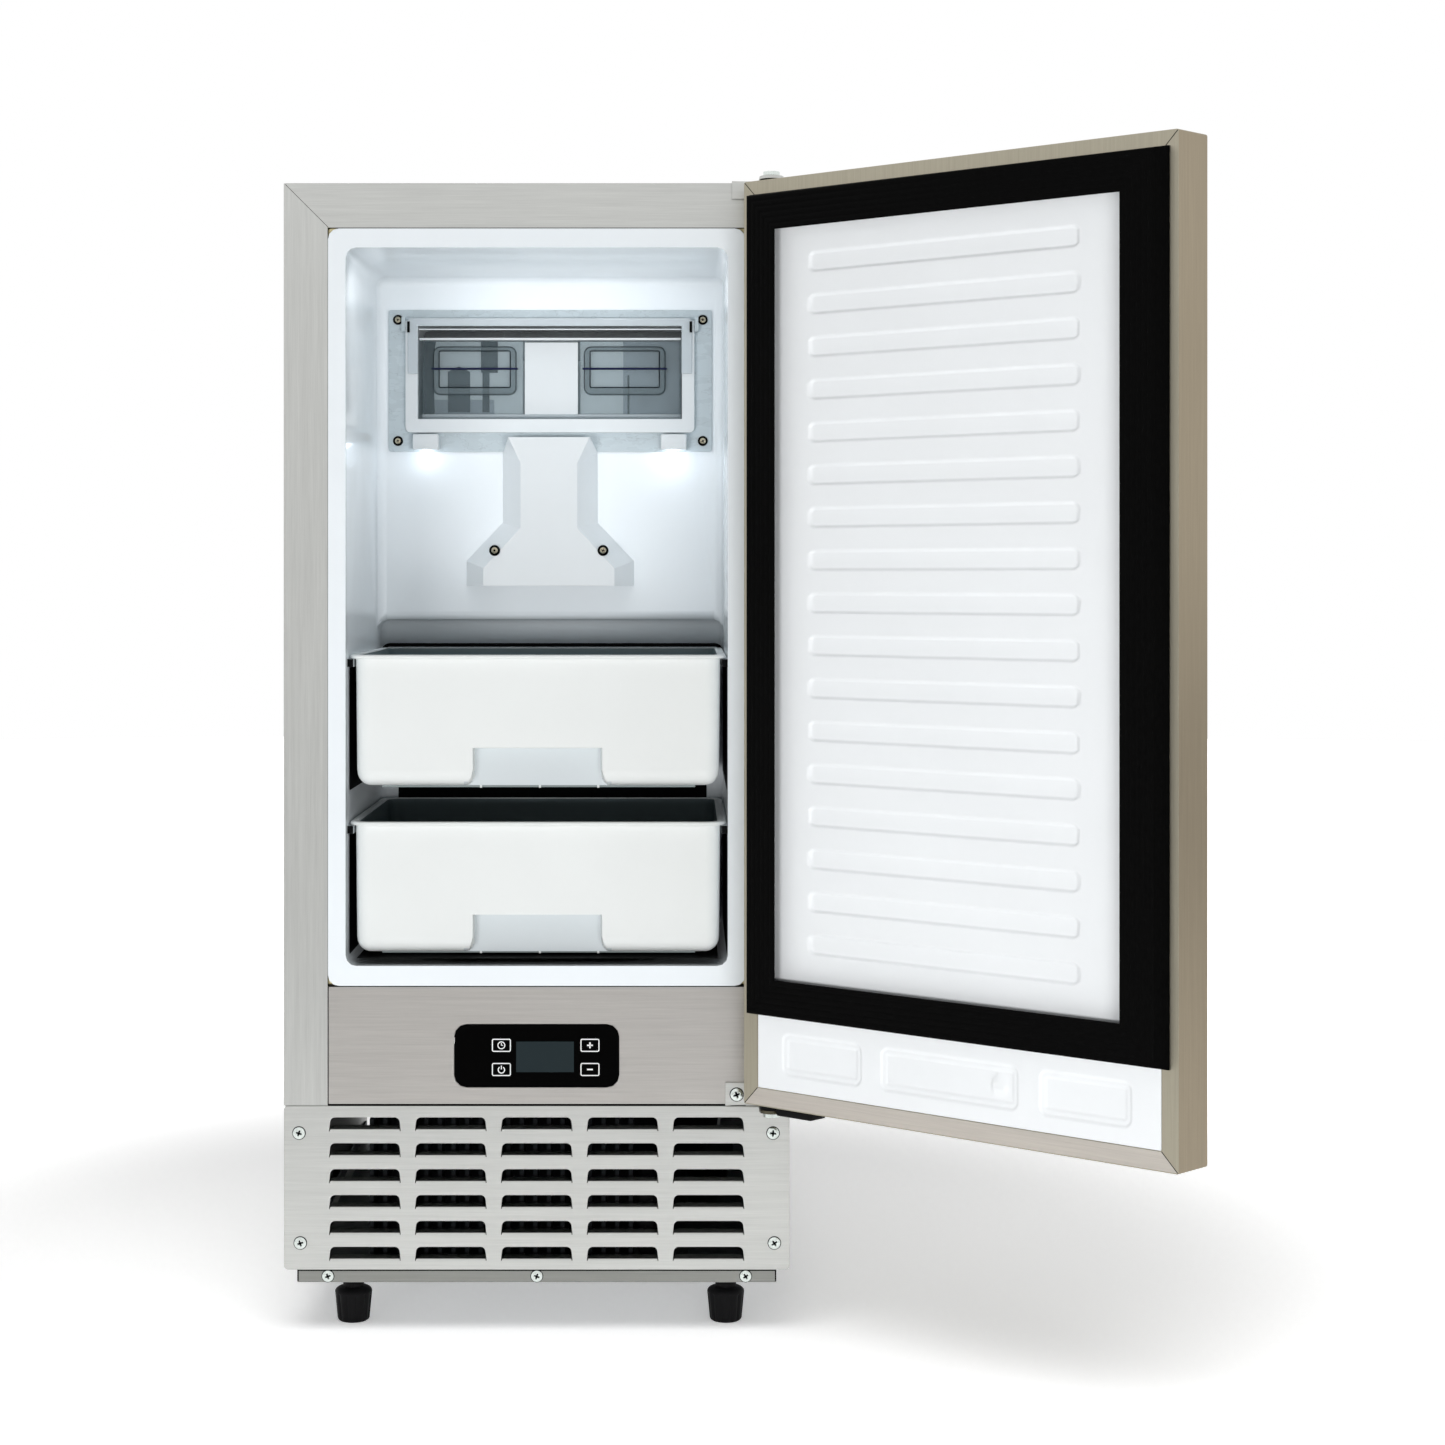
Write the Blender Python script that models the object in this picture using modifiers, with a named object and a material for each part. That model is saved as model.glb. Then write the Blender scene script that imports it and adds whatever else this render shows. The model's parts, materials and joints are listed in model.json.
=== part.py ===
"""Undercounter nugget ice maker with its door open: cabinet, door, two bins, ice module and machine space.

Metres, +Z up, front towards -Y. The origin is the centre of the pressed plateau under the base pan.
Pieces are modelled with the door shut and are turned to the open position by their parent empty.
"""

import math

import bmesh
import bpy
from mathutils import Vector

# Fits and sheet
SHEET = 0.001
FIT = 0.0003
OVERRUN = 0.004
RUNNING = 0.0001

# Cabinet, from the floor up
FOOT_HEIGHT = 0.0391
PLATEAU_DROP = 0.002
RAIL_HEIGHT = 0.0098
GRILLE_HEIGHT = 0.1235
FASCIA_SEAM = 0.0015
FASCIA_HEIGHT = 0.0881
LINER_SEAM = 0.0008
FLANGE_HEIGHT = 0.5708
TOP_RAIL_HEIGHT = 0.0338
CABINET_WIDTH = 0.381
CABINET_DEPTH = 0.565
STILE_WIDTH = 0.033
REAR_FLANGE = 0.02

# Base pan and rail
PAN_SHEET = 0.0015
PAN_SETBACK = 0.003
PAN_FLANGE = 0.02
PLATEAU_MARGIN = 0.075
PLATEAU_SLOPE = 0.003
RAIL_INSET = 0.010

# Grille with its lanced louvers
GRILLE_RETURN = 0.008
GRILLE_CORNER = 0.003
LOUVER_COLUMNS = 5
LOUVER_ROWS = 6
LOUVER_PITCH_X = 0.0647
LOUVER_PITCH_Z = 0.0195
LOUVER_WIDTH = 0.054
LOUVER_TOP_WIDTH = 0.0455
LOUVER_HEIGHT = 0.0106
LOUVER_CORNER = 0.004
LOUVER_FIRST_Z = 0.0068
LOUVER_RISE = 0.0012
LOUVER_SLIT = 0.0006
LOUVER_STEPS = 2

# Inner liner
FLANGE_SIDE = 0.0135
SILL_HEIGHT = 0.015
HEAD_HEIGHT = 0.0146
CAVITY_DEPTH = 0.262
BULGE_DEPTH = 0.222
BULGE_HEIGHT = 0.2572
LINER_WALL = 0.002
LINER_RADIUS = 0.008
LEDGE_HEIGHT = 0.006
LEDGE_START = 0.012

# Insulation and the walls behind it
REAR_FOAM = 0.034
FLOOR_FOAM = 0.028
FOAM_NOTCH = 0.0125
FOAM_NOTCH_HEIGHT = 0.0165
DECK_FLANGE = 0.012

# Control fascia and display
FASCIA_RETURN = 0.010
FASCIA_SIDE_SEAM = 0.0007
LENS_WIDTH = 0.1236
LENS_HEIGHT = 0.047
LENS_RADIUS = 0.009
LENS_THICKNESS = 0.0022
LENS_PROUD = 0.0006
LENS_DROP = 0.0078
BOARD_WIDTH = 0.112
BOARD_HEIGHT = 0.038
BOARD_THICKNESS = 0.0016

# Ice bins
BIN_SIDE_GAP = 0.0055
BIN_REAR_GAP = 0.013
BIN_HEIGHT = 0.0994
BIN_PITCH = 0.1263
BIN_FLOOR_GAP = 0.0084
BIN_SETBACK = 0.010
BIN_WALL = 0.0022
BIN_TAPER = 0.001
BIN_CORNER = 0.012
BIN_BOTTOM_RADIUS = 0.011
RIM_OVERHANG = 0.00425
RIM_THICKNESS = 0.003
RECESS_WIDTH = 0.0965
RECESS_HEIGHT = 0.0287
RECESS_FLARE = 0.00575
RECESS_DEPTH = 0.012
SLED_MARGIN = 0.0195
SLED_HEIGHT = 0.0026
SLED_INSET = 0.02

# Ice module front, seen inside the cabinet
CHUTE_MARGIN = 0.010
CHUTE_HEIGHT = 0.1175
CHUTE_TOP_GAP = 0.0267
CHUTE_PLATE = 0.002
CHUTE_BORDER = 0.022
CHUTE_OPENING_HEIGHT = 0.087
CHUTE_OPENING_RISE = 0.0193
CHUTE_RADIUS = 0.004
DUCT_WALL = 0.002
FLAP_OVERLAP = 0.0075
FLAP_BAR = 0.0103
FLAP_SILL = 0.0112
FLAP_HEIGHT = 0.0925
FLAP_THICKNESS = 0.006
FLAP_RISE = 0.0156
FLAP_CORNER = 0.004
FLAP_PIN_RADIUS = 0.002
FLAP_PIN_LENGTH = 0.0035
EAR_THICKNESS = 0.003
EAR_HEIGHT = 0.012
WINDOW_HEIGHT = 0.067
WINDOW_DEPTH = 0.026
WINDOW_WALL = 0.0016
PANEL_WIDTH = 0.0445
PANEL_THICKNESS = 0.0015
CAP_INSET = 0.00225
CAP_HEIGHT = 0.046
CAP_BAR = 0.0066
CAP_LEG = 0.0083
CAP_THICKNESS = 0.0025
CAP_TOP_RISE = 0.0945
CAP_CORNER = 0.003
LAMP_WIDTH = 0.0213
LAMP_HEIGHT = 0.0129
LAMP_DEPTH = 0.012
LAMP_INSET = 0.0316
LAMP_RISE = 0.0011
LAMP_RADIUS = 0.0012

# Bell-shaped sensor cover
BELL_DEPTH = 0.026
BELL_HEIGHT = 0.1222
BELL_TOP_OVERLAP = 0.011
BELL_NECK_WIDTH = 0.0786
BELL_FOOT_WIDTH = 0.139
BELL_PEAK_WIDTH = 0.067
BELL_PEAK_HEIGHT = 0.012
BELL_FLARE_TOP = 0.0524
BELL_FLARE_FOOT = 0.0205
BELL_FACE_NECK_WIDTH = 0.0466
BELL_FACE_FOOT_WIDTH = 0.1077
BELL_FACE_DROP = 0.0214
BELL_FACE_FLARE_TOP = 0.0474
BELL_FACE_FLARE_FOOT = 0.0145
BELL_WALL = 0.002

# Ice module behind the liner
BARREL_RADIUS = 0.028
BARREL_BORE = 0.022
BARREL_HEIGHT = 0.140
BARREL_SETBACK = 0.064
COIL_RADIUS = 0.004
COIL_TURNS = 6
COIL_MARGIN = 0.009
AUGER_CORE = 0.012
AUGER_CLEARANCE = 0.0006
AUGER_PITCH = 0.032
AUGER_FLIGHT_SHARE = 0.22
HEAD_WIDTH = 0.080
HEAD_BLOCK_HEIGHT = 0.052
HEAD_WALL = 0.004
HEAD_RISE = 0.010
HEAD_SEAT = 0.008
HEAD_SPOUT = 0.034
GEARBOX_WIDTH = 0.096
GEARBOX_HEIGHT = 0.046
GEARBOX_RADIUS = 0.006
MOTOR_RADIUS = 0.037
MOTOR_HEIGHT = 0.088
MOTOR_DOME = 0.006
BRACKET_SHEET = 0.0025
BRACKET_WIDTH = 0.120
BRACKET_LEG = 0.060
BRACKET_REACH = 0.116
SPIGOT_RADIUS = 0.011
TANK_WIDTH = 0.086
TANK_DEPTH = 0.086
TANK_HEIGHT = 0.120
TANK_INSET = 0.0282
TANK_RADIUS = 0.006
TANK_LIFT = 0.300
BOX_DEPTH = 0.052
BOX_HEIGHT = 0.160
BOX_INSET = 0.0252
BOX_LIFT = 0.120
BOX_FLANGE = 0.010

# Machine space
CONDENSER_WIDTH = 0.200
CONDENSER_HEIGHT = 0.118
CONDENSER_DEPTH = 0.038
CONDENSER_GAP = 0.012
CONDENSER_OFFSET = -0.028
CONDENSER_SPINE = 0.006
FIN_COUNT = 20
FIN_THICKNESS = 0.003
SHROUD_DEPTH = 0.014
FAN_RADIUS = 0.050
FAN_TIP_GAP = 0.003
FAN_HUB = 0.017
FAN_DEPTH = 0.012
FAN_BLADES = 5
FAN_BLADE_THICKNESS = 0.0016
FAN_PITCH_SHARE = 0.36
FAN_MOTOR_RADIUS = 0.021
FAN_MOTOR_LENGTH = 0.034
FAN_STRAP = 0.018
FAN_CLEARANCE = 0.003
COMPRESSOR_LENGTH = 0.180
COMPRESSOR_WIDTH = 0.130
COMPRESSOR_HEIGHT = 0.150
COMPRESSOR_SEAM = 0.003
COMPRESSOR_SEAM_HEIGHT = 0.006
COMPRESSOR_BASE_LENGTH = 0.200
COMPRESSOR_BASE_WIDTH = 0.125
COMPRESSOR_BASE_SHEET = 0.003
COMPRESSOR_FOOT_RADIUS = 0.010
COMPRESSOR_FOOT_HEIGHT = 0.012
COMPRESSOR_FOOT_INSET = 0.016
COMPRESSOR_X = 0.055
COMPRESSOR_REAR_GAP = 0.150
COMPRESSOR_BELLY_DEGREES = 285
COMPRESSOR_DOME_DEGREES = 80
COMPRESSOR_DOME_POWER = 0.7
DRIER_RADIUS = 0.010
DRIER_LENGTH = 0.090
DRIER_NECK = 0.004

# Rear service panel and its fittings
SERVICE_HEIGHT = 0.205
VENT_COLUMNS = 2
VENT_ROWS = 5
VENT_WIDTH = 0.110
VENT_HEIGHT = 0.006
VENT_PITCH = 0.020
VENT_GAP = 0.020
VENT_RISE = 0.072
FITTING_RISE = 0.034
VALVE_INSET = 0.0705
VALVE_THREAD_RADIUS = 0.012
VALVE_THREAD_LENGTH = 0.016
VALVE_BODY_RADIUS = 0.017
VALVE_BODY_LENGTH = 0.045
DRAIN_OFFSET = -0.020
DRAIN_RADIUS = 0.009
DRAIN_BORE = 0.007
DRAIN_LENGTH = 0.022
DRAIN_FLANGE = 0.014
GLAND_INSET = 0.0605
GLAND_RADIUS = 0.009
GLAND_FLANGE = 0.0125
GLAND_LENGTH = 0.012
FITTING_FLANGE_THICKNESS = 0.003

# Door
DOOR_SIDE_SHORT = 0.001
DOOR_HEIGHT = 0.6841
DOOR_TOP_GAP = 0.0035
DOOR_GAP = 0.0123
DOOR_THICKNESS = 0.0345
DOOR_SHEET = 0.0008
DOOR_CORNER = 0.0015
DOOR_RETURN = 0.0135
DOOR_LINER = 0.002
DOOR_LINER_RADIUS = 0.004
DOOR_OPEN_DEGREES = 137.4
PIVOT_INSET = 0.0135
PIVOT_REACH = 0.028
GASKET_PROUD = 0.012
GASKET_LIP = 0.0071
GASKET_LIP_END = 0.0103
GASKET_SHOULDER = 0.0126
GASKET_INNER = 0.0388
GASKET_FOOT = 0.0276
GASKET_BOTTOM_RISE = 0.0574
GASKET_RADIUS = 0.006
EMBOSS_DEPTH = 0.0011
SLOT_MARGIN = 0.070
SLOT_OFFSET = 0.0083
SLOT_HEIGHT = 0.0135
SLOT_PITCH = 0.03105
SLOT_FIRST_Z = 0.1236
SLOT_TOP_MARGIN = 0.060
KICK_RISE = 0.0407
KICK_HEIGHT = 0.030
KICK_RADIUS = 0.006
KICK_MARGIN = 0.0376
KICK_GAP = 0.0188
KICK_MIDDLE_WIDTH = 0.119
STOP_START = 0.024
STOP_LENGTH = 0.034
STOP_HEIGHT = 0.0070
STOP_DEPTH = 0.018
STOP_SETBACK = 0.008
STOP_RADIUS = 0.0015

# Hinges
HINGE_SHEET = 0.0025
HINGE_TOP_WIDTH = 0.038
HINGE_BOTTOM_WIDTH = 0.043
HINGE_TOP_LEG = 0.0136
HINGE_BOTTOM_LEG = 0.0175
HINGE_STRAP_RADIUS = 0.009
HINGE_TOP_LIFT = 0.0022
HINGE_BOTTOM_DROP = 0.0045
PIN_RADIUS = 0.004
PIN_HEAD_RADIUS = 0.0062
PIN_HEAD = 0.003
PIN_GRIP = 0.011
BUSH_WALL = 0.0022
BUSH_FLANGE = 0.0088
BUSH_DEPTH = 0.014
PIN_FACETS = 16

# Levelling feet
FOOT_INSET_X = 0.0475
FOOT_INSET_Y = 0.045
FOOT_NECK_RADIUS = 0.008
FOOT_NECK_HEIGHT = 0.0125
FOOT_SHOULDER_RADIUS = 0.01425
FOOT_SHOULDER_DROP = 0.004
FOOT_BOTTOM_RADIUS = 0.01175
FOOT_CHAMFER = 0.0025
FOOT_FLUTE = 0.0005
FOOT_FLUTES = 12
STUD_RADIUS = 0.005
STUD_LENGTH = 0.030
STUD_CLEARANCE = 0.0006

# Facets
CORNER_STEPS = 3
SMALL_STEPS = 2
DOME_STEPS = 5
ROUND_STEPS = 24
SMOOTH_ANGLE = math.radians(35)

# Places worked out from the sizes above
HALF_WIDTH = CABINET_WIDTH / 2
FRONT = -CABINET_DEPTH / 2
BACK = CABINET_DEPTH / 2
PAN_Z = PLATEAU_DROP
FLOOR_Z = PAN_Z - FOOT_HEIGHT
GRILLE_Z = PAN_Z + RAIL_HEIGHT
GRILLE_TOP = GRILLE_Z + GRILLE_HEIGHT
FASCIA_Z = GRILLE_TOP + FASCIA_SEAM
FASCIA_TOP = FASCIA_Z + FASCIA_HEIGHT
FLANGE_Z = FASCIA_TOP + LINER_SEAM
FLANGE_TOP = FLANGE_Z + FLANGE_HEIGHT
CABINET_TOP = FLANGE_TOP + TOP_RAIL_HEIGHT
STILE_EDGE = HALF_WIDTH - STILE_WIDTH
OPENING_WIDTH = 2 * (STILE_EDGE - FLANGE_SIDE)
CAVITY_Z = FLANGE_Z + SILL_HEIGHT
CAVITY_TOP = FLANGE_TOP - HEAD_HEIGHT
BULGE_Y = FRONT + BULGE_DEPTH
BULGE_Z = CAVITY_Z + BULGE_HEIGHT
FOAM_BACK = FRONT + CAVITY_DEPTH + LINER_WALL + REAR_FOAM
FOAM_FLOOR = CAVITY_Z - LINER_WALL - FLOOR_FOAM
BULKHEAD_Y = FOAM_BACK + FIT
MODULE_Y = BULKHEAD_Y + SHEET + FIT
DECK_Z = FOAM_FLOOR - FIT - SHEET
INNER_WIDTH = HALF_WIDTH - SHEET - FIT
CHUTE_WIDTH = OPENING_WIDTH - 2 * CHUTE_MARGIN
CHUTE_OPENING_WIDTH = CHUTE_WIDTH - 2 * CHUTE_BORDER
FLAP_WIDTH = CHUTE_OPENING_WIDTH + 2 * FLAP_OVERLAP
CAP_WIDTH = FLAP_WIDTH - 2 * CAP_INSET
LAMP_OFFSET = CHUTE_WIDTH / 2 - LAMP_INSET
CHUTE_TOP = CAVITY_TOP - CHUTE_TOP_GAP
CHUTE_Z = CHUTE_TOP - CHUTE_HEIGHT
CHUTE_Y = BULGE_Y - FIT
CHUTE_FACE = CHUTE_Y - CHUTE_PLATE
OPENING_Z = CHUTE_Z + CHUTE_OPENING_RISE
FLAP_Z = CHUTE_Z + FLAP_RISE
FLAP_Y = CHUTE_FACE - FIT - FLAP_THICKNESS / 2
FLAP_PIVOT_Z = FLAP_Z + FLAP_HEIGHT - FLAP_THICKNESS / 2
DOOR_WIDTH = CABINET_WIDTH - 2 * DOOR_SIDE_SHORT
DOOR_TOP = CABINET_TOP - DOOR_TOP_GAP
DOOR_Z = DOOR_TOP - DOOR_HEIGHT
SLOT_COUNT = int((DOOR_HEIGHT - SLOT_FIRST_Z - SLOT_TOP_MARGIN) / SLOT_PITCH) + 1
DOOR_INNER_Y = FRONT - DOOR_GAP
DOOR_OUTER_Y = DOOR_INNER_Y - DOOR_THICKNESS
DOOR_HALF = DOOR_WIDTH / 2
PIVOT_X = DOOR_HALF - PIVOT_INSET
PIVOT_Y = FRONT - PIVOT_REACH
MACHINE_FLOOR = PAN_Z + PAN_SHEET
BIN_WIDTH = OPENING_WIDTH - 2 * BIN_SIDE_GAP
BIN_DEPTH = CAVITY_DEPTH - BIN_SETBACK - BIN_REAR_GAP
SLED_WIDTH = BIN_WIDTH - 2 * SLED_MARGIN
TANK_OFFSET = INNER_WIDTH - TANK_WIDTH / 2 - TANK_INSET
BOX_LEFT, BOX_RIGHT = BRACKET_WIDTH / 2, INNER_WIDTH - BOX_INSET
VALVE_OFFSET = HALF_WIDTH - VALVE_INSET
GLAND_OFFSET = GLAND_INSET - HALF_WIDTH
BIN_Z = CAVITY_Z + BIN_FLOOR_GAP
BIN_FRONT = FRONT + BIN_SETBACK


def clear_scene():
    for obj in list(bpy.data.objects):
        bpy.data.objects.remove(obj, do_unlink=True)


def new_collection(name):
    collection = bpy.data.collections.new(name)
    bpy.context.scene.collection.children.link(collection)
    return collection


def finish(name, colour, roughness, metallic=0.0, alpha=1.0):
    """A material with one Principled BSDF."""
    material = bpy.data.materials.new(name)
    material.use_nodes = True
    shader = material.node_tree.nodes["Principled BSDF"]
    shader.inputs["Base Color"].default_value = (*colour, 1.0)
    shader.inputs["Roughness"].default_value = roughness
    shader.inputs["Metallic"].default_value = metallic
    shader.inputs["Alpha"].default_value = alpha
    material.diffuse_color = (*colour, alpha)
    return material


clear_scene()
PARTS = new_collection("nugget_ice_maker")
CUTTERS = new_collection("cutters")
STAINLESS = finish("brushed_stainless", (0.52, 0.52, 0.50), 0.35, 1.0)
GALVANISED = finish("galvanised_steel", (0.42, 0.43, 0.44), 0.45, 1.0)
WHITE = finish("white_moulding", (0.80, 0.83, 0.84), 0.25)
BIN_WHITE = finish("bin_white", (0.79, 0.82, 0.81), 0.35)
SMOKE = finish("smoke_clear", (0.25, 0.31, 0.34), 0.08, 0.0, 0.45)
LILAC = finish("translucent_cap", (0.50, 0.55, 0.60), 0.25, 0.0, 0.7)
BLACK = finish("black_plastic", (0.012, 0.012, 0.012), 0.45)
GLOSS_BLACK = finish("display_black", (0.006, 0.006, 0.006), 0.06)
RUBBER = finish("gasket_rubber", (0.010, 0.010, 0.010), 0.6)
FOAM = finish("insulation_foam", (0.78, 0.70, 0.45), 0.9)
BOARD = finish("circuit_board", (0.03, 0.16, 0.07), 0.5)
COPPER = finish("copper_tube", (0.72, 0.37, 0.22), 0.3, 1.0)
ALUMINIUM = finish("aluminium", (0.60, 0.61, 0.62), 0.4, 1.0)
BRASS = finish("brass", (0.70, 0.55, 0.28), 0.3, 1.0)
ZINC = finish("zinc_plated", (0.60, 0.62, 0.63), 0.3, 1.0)
MACHINE_BLACK = finish("black_paint", (0.02, 0.02, 0.022), 0.4)


def add_object(name, mesh, material, cutter=False):
    obj = bpy.data.objects.new(name, mesh)
    (CUTTERS if cutter else PARTS).objects.link(obj)
    if cutter:
        obj.hide_render = True
        obj.display_type = "WIRE"
    else:
        mesh.materials.append(material)
    return obj


def from_bmesh(name, bm, material=None, smooth=False):
    """An object from bm, or a cutter where no material is given."""
    mesh = bpy.data.meshes.new(name)
    bm.to_mesh(mesh)
    bm.free()
    if smooth:
        mesh.shade_smooth()
        mesh.set_sharp_from_angle(angle=SMOOTH_ANGLE)
    return add_object(name, mesh, material, cutter=material is None)


def box_bmesh(low, high):
    bm = bmesh.new()
    bmesh.ops.create_cube(bm, size=1.0)
    low, high = Vector(low), Vector(high)
    bmesh.ops.scale(bm, vec=high - low, verts=bm.verts)
    bmesh.ops.translate(bm, vec=(low + high) / 2, verts=bm.verts)
    return bm


def round_edges(bm, edges, radius, segments=CORNER_STEPS):
    bmesh.ops.bevel(bm, geom=edges, offset=radius, segments=segments, profile=0.5, affect="EDGES")


def along(edge, axis):
    """True where the edge runs along one axis, 0 to 2."""
    run = edge.verts[1].co - edge.verts[0].co
    return abs(run.normalized()[axis]) > math.cos(SMOOTH_ANGLE)


def box(name, low, high, material=None, radius=0.0):
    bm = box_bmesh(low, high)
    if radius:
        round_edges(bm, bm.edges[:], radius, SMALL_STEPS)
    return from_bmesh(name, bm, material)


def arc(centre, radius, start, end, steps=CORNER_STEPS):
    """Points round a corner, from one angle to another in degrees."""
    angles = [math.radians(start + (end - start) * i / steps) for i in range(steps + 1)]
    return [(centre[0] + radius * math.cos(a), centre[1] + radius * math.sin(a)) for a in angles]


def rounded(width, height, radius, centre=(0, 0), steps=CORNER_STEPS):
    """A rectangle's outline with round corners, anticlockwise."""
    x, y = width / 2 - radius, height / 2 - radius
    corners = [(x, y, 0), (-x, y, 90), (-x, -y, 180), (x, -y, 270)]
    points = []
    for corner_x, corner_y, start in corners:
        middle = (centre[0] + corner_x, centre[1] + corner_y)
        points += arc(middle, radius, start, start + 90, steps)
    return points


def circle(radius, centre=(0, 0), steps=ROUND_STEPS):
    return [
        (
            centre[0] + radius * math.cos(math.tau * i / steps),
            centre[1] + radius * math.sin(math.tau * i / steps),
        )
        for i in range(steps)
    ]


def rectangle(low, high):
    return [(low[0], low[1]), (high[0], low[1]), (high[0], high[1]), (low[0], high[1])]


TURNS = {"Z": (0, 0, 0), "Y": (math.pi / 2, 0, 0), "X": (math.pi / 2, 0, math.pi / 2)}


def outline(name, loops, low, high, facing, material=None):
    """A flat outline, with any holes, as a slab from low to high along the facing axis."""
    curve = bpy.data.curves.new(name, "CURVE")
    curve.dimensions = "2D"
    curve.fill_mode = "BOTH"
    curve.extrude = (high - low) / 2
    add_loops(curve, loops)
    middle = (low + high) / 2
    obj = bpy.data.objects.new(name, curve)
    PARTS.objects.link(obj)
    obj.rotation_euler = TURNS[facing]
    obj.location = {"Z": (0, 0, middle), "Y": (0, middle, 0), "X": (middle, 0, 0)}[facing]
    return as_mesh(obj, material)


def filled(loops, y):
    """A flat face with holes, seen from the front, as an open bmesh."""
    curve = bpy.data.curves.new("sheet", "CURVE")
    curve.dimensions = "2D"
    curve.fill_mode = "BOTH"
    add_loops(curve, loops)
    guide = bpy.data.objects.new("sheet", curve)
    PARTS.objects.link(guide)
    guide.rotation_euler = TURNS["Y"]
    guide.location = (0, y, 0)
    bpy.context.view_layer.update()
    mesh = bpy.data.meshes.new_from_object(guide.evaluated_get(bpy.context.evaluated_depsgraph_get()))
    bm = bmesh.new()
    bm.from_mesh(mesh)
    bm.transform(guide.matrix_world)
    bpy.data.objects.remove(guide, do_unlink=True)
    bmesh.ops.remove_doubles(bm, verts=bm.verts, dist=RUNNING / 10)
    return bm


def add_loops(curve, loops):
    for loop in loops:
        spline = curve.splines.new("POLY")
        spline.points.add(len(loop) - 1)
        for point, (x, y) in zip(spline.points, loop):
            point.co = (x, y, 0, 1)
        spline.use_cyclic_u = True


def as_mesh(curve_object, material=None):
    """The curve's evaluated mesh, with welded caps, in place of the curve."""
    bpy.context.view_layer.update()
    name, matrix = curve_object.name, curve_object.matrix_world.copy()
    evaluated = curve_object.evaluated_get(bpy.context.evaluated_depsgraph_get())
    mesh = bpy.data.meshes.new_from_object(evaluated)
    bm = bmesh.new()
    bm.from_mesh(mesh)
    bmesh.ops.remove_doubles(bm, verts=bm.verts, dist=RUNNING / 10)
    bmesh.ops.recalc_face_normals(bm, faces=bm.faces)
    bm.transform(matrix)
    bpy.data.objects.remove(curve_object, do_unlink=True)
    return from_bmesh(name, bm, material)


def loft(name, rings, material=None, cyclic=False, caps=True, smooth=True, facets=False):
    """A skin through rings of equally many points, closed by end caps or back onto the first ring.

    Where facets is true, its sides are triangles, for sides that would be twisted.
    """
    bm = bmesh.new()
    rows = [[bm.verts.new(point) for point in ring] for ring in rings]
    pairs = list(zip(rows, rows[1:]))
    if cyclic:
        pairs.append((rows[-1], rows[0]))
    for lower, upper in pairs:
        for i, vertex in enumerate(lower):
            j = (i + 1) % len(lower)
            bm.faces.new((vertex, lower[j], upper[j], upper[i]))
    if facets:
        bmesh.ops.triangulate(bm, faces=bm.faces[:])
    if caps and not cyclic:
        bm.faces.new(rows[0])
        bm.faces.new(rows[-1])
    bmesh.ops.recalc_face_normals(bm, faces=bm.faces)
    return from_bmesh(name, bm, material, smooth)


def turned(name, profile, centre, material=None, facing="Z", closed=False, steps=ROUND_STEPS):
    """A profile of (radius, height) points, down its outer side, turned with a Screw modifier."""
    points = [(radius, 0, height) for radius, height in profile]
    edges = [(i, i + 1) for i in range(len(points) - 1)]
    if closed:
        edges.append((len(points) - 1, 0))
    mesh = bpy.data.meshes.new(name)
    mesh.from_pydata(points, edges, [])
    obj = add_object(name, mesh, material, cutter=material is None)
    screw = obj.modifiers.new("turn", "SCREW")
    screw.axis = "Z"
    screw.angle = math.tau
    screw.steps = screw.render_steps = steps
    screw.use_merge_vertices = True
    screw.merge_threshold = RUNNING / 10
    screw.use_smooth_shade = True
    obj.rotation_euler = TURNS[facing]
    obj.location = centre
    return obj


def drill(name, radius, reach, centre, facing="Z"):
    """A cutter for a round hole, reaching both ways from its centre."""
    profile = [(0, reach), (radius, reach), (radius, -reach), (0, -reach)]
    return turned(name, profile, centre, facing=facing)


def folded(name, bm, thickness, outward, material):
    """A sheet-metal blank given its thickness behind the face that looks outward."""
    bmesh.ops.recalc_face_normals(bm, faces=bm.faces)
    bm.faces.ensure_lookup_table()
    if bm.faces[0].normal.dot(Vector(outward)) < 0:
        bmesh.ops.reverse_faces(bm, faces=bm.faces)
    obj = from_bmesh(name, bm, material)
    thicken(obj, thickness)
    return obj


def thicken(obj, thickness):
    """Gives an open surface its wall behind the visible side, even through folds and corners."""
    wall = obj.modifiers.new("wall", "SOLIDIFY")
    wall.solidify_mode = "NON_MANIFOLD"
    wall.nonmanifold_thickness_mode = "CONSTRAINTS"
    wall.nonmanifold_boundary_mode = "NONE"
    wall.thickness = thickness
    wall.offset = -1.0


def blank(points):
    """A sheet blank: one flat face and its corner vertices in order."""
    bm = bmesh.new()
    corners = [bm.verts.new(point) for point in points]
    bm.faces.new(corners)
    return bm, corners


def fold(bm, start, end, *border):
    """A flange along the edge from start to end, whose other corners follow from end back to start."""
    corners = [bm.verts.new(point) for point in border]
    bm.faces.new([start, end, *corners])
    return corners


def combine(obj, tool, operation):
    step = obj.modifiers.new(f"{operation.lower()}_{tool.name}", "BOOLEAN")
    step.operation = operation
    step.object = tool
    step.solver = "EXACT"


def cut(obj, *tools):
    for tool in tools:
        combine(obj, tool, "DIFFERENCE")
    return obj


def join(obj, *tools):
    for tool in tools:
        combine(obj, tool, "UNION")
    return obj


def pivot(name, location, degrees=0.0):
    """An empty on a joint's axis, turned about Z to the pose at rest."""
    empty = bpy.data.objects.new(name, None)
    PARTS.objects.link(empty)
    empty.location = location
    empty.rotation_euler = (0, 0, math.radians(degrees))
    return empty


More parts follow.
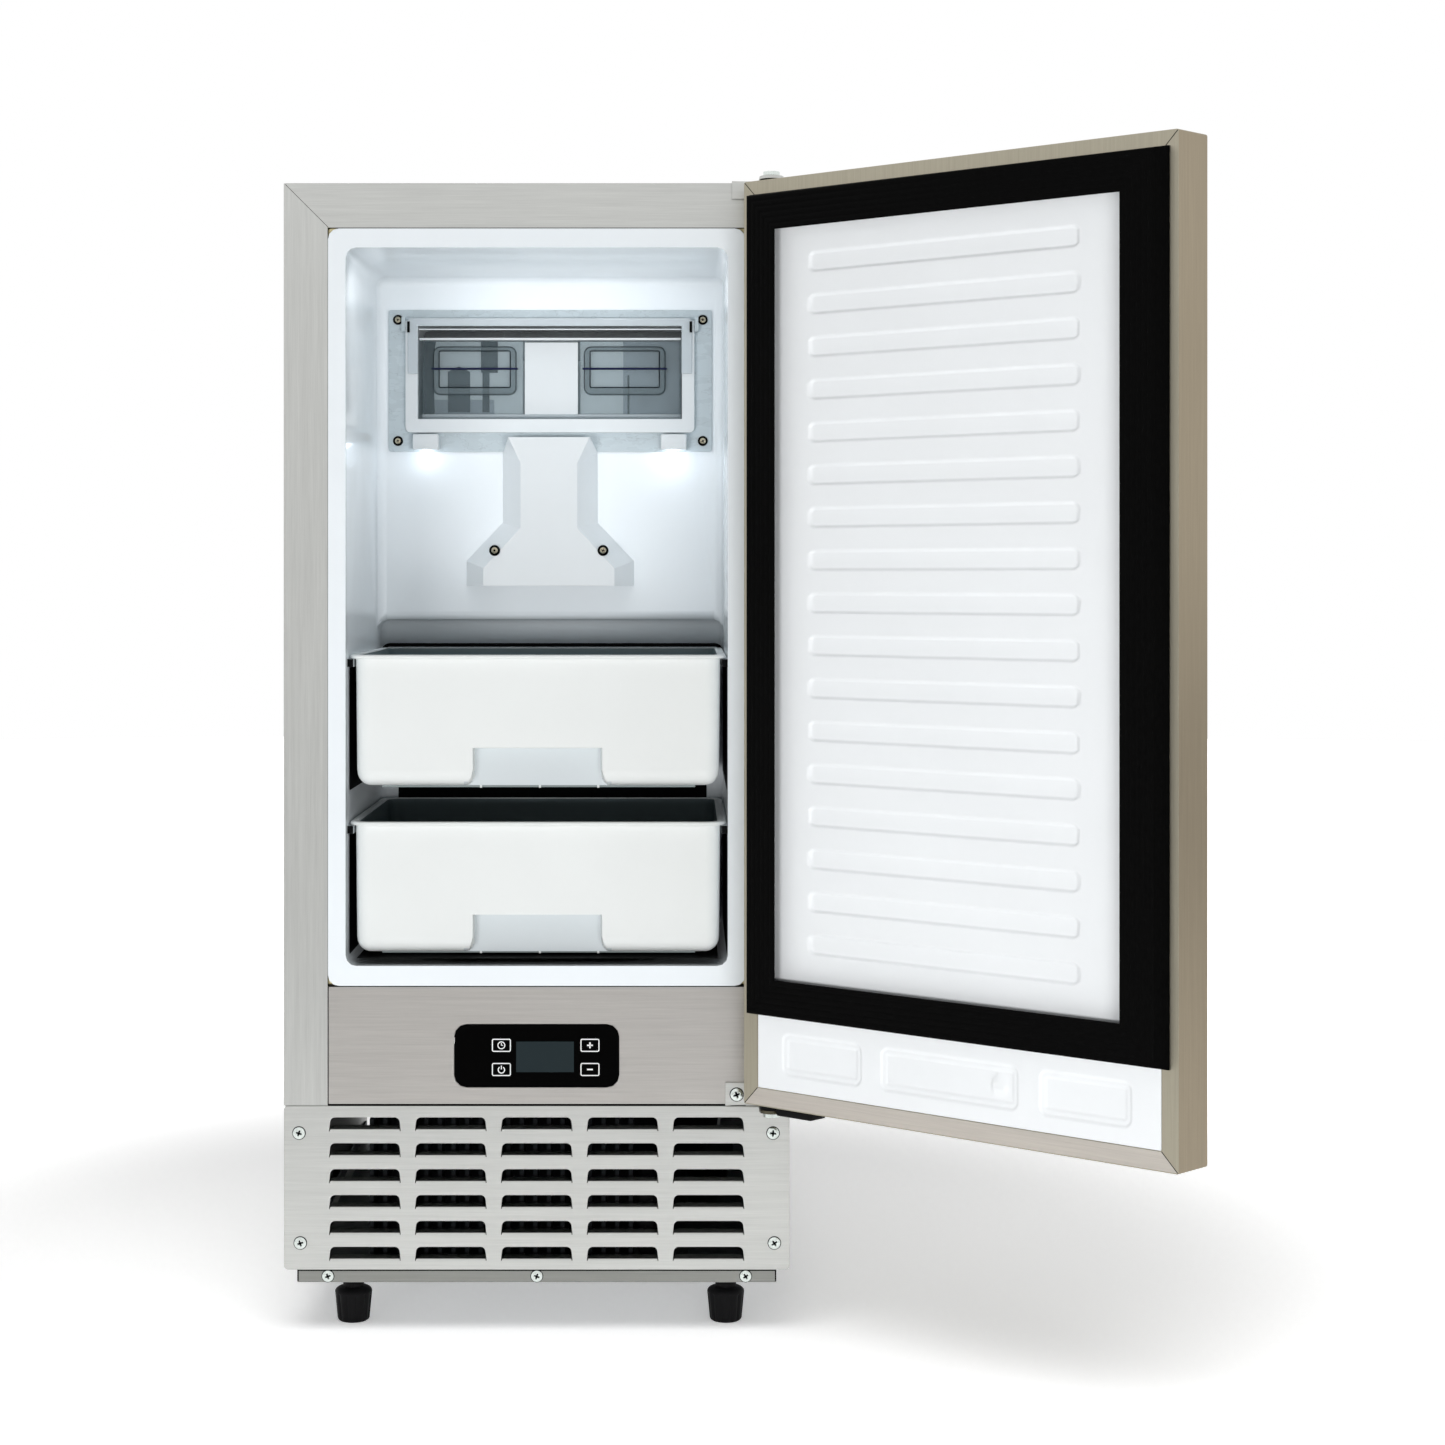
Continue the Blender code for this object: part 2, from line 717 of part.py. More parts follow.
def carry(empty, *pieces):
    """Hangs pieces, modelled in place, on their joint's empty."""
    for piece in pieces:
        piece.parent = empty
        piece.location = Vector(piece.location) - Vector(empty.location)


def bore(radius, facets):
    """The radius of a faceted hole that a faceted shaft of this radius turns in."""
    return (radius + RUNNING) / math.cos(math.pi / facets)


def at_height(points, z):
    return [(x, y, z) for x, y in points]


def at_depth(points, y):
    return [(x, y, z) for x, z in points]


def side_panel(side, name):
    """One wall with the front stile, a stepped-back ledge behind the grille and a rear flange."""
    x = side * HALF_WIDTH
    ledge_y = FRONT + GRILLE_RETURN + FIT
    split = GRILLE_TOP + FIT
    low = PAN_Z + PAN_FLANGE + FIT
    rear = BACK - SHEET - FIT
    bm, corner = blank([
        (x, FRONT, split),
        (x, FRONT, CABINET_TOP),
        (x, rear, CABINET_TOP),
        (x, rear, CABINET_TOP - SHEET - FIT),
        (x, rear, low),
        (x, rear, PAN_Z),
        (x, ledge_y, PAN_Z),
        (x, ledge_y, low),
        (x, ledge_y, split),
    ])
    edge_x = side * STILE_EDGE
    fold(bm, corner[0], corner[1], (edge_x, FRONT, CABINET_TOP), (edge_x, FRONT, split))
    inner_x = side * (HALF_WIDTH - REAR_FLANGE)
    fold(bm, corner[3], corner[4], (inner_x, rear, low), (inner_x, rear, CABINET_TOP - REAR_FLANGE))
    fold(bm, corner[7], corner[8], (inner_x, ledge_y, split), (inner_x, ledge_y, low))
    return cut(folded(name, bm, SHEET, (side, 0, 0), STAINLESS), mitre(f"{name}_mitre", side, True))


def mitre(name, side, above):
    """A cutter for the sheet above or below the mitre between a stile and the top rail."""
    shift = 0 if above else -3 * FIT / 2
    outer, inner = HALF_WIDTH + OVERRUN, STILE_EDGE - OVERRUN
    low, high = CABINET_TOP - STILE_WIDTH - OVERRUN, CABINET_TOP + OVERRUN
    ends = [(side * (outer + shift), high), (side * (inner + shift), low)]
    corner = (side * inner, high) if above else (side * outer, low)
    return outline(name, [ends + [corner]], FRONT - OVERRUN, FRONT + SHEET + FIT, "Y")


def top_panel():
    """The lid between the side panels, with the front rail mitred into the stiles."""
    x = HALF_WIDTH - SHEET - FIT
    rear = BACK - SHEET - FIT
    rear_x = x - 2 * SHEET
    rim = [(-x, FRONT), (x, FRONT), (x, rear), (rear_x, rear), (-rear_x, rear), (-x, rear)]
    bm, corner = blank(at_height(rim, CABINET_TOP))
    low = CABINET_TOP - TOP_RAIL_HEIGHT + FIT
    fold(bm, corner[0], corner[1], (x, FRONT, low), (-x, FRONT, low))
    rear_x -= REAR_FLANGE
    rear_low = CABINET_TOP - REAR_FLANGE
    fold(bm, corner[3], corner[4], (-rear_x, rear, rear_low), (rear_x, rear, rear_low))
    panel = folded("top_panel", bm, SHEET, (0, 0, 1), STAINLESS)
    return cut(panel, mitre("top_mitre_left", -1, False), mitre("top_mitre_right", 1, False))


def back_panels():
    """The flat back with the vented service panel under it, and the three fittings' holes."""
    low, seam, high = PAN_Z + PAN_FLANGE, PAN_Z + PAN_FLANGE + SERVICE_HEIGHT, CABINET_TOP
    x = HALF_WIDTH
    y = BACK - SHEET
    outline("back_panel", [rectangle((-x, seam + FIT), (x, high))], y, BACK, "Y", GALVANISED)
    loops = [rectangle((-x, low), (x, seam - FIT))]
    for column in range(VENT_COLUMNS):
        centre_x = (column - (VENT_COLUMNS - 1) / 2) * (VENT_WIDTH + VENT_GAP)
        for row in range(VENT_ROWS):
            centre_z = low + VENT_RISE + row * VENT_PITCH
            radius = VENT_HEIGHT / 2 - FIT
            loops.append(rounded(VENT_WIDTH, VENT_HEIGHT, radius, (centre_x, centre_z), SMALL_STEPS))
    fittings = (
        (VALVE_OFFSET, VALVE_THREAD_RADIUS),
        (DRAIN_OFFSET, DRAIN_RADIUS),
        (GLAND_OFFSET, GLAND_RADIUS),
    )
    for offset, radius in fittings:
        loops.append(circle(radius + FIT, (offset, low + FITTING_RISE)))
    outline("rear_service_panel", loops, y, BACK, "Y", GALVANISED)


def base_pan():
    """A tray with upturned flanges and a plateau pressed down between the feet."""
    x = INNER_WIDTH
    front, rear = FRONT + PAN_SETBACK, BACK - SHEET - FIT - SHEET - FIT
    bm, corner = blank([(-x, front, PAN_Z), (x, front, PAN_Z), (x, rear, PAN_Z), (-x, rear, PAN_Z)])
    heights = (GRILLE_Z - FIT - PAN_Z, PAN_FLANGE, PAN_FLANGE, PAN_FLANGE)
    for start, end, height in zip(corner, corner[1:] + corner[:1], heights):
        taper = (end.co - start.co).normalized() * height
        rise = Vector((0, 0, height))
        fold(bm, start, end, end.co - taper + rise, start.co + taper + rise)
    bm.normal_update()
    plateau = min(bm.faces, key=lambda face: face.calc_center_median().xy.length)
    for width in (PLATEAU_MARGIN, PLATEAU_SLOPE):
        bmesh.ops.inset_region(bm, faces=[plateau], thickness=width, use_even_offset=True)
    bmesh.ops.translate(bm, vec=(0, 0, -PLATEAU_DROP), verts=plateau.verts)
    pan = folded("base_pan", bm, PAN_SHEET, (0, 0, -1), GALVANISED)
    for index, (foot_x, foot_y) in enumerate(foot_places()):
        hole = drill(f"foot_hole_{index}", STUD_RADIUS + STUD_CLEARANCE, OVERRUN, (foot_x, foot_y, PAN_Z))
        cut(pan, hole)
    return pan


def base_rail():
    """The plain strip under the grille."""
    x = HALF_WIDTH - RAIL_INSET
    y = FRONT + PAN_SETBACK - FIT - SHEET
    low, high = PAN_Z, GRILLE_Z - FIT
    bm, _ = blank([(-x, y, low), (x, y, low), (x, y, high), (-x, y, high)])
    return folded("base_rail", bm, SHEET, (0, -1, 0), STAINLESS)


def louver_outline(centre_x, sill_z):
    """A lanced opening: straight sill, leaning sides and round upper corners, anticlockwise from the sill."""
    half, top = LOUVER_WIDTH / 2, LOUVER_TOP_WIDTH / 2
    lean = math.degrees(math.atan2(half - top, LOUVER_HEIGHT - LOUVER_CORNER))
    corner_z = sill_z + LOUVER_HEIGHT - LOUVER_CORNER
    right = arc((centre_x + top - LOUVER_CORNER, corner_z), LOUVER_CORNER, lean, 90, LOUVER_STEPS)
    left = arc((centre_x - top + LOUVER_CORNER, corner_z), LOUVER_CORNER, 90, 180 - lean, LOUVER_STEPS)
    return [(centre_x - half, sill_z), (centre_x + half, sill_z)] + right + left


def front_grille():
    """A pressed panel whose louvers are lanced on three sides and bent inwards from their sills."""
    loops = [rounded(CABINET_WIDTH, GRILLE_HEIGHT, GRILLE_CORNER, (0, GRILLE_Z + GRILLE_HEIGHT / 2))]
    sills = []
    for column in range(LOUVER_COLUMNS):
        centre_x = (column - (LOUVER_COLUMNS - 1) / 2) * LOUVER_PITCH_X
        for row in range(LOUVER_ROWS):
            sill_z = GRILLE_Z + LOUVER_FIRST_Z + row * LOUVER_PITCH_Z
            loops.append(louver_outline(centre_x, sill_z))
            sills.append((centre_x, sill_z))
    bm = filled(loops, FRONT)
    inner_x = HALF_WIDTH - GRILLE_CORNER - RUNNING
    low, high = GRILLE_Z + GRILLE_CORNER + RUNNING, GRILLE_TOP - GRILLE_CORNER - RUNNING
    border = [edge for edge in bm.edges if edge.is_boundary]
    rim = [
        edge for edge in border
        if all(abs(v.co.x) > inner_x or not low < v.co.z < high for v in edge.verts)
    ]
    wall = bmesh.ops.extrude_edge_only(bm, edges=rim)
    back = [item for item in wall["geom"] if isinstance(item, bmesh.types.BMVert)]
    bmesh.ops.translate(bm, vec=(0, GRILLE_RETURN, 0), verts=back)
    inset = LOUVER_SLIT
    for centre_x, sill_z in sills:
        foot = louver_outline(centre_x, sill_z)
        left, right = (
            min(bm.verts, key=lambda v: (v.co - Vector((x, FRONT, z))).length) for x, z in foot[:2]
        )
        slope = LOUVER_RISE / LOUVER_HEIGHT
        border_points = [
            (x - math.copysign(inset, x - centre_x), FRONT + z - sill_z, sill_z + slope * (z - sill_z))
            for x, z in foot[2:]
        ]
        fold(bm, left, right, *border_points)
    return folded("front_grille", bm, SHEET, (0, -1, 0), STAINLESS)


def control_fascia():
    """A tray with returned edges and a window for the display lens."""
    x = STILE_EDGE - FASCIA_SIDE_SEAM
    loop = [(-x, FASCIA_Z), (x, FASCIA_Z), (x, FASCIA_TOP), (-x, FASCIA_TOP)]
    bm, _ = blank(at_depth(loop, FRONT))
    wall = bmesh.ops.extrude_edge_only(bm, edges=list(bm.edges))
    back = [item for item in wall["geom"] if isinstance(item, bmesh.types.BMVert)]
    bmesh.ops.translate(bm, vec=(0, FASCIA_RETURN, 0), verts=back)
    fascia = folded("control_fascia", bm, SHEET, (0, -1, 0), STAINLESS)
    middle = (0, (FASCIA_Z + FASCIA_TOP) / 2 - LENS_DROP)
    window = outline(
        "lens_window",
        [rounded(LENS_WIDTH + 2 * FIT, LENS_HEIGHT + 2 * FIT, LENS_RADIUS + FIT, middle)],
        FRONT - OVERRUN, FRONT + OVERRUN, "Y",
    )
    cut(fascia, window)
    lens_y = FRONT - LENS_PROUD
    outline(
        "display_lens", [rounded(LENS_WIDTH, LENS_HEIGHT, LENS_RADIUS, middle)],
        lens_y, lens_y + LENS_THICKNESS, "Y", GLOSS_BLACK,
    )
    board_y = lens_y + LENS_THICKNESS + FIT
    outline(
        "display_board", [rounded(BOARD_WIDTH, BOARD_HEIGHT, LENS_RADIUS / 2, middle)],
        board_y, board_y + BOARD_THICKNESS, "Y", BOARD,
    )


def cavity_bmesh(grow, front):
    """The cabinet's hollow as a solid, its walls moved out by grow: an L in side view, with round edges."""
    back, shelf = FRONT + CAVITY_DEPTH + grow, BULGE_Y + grow
    low, high, step = CAVITY_Z - grow, CAVITY_TOP + grow, BULGE_Z + grow
    x = OPENING_WIDTH / 2 + grow
    section = [(front, low), (back, low), (back, step), (shelf, step), (shelf, high), (front, high)]
    bm, _ = blank([(-x, y, z) for y, z in section])
    sweep = bmesh.ops.extrude_face_region(bm, geom=bm.faces[:])
    moved = [item for item in sweep["geom"] if isinstance(item, bmesh.types.BMVert)]
    bmesh.ops.translate(bm, vec=(2 * x, 0, 0), verts=moved)
    bmesh.ops.recalc_face_normals(bm, faces=bm.faces)
    inner = [edge for edge in bm.edges if any(v.co.y > front + RUNNING for v in edge.verts)]
    round_edges(bm, inner, LINER_RADIUS + grow)
    return bm


def inner_liner():
    """The vacuum-formed cabinet liner: flange, cavity with its rear bulge, and ledges for the bins' rims."""
    bm = cavity_bmesh(0, FRONT)
    mouth = [face for face in bm.faces if all(v.co.y < FRONT + RUNNING for v in face.verts)]
    bmesh.ops.delete(bm, geom=mouth, context="FACES_ONLY")
    edges = [edge for edge in bm.edges if edge.is_boundary]
    lip = bmesh.ops.extrude_edge_only(bm, edges=edges)
    centre_z = (CAVITY_Z + CAVITY_TOP) / 2
    side = STILE_EDGE - FIT - OPENING_WIDTH / 2
    for item in lip["geom"]:
        if isinstance(item, bmesh.types.BMVert):
            item.co.x += math.copysign(side, item.co.x)
            item.co.z += HEAD_HEIGHT - FIT if item.co.z > centre_z else -SILL_HEIGHT
    bm.normal_update()
    back = max(bm.faces, key=lambda face: face.calc_center_median().y)
    if back.normal.y > 0:
        bmesh.ops.reverse_faces(bm, faces=bm.faces)
    liner = from_bmesh("inner_liner", bm, WHITE, smooth=True)
    thicken(liner, LINER_WALL)
    for index in range(2):
        rim_z = BIN_Z + index * BIN_PITCH + BIN_HEIGHT - RIM_THICKNESS - FIT
        for side in (-1, 1):
            x = [side * (BIN_WIDTH / 2 + RIM_OVERHANG / 4), side * (OPENING_WIDTH / 2 + LINER_WALL / 2)]
            ledge = box(
                f"ledge_{index}_{side}",
                (min(x), FRONT + LEDGE_START, rim_z - LEDGE_HEIGHT),
                (max(x), FRONT + CAVITY_DEPTH - LINER_RADIUS, rim_z),
            )
            join(liner, ledge)
    cut(liner, chute_opening("liner_opening", 0))
    return liner


def chute_opening(name, grow):
    """A cutter through the liner's rear wall and the insulation for the ice chute."""
    middle = (0, OPENING_Z + CHUTE_OPENING_HEIGHT / 2)
    width, height = CHUTE_OPENING_WIDTH + 2 * grow, CHUTE_OPENING_HEIGHT + 2 * grow
    loop = rounded(width, height, CHUTE_RADIUS + grow, middle)
    return outline(name, [loop], BULGE_Y - OVERRUN, FOAM_BACK + OVERRUN, "Y")


def cabinet_foam():
    """Insulation round the liner, notched at the front over the fascia's return."""
    front = FRONT + LINER_WALL + 2 * FIT
    top = CABINET_TOP - SHEET - FIT
    notch_z = FOAM_FLOOR + FOAM_NOTCH_HEIGHT
    section = [
        (front, notch_z), (front, top), (FOAM_BACK, top), (FOAM_BACK, FOAM_FLOOR),
        (front + FOAM_NOTCH, FOAM_FLOOR), (front + FOAM_NOTCH, notch_z),
    ]
    foam = outline("cabinet_foam", [section], -INNER_WIDTH + FIT, INNER_WIDTH - FIT, "X", FOAM)
    hollow = from_bmesh("foam_hollow", cavity_bmesh(LINER_WALL + FIT, FRONT - OVERRUN))
    return cut(foam, hollow, chute_opening("foam_opening", DUCT_WALL + 2 * FIT))


def bulkhead_and_deck():
    """Sheets behind and under the insulation."""
    x = INNER_WIDTH - FIT
    top = CABINET_TOP - SHEET - FIT
    head_z = head_middle() - HEAD_BLOCK_HEIGHT / 2
    hole = rectangle((-HEAD_WIDTH / 2, head_z), (HEAD_WIDTH / 2, head_z + HEAD_BLOCK_HEIGHT))
    sheet = rectangle((-x, FOAM_FLOOR), (x, top))
    outline("bulkhead", [sheet, hole], BULKHEAD_Y, BULKHEAD_Y + SHEET, "Y", GALVANISED)
    front, rear = FRONT + FASCIA_RETURN + FIT + SHEET, BACK - 2 * SHEET - 2 * FIT
    z = DECK_Z + SHEET
    bm, corner = blank([(-x, front, z), (x, front, z), (x, rear, z), (-x, rear, z)])
    for start, end in ((corner[1], corner[2]), (corner[3], corner[0])):
        fold(bm, start, end, end.co - Vector((0, 0, DECK_FLANGE)), start.co - Vector((0, 0, DECK_FLANGE)))
    folded("machine_deck", bm, SHEET, (0, 0, 1), GALVANISED)


def head_middle():
    """Height of the middle of the outlet head, behind the chute opening."""
    return OPENING_Z + HEAD_RISE + HEAD_BLOCK_HEIGHT / 2


def chute_front():
    """The chute plate with its ears, the duct through the wall and the two lamps."""
    middle = (0, CHUTE_Z + CHUTE_HEIGHT / 2)
    opening = rounded(
        CHUTE_OPENING_WIDTH, CHUTE_OPENING_HEIGHT, CHUTE_RADIUS, (0, OPENING_Z + CHUTE_OPENING_HEIGHT / 2)
    )
    plate = outline(
        "chute_plate", [rounded(CHUTE_WIDTH, CHUTE_HEIGHT, CHUTE_RADIUS / 2, middle), opening],
        CHUTE_FACE, CHUTE_Y, "Y", WHITE,
    )
    ear_x = FLAP_WIDTH / 2 + FIT
    for side in (-1, 1):
        x = [side * ear_x, side * (ear_x + EAR_THICKNESS)]
        ear = box(
            f"flap_ear_{side}",
            (min(x), FLAP_Y - FLAP_THICKNESS / 2, FLAP_PIVOT_Z - EAR_HEIGHT / 2),
            (max(x), CHUTE_FACE + CHUTE_PLATE / 2, FLAP_PIVOT_Z + EAR_HEIGHT / 2),
        )
        join(plate, ear)
    radius = bore(FLAP_PIN_RADIUS, ROUND_STEPS)
    reach = FLAP_WIDTH / 2 + EAR_THICKNESS + OVERRUN
    cut(plate, drill("flap_pin_bore", radius, reach, (0, FLAP_Y, FLAP_PIVOT_Z), facing="X"))
    duct_middle = (0, OPENING_Z + CHUTE_OPENING_HEIGHT / 2)
    outer = rounded(
        CHUTE_OPENING_WIDTH + 2 * DUCT_WALL, CHUTE_OPENING_HEIGHT + 2 * DUCT_WALL,
        CHUTE_RADIUS + DUCT_WALL, duct_middle,
    )
    outline("chute_duct", [outer, opening], BULGE_Y + LINER_WALL + FIT, FOAM_BACK, "Y", WHITE)
    for side, name in ((-1, "lamp_left"), (1, "lamp_right")):
        x = side * LAMP_OFFSET
        box(
            name,
            (x - LAMP_WIDTH / 2, CHUTE_FACE - FIT - LAMP_DEPTH, CHUTE_Z + LAMP_RISE),
            (x + LAMP_WIDTH / 2, CHUTE_FACE - FIT, CHUTE_Z + LAMP_RISE + LAMP_HEIGHT),
            WHITE, LAMP_RADIUS,
        )


def ice_flap():
    """The hinged flap: U-frame with pivot stubs, recessed clear tray, centre panel and translucent cap."""
    half, top = FLAP_WIDTH / 2, FLAP_Z + FLAP_HEIGHT
    inner, sill = half - FLAP_BAR, FLAP_Z + FLAP_SILL
    low_right = arc((half - FLAP_CORNER, FLAP_Z + FLAP_CORNER), FLAP_CORNER, 270, 360)
    low_left = arc((-half + FLAP_CORNER, FLAP_Z + FLAP_CORNER), FLAP_CORNER, 180, 270)
    loop = low_left + low_right + [
        (half, top), (inner, top), (inner, sill), (-inner, sill), (-inner, top), (-half, top),
    ]
    face, back = FLAP_Y - FLAP_THICKNESS / 2, FLAP_Y + FLAP_THICKNESS / 2
    frame = outline("flap_frame", [loop], face, back, "Y", WHITE)
    bm = bmesh.new()
    bm.from_mesh(frame.data)
    rear_top = [edge for edge in bm.edges if all(v.co.z > top - FIT and v.co.y > FLAP_Y for v in edge.verts)]
    round_edges(bm, rear_top, FLAP_THICKNESS / 2 - RUNNING)
    bm.to_mesh(frame.data)
    bm.free()
    for side in (-1, 1):
        start, end = FLAP_BAR / 2, FLAP_BAR + FLAP_PIN_LENGTH
        profile = [(0, end), (FLAP_PIN_RADIUS, end), (FLAP_PIN_RADIUS, start), (0, start)]
        if side < 0:
            profile = [(radius, -height) for radius, height in reversed(profile)]
        stub_at = (side * (half - FLAP_BAR), FLAP_Y, FLAP_PIVOT_Z)
        join(frame, turned(f"flap_stub_{side}", profile, stub_at, facing="X"))
    front = FLAP_Y
    low = FLAP_Z + FLAP_SILL + FIT
    reach = half - FLAP_BAR - FIT
    bm = box_bmesh((-reach, front, low), (reach, front + WINDOW_DEPTH, low + WINDOW_HEIGHT))
    mouth = [face for face in bm.faces if face.normal.y < -math.cos(SMOOTH_ANGLE)]
    bmesh.ops.delete(bm, geom=mouth, context="FACES_ONLY")
    window = from_bmesh("flap_window", bm, SMOKE)
    thicken(window, WINDOW_WALL)
    panel_y = front + WINDOW_DEPTH - WINDOW_WALL - FIT
    panel_low, panel_high = low + WINDOW_WALL + FIT, low + WINDOW_HEIGHT - WINDOW_WALL - FIT
    panel = outline(
        "flap_panel", [rectangle((-PANEL_WIDTH / 2, panel_low), (PANEL_WIDTH / 2, panel_high))],
        panel_y - PANEL_THICKNESS, panel_y, "Y", WHITE,
    )
    cap_top, cap_half = FLAP_Z + CAP_TOP_RISE, CAP_WIDTH / 2
    corner_z = cap_top - CAP_CORNER
    shoulders = arc((cap_half - CAP_CORNER, corner_z), CAP_CORNER, 0, 90)
    shoulders += arc((-cap_half + CAP_CORNER, corner_z), CAP_CORNER, 90, 180)
    leg, foot = cap_half - CAP_LEG, cap_top - CAP_HEIGHT
    loop = [(cap_half, foot)] + shoulders + [
        (-cap_half, foot), (-leg, foot), (-leg, cap_top - CAP_BAR), (leg, cap_top - CAP_BAR), (leg, foot),
    ]
    cap_y = FLAP_Y - FLAP_THICKNESS / 2 - FIT
    cap = outline("flap_cap", [loop], cap_y - CAP_THICKNESS, cap_y, "Y", LILAC)
    empty = pivot("flap_axis", (0, FLAP_Y, FLAP_PIVOT_Z))
    carry(empty, frame, window, panel, cap)


def mirrored(points):
    """A half outline at +X, top to bottom, closed with its mirror image."""
    return points + [(-x, z) for x, z in reversed(points)]


def sensor_cover():
    """The bell-shaped cover: a loft from its outline on the wall to its smaller raised face."""
    foot = CHUTE_Z - BELL_HEIGHT + BELL_TOP_OVERLAP
    top = foot + BELL_HEIGHT
    shoulder = top - BELL_PEAK_HEIGHT
    wall = mirrored([
        (BELL_PEAK_WIDTH / 2, top),
        (BELL_NECK_WIDTH / 2, shoulder),
        (BELL_NECK_WIDTH / 2, foot + BELL_FLARE_TOP),
        (BELL_FOOT_WIDTH / 2, foot + BELL_FLARE_FOOT),
        (BELL_FOOT_WIDTH / 2, foot),
    ])
    face = mirrored([
        (BELL_PEAK_WIDTH / 2, top),
        (BELL_FACE_NECK_WIDTH / 2, top - BELL_FACE_DROP),
        (BELL_FACE_NECK_WIDTH / 2, foot + BELL_FACE_FLARE_TOP),
        (BELL_FACE_FOOT_WIDTH / 2, foot + BELL_FACE_FLARE_FOOT),
        (BELL_FACE_FOOT_WIDTH / 2, foot),
    ])
    back = BULGE_Y - FIT
    rings = [at_depth(wall, back), at_depth(face, back - BELL_DEPTH)]
    cover = loft("sensor_cover", rings, WHITE, smooth=False, facets=True)
    notch = box(
        "cover_notch",
        (-CHUTE_WIDTH / 2, CHUTE_FACE - FIT, CHUTE_Z - FIT),
        (CHUTE_WIDTH / 2, BULGE_Y + OVERRUN, CHUTE_TOP),
    )
    share = 1 - BELL_WALL * 2 / BELL_FACE_NECK_WIDTH
    hollow_wall = [(x * share, z - BELL_WALL) for x, z in wall]
    hollow_face = [(x * share, z - BELL_WALL) for x, z in face]
    for loop in (hollow_wall, hollow_face):
        for index, (x, z) in enumerate(loop):
            if z < foot:
                loop[index] = (x, foot - OVERRUN)
    hollow = loft(
        "cover_hollow",
        [at_depth(hollow_wall, back + OVERRUN), at_depth(hollow_face, back - BELL_DEPTH + BELL_WALL)],
        facets=True,
    )
    return cut(cover, notch, hollow)


def bin_solid(grow, top):
    """The tub's outer form as a solid, tapered and rounded, its walls moved in by -grow."""
    x, low = BIN_WIDTH / 2 + grow, BIN_Z - grow
    front, rear = BIN_FRONT - grow, BIN_FRONT + BIN_DEPTH + grow
    bm = box_bmesh((-x, front, low), (x, rear, top))
    for vertex in bm.verts:
        if vertex.co.z < low + RUNNING:
            vertex.co.x -= math.copysign(BIN_TAPER, vertex.co.x)
    upright = [edge for edge in bm.edges if along(edge, 2)]
    round_edges(bm, upright, BIN_CORNER + grow)
    bottom = [edge for edge in bm.edges if all(v.co.z < low + RUNNING for v in edge.verts)]
    round_edges(bm, bottom, BIN_BOTTOM_RADIUS + grow)
    return bm


def recess_solid(name, grow):
    """The finger recess under the bin's front, whose sides curve out towards the bottom."""
    low, high = BIN_Z - OVERRUN, BIN_Z + RECESS_HEIGHT + grow
    half = RECESS_WIDTH / 2 + grow
    side = [(half + RECESS_FLARE, low)]
    for step in range(CORNER_STEPS + 1):
        angle = math.radians(90 * step / CORNER_STEPS)
        x = half + RECESS_FLARE * (1 - math.sin(angle))
        z = BIN_Z + 2 * RECESS_FLARE * (1 - math.cos(angle))
        side.append((x, z))
    side.append((half, high))
    loop = side + [(-x, z) for x, z in reversed(side)]
    return outline(name, [loop], BIN_FRONT - OVERRUN, BIN_FRONT + RECESS_DEPTH + grow, "Y")


def ice_bin(name, lift):
    """A white tub with an outward rim, a sled under it and a finger recess at the front."""
    top = BIN_Z + BIN_HEIGHT
    tub = from_bmesh(name, bin_solid(0, top), BIN_WHITE, smooth=True)
    rim_width = BIN_WIDTH + 2 * RIM_OVERHANG
    middle_y = BIN_FRONT + BIN_DEPTH / 2
    rim_depth = BIN_DEPTH + 2 * RIM_OVERHANG
    tools = [
        outline(
            f"{name}_rim", [rounded(rim_width, rim_depth, BIN_CORNER + RIM_OVERHANG, (0, middle_y))],
            top - RIM_THICKNESS, top, "Z",
        ),
        box(
            f"{name}_sled",
            (-SLED_WIDTH / 2, BIN_FRONT + SLED_INSET, BIN_Z - SLED_HEIGHT),
            (SLED_WIDTH / 2, BIN_FRONT + BIN_DEPTH - SLED_INSET, BIN_Z + BIN_WALL / 2),
        ),
        recess_solid(f"{name}_recess", 0),
        from_bmesh(f"{name}_hollow", bin_solid(-BIN_WALL, top + OVERRUN)),
    ]
    cut(tools[3], recess_solid(f"{name}_recess_wall", BIN_WALL))
    join(tub, tools[0], tools[1])
    cut(tub, tools[2], tools[3])
    inner_tools = [modifier.object for modifier in tools[3].modifiers]
    empty = pivot(f"{name}_slide", (0, 0, 0))
    carry(empty, tub, *tools, *inner_tools)
    empty.location.z = lift
    return tub


